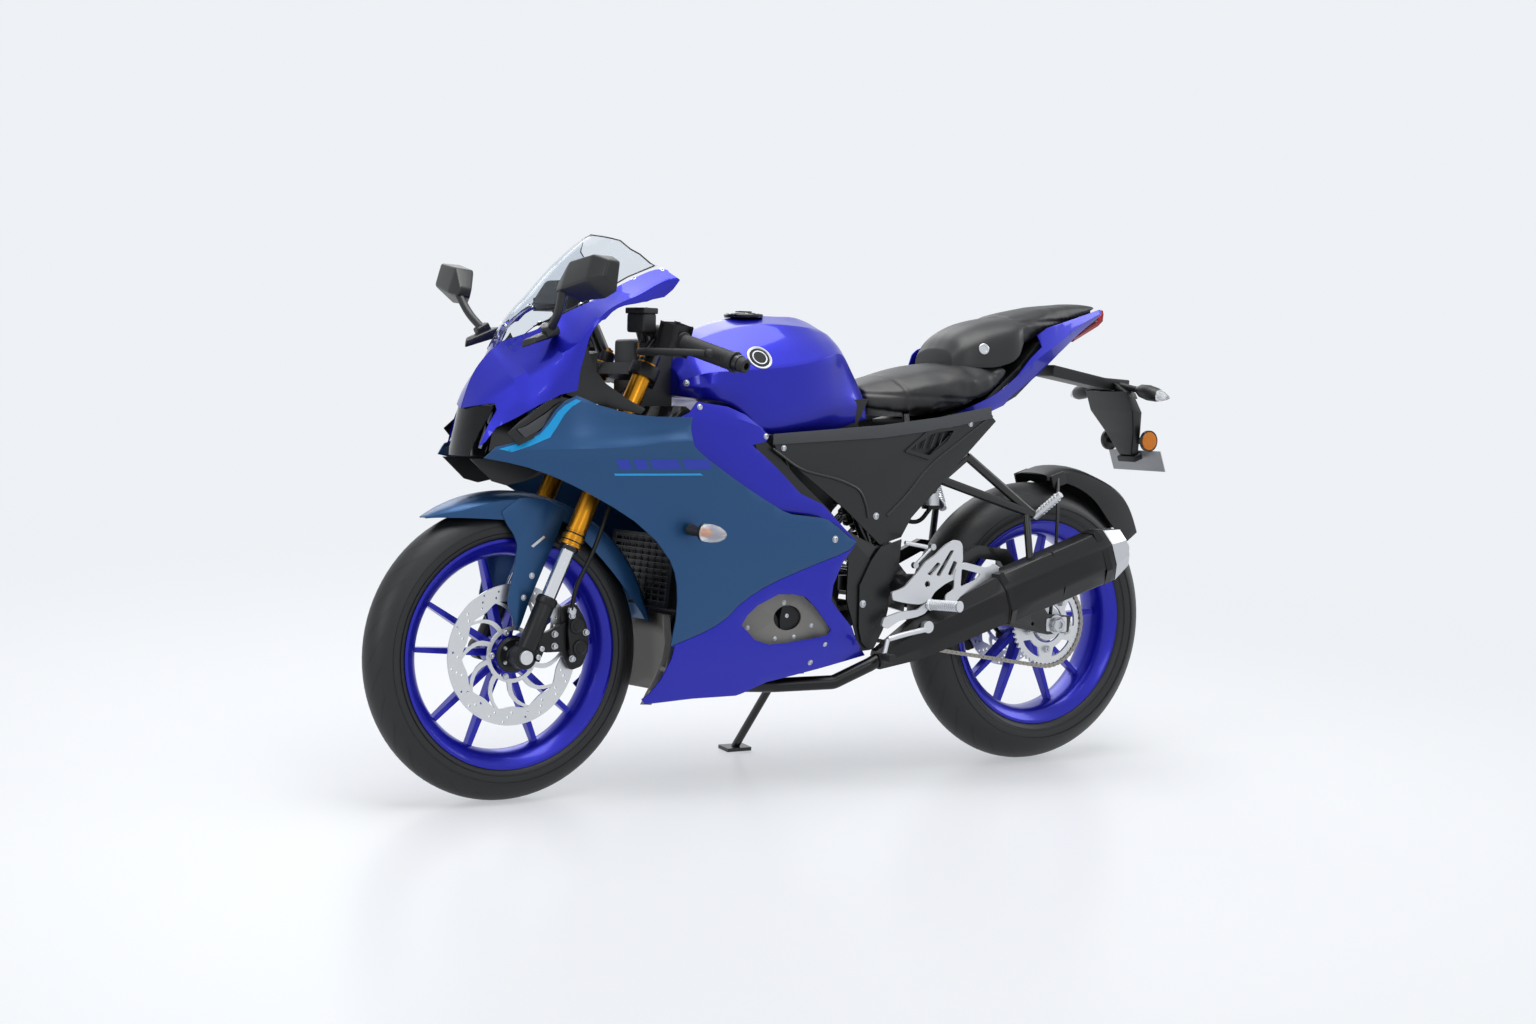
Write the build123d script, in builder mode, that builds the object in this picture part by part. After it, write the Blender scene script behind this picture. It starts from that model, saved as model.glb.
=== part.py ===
from build123d import *
from math import cos, hypot, radians, sin, sqrt, tan
import os

# Sport motorcycle, millimetres.
# Every piece is built on the upright machine: +X forward, +Y to the left,
# +Z up, origin on the floor midway between the axles.
# The parked transform at the end leans the finished pieces onto the stand.

# ---------------------------------------------------------------- driving sizes
wheelbase = 1325.0
front_axle_x = wheelbase / 2
rear_axle_x = -wheelbase / 2
front_tyre_radius = 296.0
rear_tyre_radius = 314.0
front_tyre_width = 100.0
rear_tyre_width = 140.0
rim_flange_radius = 230.0
rim_bead_radius = 218.0
rim_well_radius = 200.0
front_rim_half_width = 43.6
rear_rim_half_width = 57.4
front_crown_radius = 50.0
rear_crown_radius = 72.0
spoke_pairs = 5
spoke_spread = 14.0

rake = 25.0
fork_offset = 48.0
fork_half_spacing = 92.0
fork_outer_radius = 20.0
fork_collar_radius = 22.5
stanchion_radius = 15.0
casting_radius = 19.5
front_axle_radius = 8.0
rear_axle_radius = 9.0
front_axle_half = 110.0
rear_axle_half = 124.0

front_disc_radius = 141.0
rear_disc_radius = 110.0
disc_thickness = 4.5
front_disc_y = 46.0

lean = 6.0
stand_foot_out = 235.0

chain_y = 82.0
chain_width = 15.0
chain_height = 11.0
rear_sprocket_radius = 97.0
front_sprocket_radius = 29.0
sprocket_x = -105.0
sprocket_z = 338.0
swingarm_pivot_x = -190.0
swingarm_pivot_z = 415.0
arm_y = 106.0
arm_width = 18.0

panel_wall = 3.0
panel_gap = 1.0
seat_gap = 0.3
axle_clearance = 0.05
fit_gap = 0.3

front_axle = (front_axle_x, 0, front_tyre_radius)
rear_axle = (rear_axle_x, 0, rear_tyre_radius)
rake_sin = sin(radians(rake))
rake_cos = cos(radians(rake))

os.makedirs("parts", exist_ok=True)


# ---------------------------------------------------------------- shared shapes
def inset(points, wall):
    """Points moved inward by the wall, square to the line that joins them."""
    normals = []
    for (a0, b0), (a1, b1) in zip(points, points[1:]):
        length = hypot(a1 - a0, b1 - b0)
        normals.append(((b1 - b0) / length, -(a1 - a0) / length))
    moved = []
    for i, (a, b) in enumerate(points):
        before = normals[max(i - 1, 0)]
        after = normals[min(i, len(normals) - 1)]
        na, nb = before[0] + after[0], before[1] + after[1]
        scale = 2 * wall / (na * na + nb * nb)
        moved.append((a + na * scale, b + nb * scale))
    return moved


def ribbon(points, wall):
    """Closed outline of a wall whose outer face follows the points."""
    return points + inset(points, wall)[::-1]


def mirrored(points):
    """A left half outline, top to bottom, closed by its right half."""
    right = [(-a, b) for a, b in reversed(points) if abs(a) > 0.001]
    return points + right


def ruled_body(stations, closed):
    """Ruled body through outlines that stand square to X."""
    with BuildPart() as body:
        for x, outline in stations:
            with BuildSketch(Plane.YZ.offset(x)):
                Polygon(*closed(outline), align=None)
        loft(ruled=True)
    return body.part


def skin(stations, wall):
    """Left half of a wall through the stations' outer lines."""
    return ruled_body(stations, lambda outline: ribbon(outline, wall))


def symmetric_body(stations):
    """Closed body through half outlines and their mirror images."""
    return ruled_body(stations, mirrored)


def trimmed(body, outline, depth=420.0):
    """The body's left side inside an outline drawn from the side."""
    with BuildPart() as panel:
        add(body)
        with BuildSketch(Plane.XZ):
            Polygon(*outline, align=None)
        extrude(amount=-depth, mode=Mode.INTERSECT)
    return panel.part


def both_sides(piece):
    """The piece and its mirror image across the machine's middle plane."""
    with BuildPart() as pair:
        add(piece)
        mirror(about=Plane.XZ)
    return pair.part


def plate(outline, inner_y, outer_y):
    """Flat plate with a side-view outline between two distances from the middle."""
    with BuildPart() as piece:
        with BuildSketch(Plane.XZ.offset(-inner_y)):
            Polygon(*outline, align=None)
        extrude(amount=inner_y - outer_y)
    return piece.part


def rod(start, end, radius, bore=0.0):
    """Round bar or tube from one point to another."""
    axis = Vector(*end) - Vector(*start)
    with BuildPart(Plane(origin=start, z_dir=axis)) as piece:
        Cylinder(radius, axis.length, align=(Align.CENTER, Align.CENTER, Align.MIN))
        if bore:
            Cylinder(bore, axis.length, align=(Align.CENTER, Align.CENTER, Align.MIN),
                     mode=Mode.SUBTRACT)
    return piece.part


def cross_cylinder(x, z, radius, y0, y1, bore=0.0):
    """Cylinder along Y from y0 to y1."""
    return rod((x, y0, z), (x, y1, z), radius, bore)


def bent_tube(points, bend, radius):
    """Tube along straight runs joined by arcs."""
    with BuildPart() as piece:
        with BuildLine() as path:
            FilletPolyline(*points, radius=bend)
        start = path.line @ 0
        with BuildSketch(Plane(origin=start, z_dir=path.line % 0)):
            Circle(radius)
        sweep()
    return piece.part


def joined(*pieces):
    """One part that holds all the pieces."""
    with BuildPart() as whole:
        for piece in pieces:
            add(piece)
    return whole.part


def wheel_plane(centre):
    """Plane through the middle of a wheel, for sections of (y, radius) points."""
    return Plane(origin=centre, x_dir=(0, 1, 0), z_dir=(1, 0, 0))


def fork_point(distance, y=0.0, forward=0.0):
    """Point on the fork legs' line, a distance up from the front axle."""
    x = front_axle_x - distance * rake_sin + forward * rake_cos
    z = front_tyre_radius + distance * rake_cos + forward * rake_sin
    return (x, y, z)


# ---------------------------------------------------------------- wheels
def tyre(centre, radius, width, crown, rim_half):
    """Tyre ring: beads inside the rim's flanges, round crown on the road."""
    half = width / 2
    crown_half = 0.92 * half
    shoulder = radius - crown + sqrt(crown**2 - crown_half**2)
    belly = (rim_flange_radius + shoulder) / 2
    lip = (rim_half + 0.6, rim_flange_radius + 2)
    bead = [(rim_half - 6, rim_flange_radius - 1), (rim_half - 9, rim_bead_radius + fit_gap)]
    far_bead = [(-y, r) for y, r in reversed(bead)]
    with BuildPart() as ring:
        with BuildSketch(wheel_plane(centre)):
            with BuildLine():
                ThreePointArc((-crown_half, shoulder), (0, radius), (crown_half, shoulder))
                ThreePointArc((crown_half, shoulder), (half, belly), lip)
                Polyline(lip, *bead, *far_bead, (-lip[0], lip[1]))
                ThreePointArc((-lip[0], lip[1]), (-half, belly), (-crown_half, shoulder))
            make_face()
        revolve(axis=Axis(centre, (0, 1, 0)))
    return ring.part


def wheel(centre, rim_half, hub_radius, hub_half, bore):
    """Cast rim, hub and paired spokes."""
    x, _, z = centre
    flange_inner = rim_half - 5.0
    half_section = [
        (rim_half, rim_flange_radius), (rim_half, rim_flange_radius - 6),
        (flange_inner - 10, rim_well_radius + 4), (flange_inner - 20, rim_well_radius - 2),
        (8, rim_well_radius - 6),
    ]
    outer_section = [
        (6, rim_well_radius), (flange_inner - 18, rim_well_radius + 4),
        (flange_inner - 8, rim_bead_radius), (flange_inner - 3, rim_bead_radius),
        (flange_inner, rim_flange_radius),
    ]
    section = half_section + [(-y, r) for y, r in reversed(half_section)]
    section += [(-y, r) for y, r in reversed(outer_section)] + outer_section
    spoke_root = hub_radius - 4
    spoke_tip = rim_well_radius - 3
    with BuildPart() as cast:
        with BuildSketch(wheel_plane(centre)):
            Polygon(*section, align=None)
        revolve(axis=Axis(centre, (0, 1, 0)))
        with BuildSketch(Plane.XZ.offset(-hub_half)):
            with Locations((x, z)):
                Circle(hub_radius)
        extrude(amount=2 * hub_half)
        for pair in range(spoke_pairs):
            for side in (-1, 1):
                angle = 90 + pair * 360 / spoke_pairs + side * spoke_spread
                turn = radians(angle)
                along = Vector(cos(turn), 0, sin(turn))
                base = Vector(x, 0, z) + along * spoke_root
                root = Plane(origin=base, x_dir=(0, 1, 0), z_dir=along)
                with BuildSketch(root):
                    Rectangle(30, 15)
                with BuildSketch(root.offset(spoke_tip - spoke_root)):
                    Rectangle(20, 10)
                loft()
        with BuildSketch(Plane.XZ.offset(-hub_half - 1)):
            with Locations((x, z)):
                Circle(bore)
        extrude(amount=2 * hub_half + 2, mode=Mode.SUBTRACT)
    return cast.part


def brake_disc(centre, radius, y, carrier):
    """Disc ring on a spoked carrier."""
    x, _, z = centre
    band = 32.0
    with BuildPart() as disc:
        with BuildSketch(Plane.XZ.offset(-y + disc_thickness / 2)):
            with Locations((x, z)):
                Circle(radius)
                Circle(radius - band, mode=Mode.SUBTRACT)
                Circle(carrier + 16)
                Circle(carrier, mode=Mode.SUBTRACT)
                with PolarLocations((radius - band + carrier + 16) / 2, 6):
                    Rectangle(radius - band - carrier - 8, 14)
        extrude(amount=-disc_thickness)
    return disc.part


# ---------------------------------------------------------------- front wheel
front_hub_half = 38.0
front_bore = front_axle_radius + axle_clearance
rear_bore = rear_axle_radius + axle_clearance
rear_hub_half = 52.0

front_tyre = tyre(front_axle, front_tyre_radius, front_tyre_width,
                  front_crown_radius, front_rim_half_width)
front_wheel = wheel(front_axle, front_rim_half_width, 30, front_hub_half, front_bore)
front_disc = brake_disc(front_axle, front_disc_radius, front_disc_y, 30)
with BuildPart() as front_carrier:
    with BuildSketch(Plane.XZ.offset(-front_hub_half)):
        with Locations((front_axle_x, front_tyre_radius)):
            Circle(46)
            Circle(front_bore, mode=Mode.SUBTRACT)
    extrude(amount=-(front_disc_y - disc_thickness / 2 - front_hub_half))
front_carrier = front_carrier.part

# ---------------------------------------------------------------- rear wheel
rear_tyre = tyre(rear_axle, rear_tyre_radius, rear_tyre_width,
                 rear_crown_radius, rear_rim_half_width)
rear_wheel = wheel(rear_axle, rear_rim_half_width, 40, rear_hub_half, rear_bore)
rear_disc_y = -68.0
rear_disc = joined(
    brake_disc(rear_axle, rear_disc_radius, rear_disc_y, 34),
    cross_cylinder(rear_axle_x, rear_tyre_radius, 36,
                   rear_disc_y + disc_thickness / 2, -rear_hub_half, rear_bore))
sprocket_tip_radius = rear_sprocket_radius - chain_height / 2 - 0.6
sprocket_thickness = 6.0
with BuildPart() as rear_sprocket:
    with BuildSketch(Plane.XZ.offset(-chain_y + sprocket_thickness / 2)):
        with Locations((rear_axle_x, rear_tyre_radius)):
            Circle(sprocket_tip_radius)
            Circle(sprocket_tip_radius - 17, mode=Mode.SUBTRACT)
            Circle(46)
            Circle(rear_bore, mode=Mode.SUBTRACT)
            with PolarLocations(60, 5):
                Rectangle(38, 16)
    extrude(amount=-sprocket_thickness)
    with BuildSketch(Plane.XZ.offset(-rear_hub_half)):
        with Locations((rear_axle_x, rear_tyre_radius)):
            Circle(44)
            Circle(rear_bore, mode=Mode.SUBTRACT)
    extrude(amount=-(chain_y - sprocket_thickness / 2 - rear_hub_half))
rear_sprocket = rear_sprocket.part

# ---------------------------------------------------------------- fork and steering
foot_inner = fork_half_spacing - 18
outer_low = 238.0
stanchion_low = 118.0
lower_yoke_at = 395.0
upper_yoke_at = 622.0
fork_top_at = 640.0
yoke_height = 26.0


def fork_legs():
    """Left fork leg's pieces: outer tube, stanchion and foot casting."""
    y = fork_half_spacing
    outer = joined(
        rod(fork_point(outer_low + 22, y), fork_point(fork_top_at, y), fork_outer_radius),
        rod(fork_point(outer_low, y), fork_point(outer_low + 22, y), fork_collar_radius))
    stanchion = rod(fork_point(stanchion_low, y), fork_point(outer_low, y), stanchion_radius)
    foot_face = front_axle_half - 6
    casting = joined(
        rod(fork_point(16, y), fork_point(stanchion_low, y), casting_radius),
        cross_cylinder(front_axle_x, front_tyre_radius, 24, foot_inner, foot_face))
    with BuildPart() as foot:
        add(casting)
        with BuildSketch(Plane.XZ.offset(-foot_inner + 1)):
            with Locations((front_axle_x, front_tyre_radius)):
                Circle(front_axle_radius)
        extrude(amount=-(foot_face - foot_inner + 2), mode=Mode.SUBTRACT)
    return outer, stanchion, foot.part


outer_tube, stanchion, foot_casting = fork_legs()
fork_outers = both_sides(outer_tube)
fork_stanchions = both_sides(stanchion)
fork_feet = both_sides(foot_casting)
spacer_radius = 14.0
spacer_gap = 0.3
front_axle_shaft = joined(
    cross_cylinder(front_axle_x, front_tyre_radius, front_axle_radius,
                   -front_axle_half + 4, front_axle_half - 4),
    cross_cylinder(front_axle_x, front_tyre_radius, 13, front_axle_half - 6, front_axle_half),
    cross_cylinder(front_axle_x, front_tyre_radius, 13, -front_axle_half, -front_axle_half + 6))
spacer_start = front_disc_y - disc_thickness / 2 + spacer_gap
front_spacers = joined(
    cross_cylinder(front_axle_x, front_tyre_radius, spacer_radius,
                   spacer_start, foot_inner, front_axle_radius),
    cross_cylinder(front_axle_x, front_tyre_radius, spacer_radius,
                   -foot_inner, -front_hub_half - spacer_gap, front_axle_radius))


def yoke(at, reach):
    """Clamp plate that joins both legs and the steering stem."""
    middle = fork_point(at, 0, 0)
    level = Plane(origin=middle, x_dir=(0, 1, 0), z_dir=(-rake_sin, 0, rake_cos))
    with BuildPart() as clamp:
        with BuildSketch(level.offset(-yoke_height / 2)):
            with Locations((fork_half_spacing, 0), (-fork_half_spacing, 0)):
                Circle(fork_outer_radius + 10)
            Polygon((-fork_half_spacing, 14), (-40, reach), (40, reach), (fork_half_spacing, 14),
                    (fork_half_spacing, -16), (-fork_half_spacing, -16), align=None)
            with Locations((fork_half_spacing, 0), (-fork_half_spacing, 0)):
                Circle(fork_outer_radius, mode=Mode.SUBTRACT)
        extrude(amount=yoke_height)
    return clamp.part


stem_radius = 15.0
stem_reach = fork_offset + 17
with BuildPart() as yokes:
    add(yoke(lower_yoke_at, stem_reach))
    add(yoke(upper_yoke_at, stem_reach))
    add(rod(fork_point(lower_yoke_at, 0, -fork_offset), fork_point(upper_yoke_at, 0, -fork_offset),
            stem_radius))
yokes = yokes.part

bar_start = (414, 118, 945)
bar_end = (334, 350, 878)
grip_start = (384, 205, 920)
bar_radius = 11.0
bar_bore_radius = 7.0
bar_bore_depth = 35.0
grip_radius = 17.0
riser_top = (412, 100, 950)
with BuildPart() as left_bar:
    add(rod(bar_start, grip_start, bar_radius))
    add(rod(grip_start, bar_end, grip_radius))
    add(rod(fork_point(fork_top_at + fit_gap, fork_half_spacing),
            fork_point(fork_top_at + 22, fork_half_spacing), fork_outer_radius))
    add(rod(fork_point(fork_top_at + 14, fork_half_spacing), riser_top, 14))
    add(rod(riser_top, bar_start, 16))
    with BuildSketch(Plane(origin=bar_end, z_dir=Vector(*bar_end) - Vector(*grip_start))):
        Circle(bar_bore_radius)
    extrude(amount=-bar_bore_depth, mode=Mode.SUBTRACT)
handlebars = both_sides(left_bar.part)

lever_outline = [
    (418, 128), (446, 150), (452, 200), (430, 262), (396, 330), (386, 326), (416, 258),
    (434, 200), (430, 162), (408, 140),
]
lever_height = 895.0
with BuildPart() as lever:
    with BuildSketch(Plane.XY.offset(lever_height)):
        Polygon(*lever_outline, align=None)
    extrude(amount=10)
levers = both_sides(lever.part)
reservoir = rod((440, 147, 938), (436, 151, 983), 20)

# Front mudguard: arched skin over the tyre with side blades down to the fork feet.
mudguard_wall = 3.0
arch_stations = [
    # angle from ahead, height over the tyre, crown half width, side drop
    (57, 30, 14, 4), (72, 27, 48, 16), (90, 28, 63, 24), (110, 26, 63, 26),
    (130, 24, 62, 24), (150, 26, 60, 20), (170, 30, 42, 12),
]


def arch_outline(radius, half, drop):
    """Half section of the mudguard as (y, radius) from the crown outward."""
    return [(0.0, radius), (half * 0.62, radius - 3), (half, radius - drop)]


def arched_skin(centre, tyre_radius, stations, wall):
    """Wall that follows a wheel, through sections square to its rim."""
    with BuildPart() as arch:
        for angle, over_tyre, half, drop in stations:
            radius = tyre_radius + over_tyre
            turn = radians(angle)
            section = Plane(origin=centre, x_dir=(0, 1, 0),
                            z_dir=(sin(turn), 0, -cos(turn)))
            left = arch_outline(radius, half, drop)
            outer = [(-y, r) for y, r in reversed(left)] + left[1:]
            with BuildSketch(section):
                Polygon(*ribbon(outer, wall), align=None)
        loft(ruled=True)
    return arch.part


def about_axle(axle, offsets):
    """Outline from (x, z) offsets that keep their place on an axle."""
    return [(axle[0] + dx, axle[2] + dz) for dx, dz in offsets]


blade_outline = about_axle(front_axle, [
    (37.5, front_tyre_radius - 20), (47.5, front_tyre_radius - 47), (37.5, 204), (41.5, 144),
    (37.5, 104), (17.5, 49), (-0.5, 79), (-12.5, 134), (-30.5, 204),
    (-54.5, front_tyre_radius - 32), (-22.5, front_tyre_radius - 2),
])
front_mudguard = joined(
    arched_skin(front_axle, front_tyre_radius, arch_stations, mudguard_wall),
    both_sides(plate(blade_outline, 61.0, 64.5)))

caliper_outline = about_axle(front_axle, [
    (-102.5, 89), (-134.5, 96), (-156.5, 64), (-162.5, 14), (-150.5, -28), (-122.5, -34),
    (-106.5, -6), (-100.5, 44),
])
caliper_bracket = about_axle(front_axle, [
    (-106.5, 4), (-106.5, 64), (-62.5, 44), (-12.5, 34), (-12.5, 16), (-62.5, 4),
])
caliper_gap = 1.5
front_caliper = joined(
    plate(caliper_outline, front_disc_y + disc_thickness / 2 + caliper_gap, 84),
    plate(caliper_bracket, 60, fork_half_spacing - casting_radius - fit_gap))

# ---------------------------------------------------------------- frame and engine
head_low = lower_yoke_at + yoke_height / 2 + fit_gap
head_high = upper_yoke_at - yoke_height / 2 - fit_gap
head_radius = 27.0
spar_inner = 122.0
spar_outer = 142.0
spar_outline = [
    (330, 792), (388, 735), (330, 700), (200, 640), (20, 520), (-120, 450), (-150, 380),
    (-222, 360), (-228, 440), (-190, 480), (-60, 540), (100, 640), (230, 720),
]
with BuildPart() as head_tube:
    add(rod(fork_point(head_low, 0, -fork_offset), fork_point(head_high, 0, -fork_offset),
            head_radius, stem_radius + axle_clearance))
head_brace = [(396, 735), (372, 790), (330, 792), (330, 735)]
side_brace = [(366, 735), (348, 791), (330, 792), (330, 735)]
brace_reach = 72.0
with BuildPart() as brace_cut:
    add(joined(plate(head_brace, 0, brace_reach), plate(side_brace, brace_reach, spar_inner),
               plate(spar_outline, spar_inner, spar_outer)))
    mirror(about=Plane.XZ)
    add(rod(fork_point(head_low - 40, 0, -fork_offset), fork_point(head_high + 40, 0, -fork_offset),
            head_radius - 4), mode=Mode.SUBTRACT)
stay_outline = [
    (395, 742), (420, 770), (560, 752), (616, 800), (590, 940), (545, 977.7), (500, 977.7),
    (560, 930), (588, 812), (545, 774), (400, 800)]
with BuildPart() as stay:
    add(both_sides(plate(stay_outline, 0, 8)))
    add(rod(fork_point(head_low - 40, 0, -fork_offset), fork_point(head_high + 40, 0, -fork_offset),
            head_radius - 4), mode=Mode.SUBTRACT)
frame = joined(head_tube.part, brace_cut.part, stay.part,
               cross_cylinder(-205, 470, 14, -spar_inner, spar_inner))

engine_outline = [
    (-75, 430), (-60, 250), (210, 235), (265, 300), (255, 430), (290, 600), (215, 640),
    (150, 520), (60, 500), (-40, 500),
]
engine_half = 112.0
engine = joined(
    both_sides(plate(engine_outline, 0, engine_half)),
    both_sides(plate([(-140, 290), (-60, 290), (-60, 380), (-140, 380)], 0, 60)),
    cross_cylinder(sprocket_x, sprocket_z, 10, 50, 90),
    cross_cylinder(sprocket_x, sprocket_z, front_sprocket_radius - chain_height / 2 - fit_gap,
                   chain_y - 5, chain_y + 5),
    both_sides(cross_cylinder(20, 350, 74, engine_half, 142)),
    both_sides(cross_cylinder(150, 330, 60, engine_half, 136)))

radiator_half = 128.0
with BuildPart() as radiator_block:
    with BuildSketch(Plane.XZ.offset(-radiator_half)):
        Polygon((313, 372), (347, 384), (331, 528), (297, 516), align=None)
    extrude(amount=2 * radiator_half)
radiator = radiator_block.part

# ---------------------------------------------------------------- side fairing
# Each station: x, then the outer surface's creases from top to bottom as (y, z).
fairing_stations = [
    (790, [(84, 800), (86, 740), (92, 700), (90, 684), (87, 640), (87, 500), (84, 400),
           (78, 300), (68, 180)]),
    (690, [(128, 800), (132, 735), (142, 704), (136, 688), (128, 640), (125, 520), (120, 400),
           (112, 300), (96, 180)]),
    (600, [(174, 815), (178, 742), (188, 708), (181, 690), (172, 640), (168, 520), (160, 400),
           (150, 300), (126, 180)]),
    (500, [(190, 800), (193, 742), (207, 712), (200, 694), (190, 640), (186, 515), (178, 400),
           (166, 300), (138, 180)]),
    (400, [(197, 790), (197, 750), (214, 722), (208, 704), (197, 640), (194, 500), (187, 400),
           (172, 300), (138, 180)]),
    (300, [(196, 790), (198, 755), (214, 726), (209, 708), (199, 640), (197, 490), (187, 400),
           (170, 300), (132, 180)]),
    (150, [(190, 790), (194, 745), (206, 702), (203, 684), (196, 625), (195, 500), (183, 400),
           (165, 300), (128, 190)]),
    (0, [(180, 760), (184, 720), (193, 680), (193, 655), (191, 600), (191, 510), (177, 400),
         (158, 300), (122, 205)]),
    (-160, [(170, 760), (174, 700), (180, 660), (181, 630), (183, 590), (184, 515), (170, 410),
            (150, 310), (115, 225)]),
]
fairing_skin = skin(fairing_stations, panel_wall)
fairing_joint = [
    (374, 314), (339, 325), (304, 337), (274, 350), (246, 367), (222, 391), (194, 410),
    (163, 426), (127, 441), (78, 458), (29, 474), (-20, 489), (-45, 499), (-63, 515),
]
fairing_outline = [
    (759, 687), (739, 709), (703, 719), (660, 741), (648, 759), (634, 783), (620, 798),
    (597, 811), (576, 803), (556, 794), (514, 783), (472, 775), (427, 772), (346, 772),
    (352, 747), (355, 727), (350, 715), (333, 701), (309, 685), (262, 657), (214, 629),
    (165, 602), (128, 583), (104, 575), (31, 567), (14, 563), (-15, 546), (-45, 524),
] + fairing_joint[::-1] + [
    (368, 368), (369, 408), (372, 438), (379, 464), (391, 488), (424, 528), (470, 565),
    (516, 593), (567, 620), (617, 645), (645, 657), (680, 670), (716, 679),
]
side_fairings = both_sides(trimmed(fairing_skin, fairing_outline))

belly_joint = [(x, z - panel_gap) for x, z in fairing_joint]
belly_outline = belly_joint + [
    (-30, 470), (-12, 425), (-11, 394), (-32, 373), (-76, 333), (-90, 308), (-111, 286),
    (-127, 270), (-66, 258), (-15, 248), (60, 235), (121, 225), (181, 203), (193, 200),
    (301, 200), (413, 195), (422, 206), (406, 217), (384, 246), (368, 286), (364, 313),
]
window_outline = [
    (209, 350), (197, 370), (174, 390), (125, 411), (89, 410), (56, 403), (26, 379),
    (-21, 331), (-13, 319), (24, 314), (86, 308), (135, 306), (172, 318),
]
with BuildPart() as belly_left:
    add(trimmed(fairing_skin, belly_outline))
    with BuildSketch(Plane.XZ):
        Polygon(*window_outline, align=None)
    extrude(amount=-300, mode=Mode.SUBTRACT)
belly_fairings = both_sides(belly_left.part)
liner_inner = 146.0
liner_outer = 149.0
liner_middle = (85, 360)
liner_outline = [(liner_middle[0] + (x - liner_middle[0]) * 1.15,
                  liner_middle[1] + (z - liner_middle[1]) * 1.15) for x, z in window_outline]
with BuildPart() as window_cover:
    with BuildSketch(Plane.XZ.offset(-liner_inner)):
        Polygon(*liner_outline, align=None)
        with Locations((80, 358)):
            Ellipse(34, 26, mode=Mode.SUBTRACT)
    extrude(amount=liner_inner - liner_outer)
belly_liners = both_sides(window_cover.part)

duct_outline = [
    (352, 372), (344, 340), (346, 300), (356, 262), (377, 206), (386, 190), (410, 192),
    (398, 214), (378, 246), (362, 286), (357, 314), (362, 368),
]
fairing_ducts = both_sides(plate(duct_outline, 118, 122))

# ---------------------------------------------------------------- inner panels
inner_stations = [
    (370, [(176, 830), (182, 770), (178, 690), (166, 600)]),
    (240, [(160, 830), (186, 770), (186, 690), (176, 600), ]),
    (150, [(146, 800), (178, 745), (184, 690), (178, 580)]),
    (0, [(150, 770), (166, 720), (174, 640), (174, 560)]),
    (-90, [(150, 770), (160, 700), (170, 600), (172, 500)]),
]
inner_outline = [
    (345, 780), (324, 802), (253, 793), (210, 777), (173, 751), (154, 733), (161, 724),
    (197, 716), (135, 669), (72, 616), (15, 593), (-73, 516), (-40, 505), (60, 540),
    (200, 580), (330, 660), (368, 700), (368, 770),
]
inner_panels = both_sides(trimmed(skin(inner_stations, panel_wall), inner_outline))

# ---------------------------------------------------------------- nose cowl
cowl_stations = [
    (790, [(0, 690), (20, 688), (36, 680), (46, 668)]),
    (771, [(0, 745), (30, 735), (47, 712), (56, 680)]),
    (741, [(0, 836), (53, 794), (76, 752), (90, 706)]),
    (700, [(0, 893), (91, 836), (112, 790), (133, 756)]),
    (678, [(0, 912), (100, 846), (128, 800), (146, 768)]),
    (640, [(84, 938), (142, 880), (159, 830), (164, 780)]),
    (596, [(100, 966), (177, 913), (181, 870), (177, 800)]),
    (577, [(107, 977), (183, 928), (186, 900), (182, 820)]),
    (541, [(120, 995), (187, 956), (187, 950), (186, 900)]),
    (460, [(135, 1040), (180, 1001), (181, 985), (180, 950)]),
    (400, [(152, 1063), (172, 1033), (172, 1010), (170, 980)]),
    (350, [(160, 1056), (168, 1046), (168, 1030), (166, 1005)]),
]
cowl_outline = [
    (800, 686), (771, 687), (745, 718), (729, 746), (696, 770), (663, 792), (628, 812),
    (597, 821), (593, 861), (583, 900), (577, 923), (566, 943), (551, 957), (526, 965),
    (479, 986), (431, 1002), (401, 1008), (381, 1023), (365, 1043), (384, 1058), (400, 1100),
    (800, 1100),
]
lamp_opening = [(-78, 793), (0, 781), (78, 793), (84, 780), (49, 660), (-49, 660), (-84, 780)]
cowl_half = trimmed(skin(cowl_stations, panel_wall), cowl_outline)
with BuildPart() as cowl:
    add(both_sides(cowl_half))
    with BuildSketch(Plane.YZ.offset(690)):
        Polygon(*lamp_opening, align=None)
    extrude(amount=140, mode=Mode.SUBTRACT)
nose_cowl = cowl.part

lamp_body = [
    (-74, 790), (0, 778), (74, 790), (80, 779), (46, 690), (-46, 690), (-80, 779)]
lamp_back = [(y * 0.9, z) for y, z in lamp_body]
with BuildPart() as lamp:
    with BuildSketch(Plane.YZ.offset(640)):
        Polygon(*lamp_back, align=None)
    with BuildSketch(Plane.YZ.offset(700)):
        Polygon(*lamp_body, align=None)
    loft(ruled=True)
headlamp = lamp.part

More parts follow.
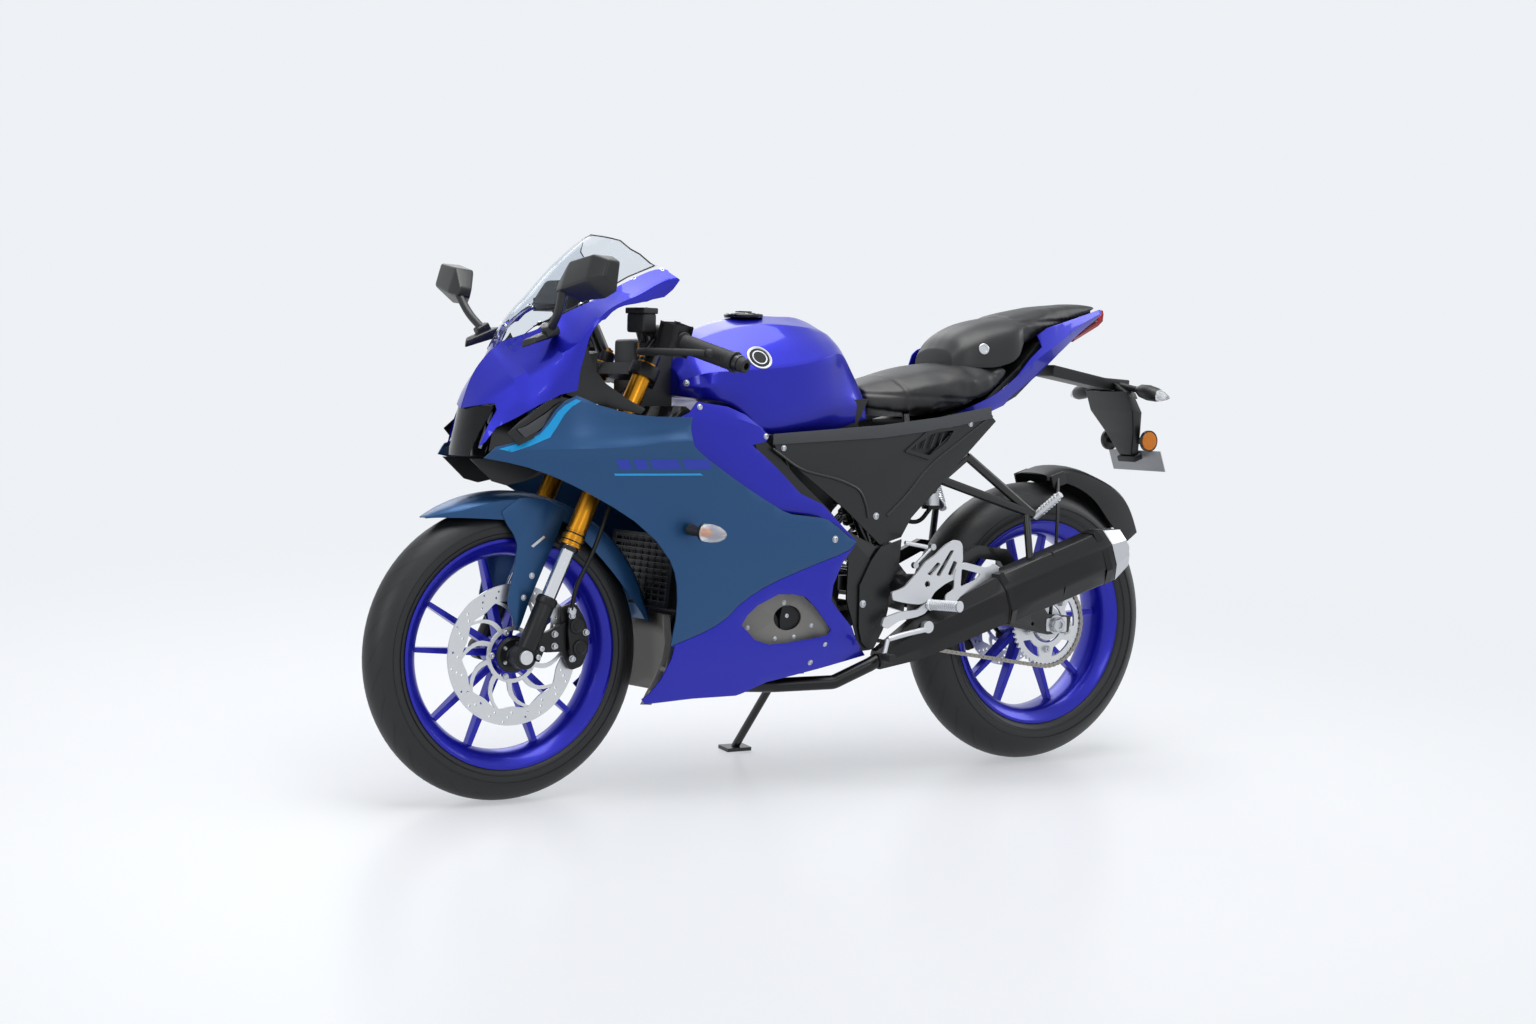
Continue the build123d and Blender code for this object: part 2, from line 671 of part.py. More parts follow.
# ---------------------------------------------------------------- windscreen
screen_wall = 3.0
screen_stations = [
    (690, [(0, 908), (16, 905), (30, 898), (42, 888)]),
    (640, [(0, 975), (38, 968), (63, 955), (74, 944.5)]),
    (600, [(0, 1016), (47, 1006), (78, 987), (93, 965)]),
    (541, [(0, 1078), (57, 1064), (93, 1036), (112, 997)]),
    (500, [(0, 1115), (61, 1099), (101, 1064), (120, 1022)]),
    (460, [(0, 1142), (63, 1126), (105, 1090), (127, 1046)]),
    (380, [(0, 1176), (67, 1158), (113, 1122), (142, 1078)]),
]
screen_plan = [
    (680, 0), (680, 200), (380, 200), (398, 124), (418, 100), (447, 68), (462, 40), (470, 0)]
with BuildPart() as screen_half:
    add(skin(screen_stations, screen_wall))
    with BuildSketch(Plane.XY.offset(850)):
        Polygon(*screen_plan, align=None)
    extrude(amount=400, mode=Mode.INTERSECT)
windscreen = both_sides(screen_half.part)

# ---------------------------------------------------------------- mirrors
def mirror_assembly():
    """Left mirror: foot on the cowl, stalk and a faceted head."""
    with BuildPart() as head:
        with BuildSketch(Plane.XZ.offset(-252)):
            Polygon((650, 1028), (664, 1034), (660, 1012), (646, 1004), align=None)
        with BuildSketch(Plane.XZ.offset(-285)):
            Polygon((610, 1060), (650, 1064), (664, 1020), (618, 992), align=None)
        with BuildSketch(Plane.XZ.offset(-345)):
            Polygon((584, 1074), (608, 1080), (620, 1036), (590, 1000), align=None)
        with BuildSketch(Plane.XZ.offset(-360)):
            Polygon((578, 1068), (594, 1070), (602, 1040), (582, 1008), align=None)
        loft(ruled=True)
    stalk = joined(rod((648, 140, 936), (662, 205, 975), 8), rod((662, 205, 975), (656, 258, 1020), 8))
    foot = plate([(628, 925), (676, 912), (668, 934), (640, 946)], 124, 150)
    return joined(head.part, stalk, foot)


mirrors = both_sides(mirror_assembly())

# ---------------------------------------------------------------- inner cowl parts
cheek_outline = [
    (592, 912), (577, 935), (566, 915), (557, 890), (545, 862), (520, 835), (470, 805), (430, 786),
    (440, 776), (520, 790), (560, 800), (607, 812), (610, 861), (604, 893),
]
cheeks = plate(cheek_outline, 150, 153)
under_nose_outline = [
    (768, 684), (720, 640), (690, 632), (650, 640), (600, 655), (575, 666), (578, 704),
    (640, 690), (700, 684),
]
under_nose_wall = plate(under_nose_outline, 60, 64)
inner_cowl = joined(
    both_sides(cheeks), both_sides(under_nose_wall))
with BuildPart() as dash:
    with BuildSketch(Plane.XY.offset(978)):
        with Locations((541, 0)):
            Rectangle(50, 144)
    extrude(amount=26)
instruments = dash.part

# ---------------------------------------------------------------- tank and seats
tank_stations = [
    (312, [(0, 876), (40, 873), (70, 860), (86, 843), (85, 828), (72, 812)]),
    (280, [(0, 925), (60, 913), (100, 890), (125, 858), (128, 834), (118, 808)]),
    (215, [(0, 958), (70, 943), (110, 915), (142, 865), (140, 832), (130, 796)]),
    (120, [(0, 979), (75, 962), (118, 925), (144, 872), (142, 800), (128, 737)]),
    (30, [(0, 982), (75, 962), (115, 925), (140, 885), (136, 800), (122, 742)]),
    (-30, [(0, 979), (66, 955), (100, 925), (124, 900), (124, 800), (112, 744)]),
    (-80, [(0, 955), (50, 940), (75, 924), (96, 903), (108, 800), (104, 752)]),
    (-120, [(0, 900), (38, 894), (60, 882), (78, 863), (96, 800), (95, 762)]),
    (-152, [(0, 838), (28, 836), (50, 830), (68, 820), (84, 790), (86, 768)]),
]
fuel_tank = symmetric_body(tank_stations)
cap_height = 6.0
with BuildPart() as cap:
    with BuildSketch(Plane.XY.offset(978)):
        with Locations((108, 0)):
            Circle(38)
    extrude(amount=cap_height)
    add(fuel_tank, mode=Mode.SUBTRACT)
fuel_cap = cap.part

rider_stations = [
    (-156, [(0, 842), (44, 839), (70, 824), (78, 792)]),
    (-220, [(0, 858), (62, 852), (102, 822), (106, 780)]),
    (-300, [(0, 876), (82, 868), (122, 838), (122, 784)]),
    (-390, [(0, 886), (92, 879), (130, 852), (124, 800)]),
    (-460, [(0, 889), (92, 885), (126, 866), (116, 828)]),
    (-520, [(0, 894), (72, 891), (112, 886), (108, 872)]),
]
rider_seat = symmetric_body(rider_stations)
hump_stations = [
    (-436, [(0, 950), (40, 946), (70, 925), (74, 900)]),
    (-480, [(0, 985), (52, 980), (84, 952), (90, 905)]),
    (-545, [(0, 998), (60, 992), (92, 966), (96, 925)]),
]
pillion_cover = symmetric_body(hump_stations)
pillion_stations = [
    (-546, [(0, 998), (60, 992), (92, 966), (96, 926)]),
    (-650, [(0, 1018), (50, 1012), (74, 994), (77, 968)]),
    (-750, [(0, 1028), (32, 1022), (42, 1010), (44, 996)]),
    (-848, [(0, 1031), (5, 1029.5), (8, 1026), (8, 1021)]),
]
pillion_seat = symmetric_body(pillion_stations)

# ---------------------------------------------------------------- tail
tail_stations = [
    (-856, [(14, 1030), (20, 1018), (14, 1004)]),
    (-760, [(48, 1020), (56, 985), (42, 950)]),
    (-690, [(74, 1000), (80, 950), (62, 900)]),
    (-620, [(88, 980), (97, 915), (76, 850)]),
    (-540, [(100, 920), (112, 870), (92, 800)]),
    (-450, [(116, 850), (128, 820), (112, 770)]),
    (-340, [(128, 800), (134, 785), (130, 760)]),
]
tail_outline = [
    (-848, 1024), (-697, 990), (-640, 976), (-607, 958), (-619, 933), (-581, 906), (-536, 866),
    (-492, 838), (-447, 818), (-389, 796), (-345, 777), (-417, 783), (-462, 788), (-507, 802),
    (-538, 826), (-619, 872), (-687, 920), (-764, 966), (-852, 1012),
]
tail_panels = both_sides(trimmed(skin(tail_stations, panel_wall), tail_outline))

under_tail_stations = [
    (-850, [(0, 1012), (8, 1011), (10, 1004), (8, 1000)]),
    (-760, [(0, 988), (40, 986), (42, 972), (34, 962)]),
    (-690, [(0, 965), (62, 962), (64, 935), (50, 912)]),
    (-620, [(0, 945), (78, 940), (80, 900), (64, 862)]),
    (-560, [(0, 900), (90, 890), (94, 860), (80, 822)]),
    (-440, [(0, 805), (100, 800), (108, 792), (100, 770)]),
    (-300, [(0, 770), (100, 766), (106, 752), (96, 740)]),
]
under_tail = symmetric_body(under_tail_stations)

tail_lamp_stations = [
    (-868, [(0, 1024), (6, 1022), (8, 1014), (6, 998)]),
    (-853, [(0, 999), (7, 998.5), (9, 994), (7, 986)]),
    (-764, [(0, 961.5), (28, 961), (32, 956), (26, 948)]),
]
tail_lamp = symmetric_body(tail_lamp_stations)

# ---------------------------------------------------------------- side covers
cover_inner = 146.0
cover_outer = 150.0
cover_outline = [
    (126, 724), (-150, 739), (-300, 757), (-436, 782), (-452, 768), (-330, 655), (-230, 560),
    (-205, 520), (-150, 505), (-60, 580), (40, 650), (112, 700),
]
strip_outline = [
    (126, 716), (-150, 731), (-300, 749), (-438, 774), (-436, 800), (-300, 776), (-150, 758),
    (126, 738),
]
lower_cover_outline = [
    (-152, 500), (-207, 516), (-200, 452), (-178, 420), (-175, 366), (-163, 324), (-138, 282),
    (-122, 286), (-108, 300), (-100, 330), (-100, 420), (-128, 470),
]
vent_opening = [(-215, 705), (-300, 748), (-345, 752), (-268, 690)]
with BuildPart() as cover:
    add(plate(cover_outline, cover_inner, cover_outer))
    with BuildSketch(Plane.XZ.offset(-cover_inner + 1)):
        Polygon(*vent_opening, align=None)
    extrude(amount=-(cover_outer - cover_inner + 2), mode=Mode.SUBTRACT)
side_covers = both_sides(cover.part)
cover_strips = both_sides(plate(strip_outline, cover_outer, cover_outer + 3))
lower_covers = both_sides(plate(lower_cover_outline, cover_inner, cover_outer))

# ---------------------------------------------------------------- subframe
subframe_radius = 11.0
rail_y = spar_inner - subframe_radius - fit_gap
peg_bracket = joined(
    rod((-400, 118, 690), (-545, 168, 566), 10), rod((-330, 118, 640), (-545, 168, 566), 10),
    rod((-400, 118, 690), (-330, 118, 640), 8))
with BuildPart() as rails:
    add(rod((-60, rail_y, 690), (-330, rail_y, 712), subframe_radius))
    add(rod((-330, rail_y, 712), (-420, 92, 748), subframe_radius))
    add(rod((-172, rail_y, 500), (-400, rail_y, 700), subframe_radius))
    add(rod((-146, rail_y, 496), (-60, rail_y, 690), subframe_radius))
    add(rod((-140, 0, 696), (-140, rail_y, 696), subframe_radius))
    add(plate([(-165, 656), (-125, 633.4), (-130, 700), (-150, 700)], 0, 12))
    add(peg_bracket)
subframe = both_sides(rails.part)

# ---------------------------------------------------------------- rear suspension
arm_inner = arm_y - arm_width / 2
arm_outer = arm_y + arm_width / 2
arm_end = about_axle(rear_axle, [(22.5, -22), (-37.5, -18), (-43.5, 18), (22.5, 24)])
arm_outline = [(-170, 440), (-160, 415), (-170, 385), (-260, 372)] + arm_end + [
    (-420, 392), (-300, 436)]
brace_foot = about_axle(rear_axle, [(22.5, 24), (62.5, 18)])
brace_outline = [(-300, 436), (-440, 496), (-520, 486)] + brace_foot + [
    (-500, 460), (-440, 468), (-330, 420)]
spool_x = rear_axle_x + 66.5
spool_z = rear_tyre_radius + 4
spool_radius = 4.0
with BuildPart() as arm:
    add(plate(arm_outline, arm_inner, arm_outer))
    with BuildSketch(Plane.XZ.offset(-arm_inner + 1)):
        with Locations((rear_axle_x, rear_tyre_radius)):
            Circle(rear_axle_radius)
        with Locations((spool_x, spool_z)):
            Circle(spool_radius)
    extrude(amount=-arm_width - 2, mode=Mode.SUBTRACT)
swingarm = joined(
    both_sides(arm.part), both_sides(plate(brace_outline, arm_inner, arm_outer)),
    cross_cylinder(swingarm_pivot_x, swingarm_pivot_z, 24, -arm_inner, arm_inner),
    both_sides(plate([(-250, 404), (-310, 398), (-310, 425), (-250, 435)], 0, arm_inner)))
rear_axle_shaft = joined(
    cross_cylinder(rear_axle_x, rear_tyre_radius, rear_axle_radius,
                   -rear_axle_half + 6, rear_axle_half - 6),
    cross_cylinder(rear_axle_x, rear_tyre_radius, 16, arm_outer, rear_axle_half),
    cross_cylinder(rear_axle_x, rear_tyre_radius, 16, -rear_axle_half, -arm_outer))

shock_low = (-262, 0, 450)
shock_middle = (-208, 0, 545)
shock_high = (-150, 0, 647)
shock = joined(rod(shock_low, shock_middle, 22), rod(shock_middle, shock_high, 30))

# ---------------------------------------------------------------- chain
def tangent_points():
    """Each sprocket with the directions to its upper and lower tangent points."""
    x0, z0, r0 = rear_axle_x, rear_tyre_radius, rear_sprocket_radius
    x1, z1, r1 = sprocket_x, sprocket_z, front_sprocket_radius
    span = hypot(x1 - x0, z1 - z0)
    slope = Vector(x1 - x0, z1 - z0).get_angle(Vector(1, 0)) * (1 if z1 > z0 else -1)
    spread = (r0 - r1) / span
    flat = sqrt(1 - spread * spread)
    up, down = [], []
    for x, z, r in ((x0, z0, r0), (x1, z1, r1)):
        for sign, store in ((1, up), (-1, down)):
            nx, nz = spread, sign * flat
            turn = radians(slope)
            rx = nx * cos(turn) - nz * sin(turn)
            rz = nx * sin(turn) + nz * cos(turn)
            store.append((x, z, r, rx, rz))
    return up, down


def draw_band(offset, mode):
    """Shapes that fill the loop out to an offset from the pitch line."""
    up, down = tangent_points()
    corners = []
    for x, z, r, nx, nz in (up[0], up[1], down[1], down[0]):
        corners.append((x + nx * (r + offset), z + nz * (r + offset)))
    Polygon(*corners, align=None, mode=mode)
    with Locations((rear_axle_x, rear_tyre_radius)):
        Circle(rear_sprocket_radius + offset, mode=mode)
    with Locations((sprocket_x, sprocket_z)):
        Circle(front_sprocket_radius + offset, mode=mode)


with BuildPart() as loop:
    with BuildSketch(Plane.XZ.offset(-chain_y + chain_width / 2)):
        draw_band(chain_height / 2, Mode.ADD)
        draw_band(-chain_height / 2, Mode.SUBTRACT)
    extrude(amount=-chain_width)
chain = loop.part

# ---------------------------------------------------------------- rear brake
rear_caliper_outline = about_axle(rear_axle, [
    (102.5, -2), (72.5, -40), (62.5, -64), (102.5, -74), (132.5, -48), (126.5, 4)])
rear_caliper = mirror(plate(rear_caliper_outline, -rear_disc_y + disc_thickness / 2 + caliper_gap,
                            arm_inner - fit_gap), about=Plane.XZ)

# ---------------------------------------------------------------- hugger
hugger_stations = [
    # angle from ahead, height over the tyre, crown half width, side drop
    (92, 20, 70, 22), (112, 20, 72, 26), (130, 24, 66, 28), (146, 30, 54, 24),
]
hugger = arched_skin(rear_axle, rear_tyre_radius, hugger_stations, panel_wall)

# ---------------------------------------------------------------- exhaust
muffler_front = (-440, 186, 384)
muffler_rear = (-722, 198, 476)
muffler_cap = (-770, 200, 492)


def muffler_section(at, toward, height, width):
    """Six-sided section square to the muffler's line."""
    line = Vector(*toward) - Vector(*at)
    plane = Plane(origin=at, x_dir=(0, 1, 0), z_dir=line)
    a, b = width / 2, height / 2
    return plane, [(-a, b * 0.55), (-a * 0.45, b), (a * 0.55, b), (a, b * 0.35), (a, -b * 0.45),
                   (a * 0.5, -b), (-a * 0.6, -b), (-a, -b * 0.5)]


with BuildPart() as silencer:
    for at, toward, height, width in (
            (muffler_front, muffler_rear, 112, 82), (muffler_rear, muffler_cap, 116, 88)):
        plane, outline = muffler_section(at, toward, height, width)
        with BuildSketch(plane):
            Polygon(*outline, align=None)
    loft(ruled=True)
muffler = silencer.part
with BuildPart() as cap_shell:
    for at, toward, height, width in (
            (muffler_rear, muffler_cap, 116, 88), (muffler_cap, (-780, 200.5, 495.3), 84, 60)):
        plane, outline = muffler_section(at, toward, height, width)
        with BuildSketch(plane.offset(0.3)):
            Polygon(*outline, align=None)
    loft(ruled=True)
muffler_end = cap_shell.part
with BuildPart() as shroud_body:
    for at, toward, height, width in (
            ((-150, 144, 260), (-240, 147, 282), 40, 36), ((-250, 147, 300), (-340, 152, 330), 86, 46),
            (muffler_front, muffler_rear, 104, 74)):
        plane, outline = muffler_section(at, toward, height, width)
        with BuildSketch(plane.offset(-fit_gap)):
            Polygon(*outline, align=None)
    loft(ruled=True)
pipe_shroud = shroud_body.part
exhaust_pipe = bent_tube([(270, 60, 425), (294, 62, 330), (250, 62, 218), (60, 70, 208),
                          (-60, 118, 214), (-134, 142, 250), (-170, 146, 268)], 30, 15)

# ---------------------------------------------------------------- foot rests
rearset_inner = 174.0
rearset_outer = 180.0
rearset_outline = [
    (-192, 402), (-184, 392), (-195, 384), (-230, 384), (-205, 360), (-170, 345), (-176, 332),
    (-215, 340), (-262, 356), (-285, 380), (-292, 405), (-310, 420), (-345, 432), (-360, 457),
    (-364, 501), (-356, 512), (-335, 506), (-295, 481), (-256, 443), (-215, 412),
]
rearset_plate = plate(rearset_outline, rearset_inner, rearset_outer)
foot_peg = rod((-262, rearset_outer - 1, 376), (-285, 258, 378), 11)
pedal_y = rearset_outer + 2
pedal = joined(
    rod((-180, pedal_y, 336), (-250, pedal_y, 344), 7),
    rod((-180, pedal_y, 336), (-140, pedal_y + 6, 268), 7),
    cross_cylinder(-140, 268, 9, pedal_y, 222))
peg_blade = rod((-552, 170, 560), (-575, 226, 612), 8)
rearsets = both_sides(joined(rearset_plate, foot_peg, pedal, peg_blade))

# ---------------------------------------------------------------- plate holder and lamps
holder_stations = [
    (-700, [(0, 895), (40, 893), (44, 880), (36, 868)]),
    (-860, [(0, 868), (30, 866), (34, 856), (28, 846)]),
    (-940, [(0, 866), (20, 864), (24, 858), (18, 848)]),
]
with BuildPart() as hanger:
    with BuildSketch(Plane(origin=(-905, 0, 858), x_dir=(0, 1, 0), z_dir=(-0.3, 0, -1))):
        Rectangle(46, 60)
    with BuildSketch(Plane(origin=(-969, 0, 694), x_dir=(0, 1, 0), z_dir=(-0.3, 0, -1))):
        Rectangle(60, 18)
    loft(ruled=True)
plate_holder = joined(symmetric_body(holder_stations), hanger.part)
with BuildPart() as number_board:
    with BuildSketch(Plane(origin=(-987, 0, 677), x_dir=(0, 1, 0), z_dir=(-0.94, 0, 0.34))):
        Rectangle(180, 50)
    extrude(amount=2)
number_plate = number_board.part
rear_indicators = both_sides(joined(rod((-905, 28, 850), (-912, 92, 846), 8),
                                    rod((-912, 92, 846), (-925, 166, 840), 14)))
front_indicator_lens = rod((345, 232, 545), (330, 278, 543), 17)
reflectors = both_sides(rod((-968, 66, 724), (-976, 66, 724), 18))

# ---------------------------------------------------------------- side stand
stand_pivot = Vector(-95, -128, 226)
stand_foot = Vector(-40, -stand_foot_out, stand_foot_out * tan(radians(lean)) + 6.0)
stowed_line = Vector(-0.985, -0.05, -0.165)
leg_line = (stand_foot - stand_pivot).normalized()
stand_axis = leg_line.cross(stowed_line).normalized()
leg_radius = 9.0
eye_radius = 14.0
eye_half = 9.5
pin_radius = 6.0
pad_length = 62.0
pad_width = 40.0
pad_height = 8.0


def along(start, direction, distance):
    """Point at a distance from a start along a direction."""
    return tuple(start + direction * distance)


pad_plane = Plane(origin=(stand_foot.X, stand_foot.Y, stand_foot_out * tan(radians(lean))),
                  x_dir=(1, 0, 0), z_dir=(0, sin(radians(lean)), cos(radians(lean))))
with BuildPart() as stand:
    add(rod(along(stand_pivot, stand_axis, -eye_half), along(stand_pivot, stand_axis, eye_half),
            eye_radius))
    add(rod(along(stand_pivot, leg_line, 4), tuple(stand_foot), leg_radius))
    with BuildSketch(pad_plane):
        Rectangle(pad_length, pad_width)
    extrude(amount=pad_height)
    add(rod(along(stand_pivot, stand_axis, -eye_half - 1),
            along(stand_pivot, stand_axis, eye_half + 1), pin_radius + axle_clearance),
        mode=Mode.SUBTRACT)
side_stand = stand.part
pin_head = 3.0
stand_bracket = joined(
    rod(along(stand_pivot, stand_axis, -eye_half - fit_gap),
        along(stand_pivot, stand_axis, eye_half + 4), pin_radius),
    rod(along(stand_pivot, stand_axis, -eye_half - fit_gap - pin_head),
        along(stand_pivot, stand_axis, -eye_half - fit_gap), pin_radius + 4),
    rod(along(stand_pivot, stand_axis, eye_half + fit_gap),
        along(stand_pivot, stand_axis, eye_half + 18), eye_radius),
    mirror(plate([(-130, 205), (-82, 205), (-82, 306), (-130, 306)], 99, 113), about=Plane.XZ),
    mirror(plate([(-130, 290), (-82, 290), (-105, 470), (-147, 470)], 106, 126), about=Plane.XZ))

# ---------------------------------------------------------------- mounting posts
def post(start, end, radius, seat, shift):
    """Post from its carrier that stops one seat gap short of the piece it holds."""
    with BuildPart() as leg:
        add(rod(start, end, radius))
        add(Pos(*shift) * seat, mode=Mode.SUBTRACT)
    return min(leg.part.solids(), key=lambda solid: solid.distance_to(Vector(*start)))


from_inside = (0, -seat_gap, 0)
from_outside = (0, seat_gap, 0)
from_below = (0, 0, -seat_gap)
from_above = (0, 0, seat_gap)
from_behind = (-seat_gap, 0, 0)
from_ahead = (seat_gap, 0, 0)

frame_posts = both_sides(joined(
    post((190, spar_outer - 1, 660), (190, 196, 660), 9, inner_panels, from_inside),
    post((60, spar_outer - 1, 580), (60, 190, 580), 9, inner_panels, from_inside),
    post((378, spar_outer - 1, 737), (378, 206, 737), 6.5, side_fairings, from_inside),
    rod((597, 0, 866), (597, 150, 866), 6),
    post((150, 128, 662), (150, 112, 772), 7, fuel_tank, from_below),
    rod((-165, spar_outer - 1, 440), (-165, cover_inner, 440), 10),
    cross_cylinder(swingarm_pivot_x, swingarm_pivot_z, 24, arm_outer + fit_gap, spar_inner + 2),
    plate([(238, 596), (272, 590), (305, 700), (255, 690)], engine_half, spar_inner + 2),
    plate([(-150, 398), (-150, 440), (-62, 440), (-62, 410)], engine_half, spar_inner + 2)))
lamp_post = post((604, 0, 803), (644, 0, 768), 7, headlamp, from_behind)
engine_posts = both_sides(joined(
    post((200, engine_half - 1, 470), (200, 206, 470), 9, side_fairings, from_inside),
    rod((0, 141, 345), (0, liner_inner, 345), 9),
    post((250, 95, 470), (312, 95, 470), 8, radiator, from_behind)))
liner_posts = both_sides(joined(
    post((218, liner_outer - 1, 356), (218, 190, 356), 5, belly_fairings, from_inside),
    post((-26, liner_outer - 1, 316), (-26, 190, 316), 7, belly_fairings, from_inside),
    post((364, 121, 262), (364, 180, 262), 5, belly_fairings, from_inside),
    post((392, 121, 214), (392, 170, 214), 6, belly_fairings, from_inside)))
cowl_posts = both_sides(joined(
    post((602, 152, 878), (602, 190, 878), 5, nose_cowl, from_inside),
    post((610, 63, 668), (610, 190, 668), 6, side_fairings, from_inside)))
mirror_posts = both_sides(
    post((650, 137, 925), (650, 137, 872), 10, nose_cowl, from_above))
subframe_posts = both_sides(joined(
    rod((-172, rail_y, 500), (-165, rail_y, 476), subframe_radius),
    rod((-165, rail_y - 8, 476), (-165, spar_inner, 476), 10),
    rod((-100, rail_y, 693), (-100, cover_inner, 693), 9),
    rod((-360, 104, 724), (-360, cover_inner, 724), 8),
    post((-250, 105, 706), (-250, 90, 806), 8, rider_seat, from_below),
    post((-345, 100, 718), (-345, 95, 768), 8, under_tail, from_below),
    post((-530, 163, 578), (-530, 182, 462), 8, muffler, from_above)))
tank_post = post((-130, 0, 696), (-130, 0, 800), 9, fuel_tank, from_below)
tail_posts = joined(
    post((-532, 0, 868), (-532, 0, 940), 9, pillion_cover, from_below),
    post((-640, 0, 938), (-640, 0, 992), 12, pillion_seat, from_below),
    post((-810, 0, 990), (-810, 0, 973), 6, tail_lamp, from_above),
    both_sides(post((-600, 72, 890), (-600, 104, 890), 7, tail_panels, from_inside)),
    both_sides(post((-400, 98, 786), (-400, 132, 786), 4, tail_panels, from_inside)))
holder_posts = joined(
    post((-715, 0, 884), (-715, 0, 945), 14, under_tail, from_below),
    post((-965, 0, 692), (-993, 0, 682), 8, number_plate, from_ahead))
front_indicators = both_sides(joined(
    front_indicator_lens,
    post((345, 232, 545), (352, 185, 548), 11, side_fairings, from_outside)))
reflector_arms = both_sides(
    post((-970, 66, 724), (-957, 0, 724), 6, plate_holder, from_outside))
shock_lug = post((-276, 0, 416), (-260, 0, 458), 14, shock, from_below)
stay_bend = (rear_axle_x - 5.5, 104, rear_tyre_radius + 156)
hugger_stays = both_sides(joined(
    rod((rear_axle_x - 27.5, 69, rear_axle[2] + rear_tyre_radius - 6), stay_bend, 6),
    post(stay_bend, (rear_axle_x + 7.5, 104, rear_tyre_radius + 16), 6, swingarm, from_above)))
mudguard_post_x = front_axle_x - 128.9
mudguard_post_z = front_axle[2] + front_tyre_radius - 19.6
mudguard_posts = both_sides(
    post((mudguard_post_x, 60, mudguard_post_z),
         (mudguard_post_x, fork_half_spacing, mudguard_post_z), 9, fork_outers, from_inside))
rearset_posts = both_sides(rod((-207, spar_outer, 398), (-207, rearset_inner + 1, 398), 9))
bar_line = Vector(*grip_start) - Vector(*bar_start)
clamp_at = Vector(*bar_start) + bar_line * 0.4
clamp_half = bar_line.normalized() * 10
with BuildPart() as perch:
    add(rod(tuple(clamp_at - clamp_half), tuple(clamp_at + clamp_half), 17))
    add(rod((432, 150, 900), tuple(clamp_at), 7))
    add(rod(bar_start, grip_start, bar_radius + seat_gap), mode=Mode.SUBTRACT)
with BuildPart() as reservoir_arm:
    add(rod((439, 148, 950), tuple(clamp_at), 7))
    add(rod(bar_start, grip_start, bar_radius + seat_gap), mode=Mode.SUBTRACT)
reservoir_arm = min(reservoir_arm.part.solids(), key=lambda solid: solid.distance_to(Vector(439, 148, 950)))

# ---------------------------------------------------------------- parked pose
# The machine leans about the floor line until its foot pad lies on the floor.
lift = rear_crown_radius * (1 - cos(radians(lean)))
centre_shift = (19.4, 103.8)
parked = Pos(centre_shift[0], centre_shift[1], lift) * Rot(lean, 0, 0)


def store(piece, name):
    """Write one piece, leaned onto the stand, under its own name."""
    leaned = parked * piece
    leaned.label = name
    export_step(leaned, f"parts/{name}.step")


pieces = {
    "front_tyre": front_tyre,
    "front_wheel": front_wheel,
    "front_disc": joined(front_disc, front_carrier),
    "fork_outers": fork_outers,
    "fork_stanchions": fork_stanchions,
    "front_axle": joined(front_axle_shaft, front_spacers),
    "fork_castings": joined(fork_feet, yokes),
    "handlebars": handlebars,
    "controls": joined(levers, reservoir, both_sides(perch.part), reservoir_arm),
    "front_mudguard": joined(front_mudguard, mudguard_posts),
    "front_caliper": front_caliper,
    "frame": joined(frame, stand_bracket, frame_posts, lamp_post),
    "engine": joined(engine, engine_posts),
    "radiator": radiator,
    "side_fairings": side_fairings,
    "belly_fairings": belly_fairings,
    "fairing_liners": joined(belly_liners, fairing_ducts, liner_posts),
    "inner_panels": inner_panels,
    "nose_cowl": nose_cowl,
    "headlamp": headlamp,
    "windscreen": windscreen,
    "mirrors": joined(mirrors, mirror_posts),
    "inner_cowl": joined(inner_cowl, instruments, cowl_posts),
    "fuel_tank": fuel_tank,
    "fuel_cap": fuel_cap,
    "rider_seat": rider_seat,
    "pillion_cover": pillion_cover,
    "pillion_seat": pillion_seat,
    "tail_panels": tail_panels,
    "under_tail": joined(under_tail, tail_posts),
    "tail_lamp": tail_lamp,
    "side_covers": joined(side_covers, lower_covers),
    "cover_strips": cover_strips,
    "subframe": joined(subframe, subframe_posts, tank_post),
    "swingarm": joined(swingarm, shock_lug),
    "rear_axle": rear_axle_shaft,
    "shock": shock,
    "chain": chain,
    "rear_caliper": rear_caliper,
    "hugger": joined(hugger, hugger_stays),
    "muffler": muffler,
    "muffler_end": muffler_end,
    "exhaust_pipe": joined(pipe_shroud, exhaust_pipe),
    "rearsets": joined(rearsets, rearset_posts),
    "plate_holder": joined(plate_holder, holder_posts),
    "number_plate": number_plate,
    "signal_lamps": joined(rear_indicators, front_indicators, reflectors, reflector_arms),
    "rear_wheel": rear_wheel,
    "rear_tyre": rear_tyre,
    "rear_sprocket": rear_sprocket,
    "rear_disc": rear_disc,
    "side_stand": side_stand,
}
for name, piece in pieces.items():
    store(piece, name)
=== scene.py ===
import math

import bmesh
import bpy
from bpy.props import FloatProperty, FloatVectorProperty, PointerProperty
from mathutils import Matrix, Vector
from mathutils.bvhtree import BVHTree


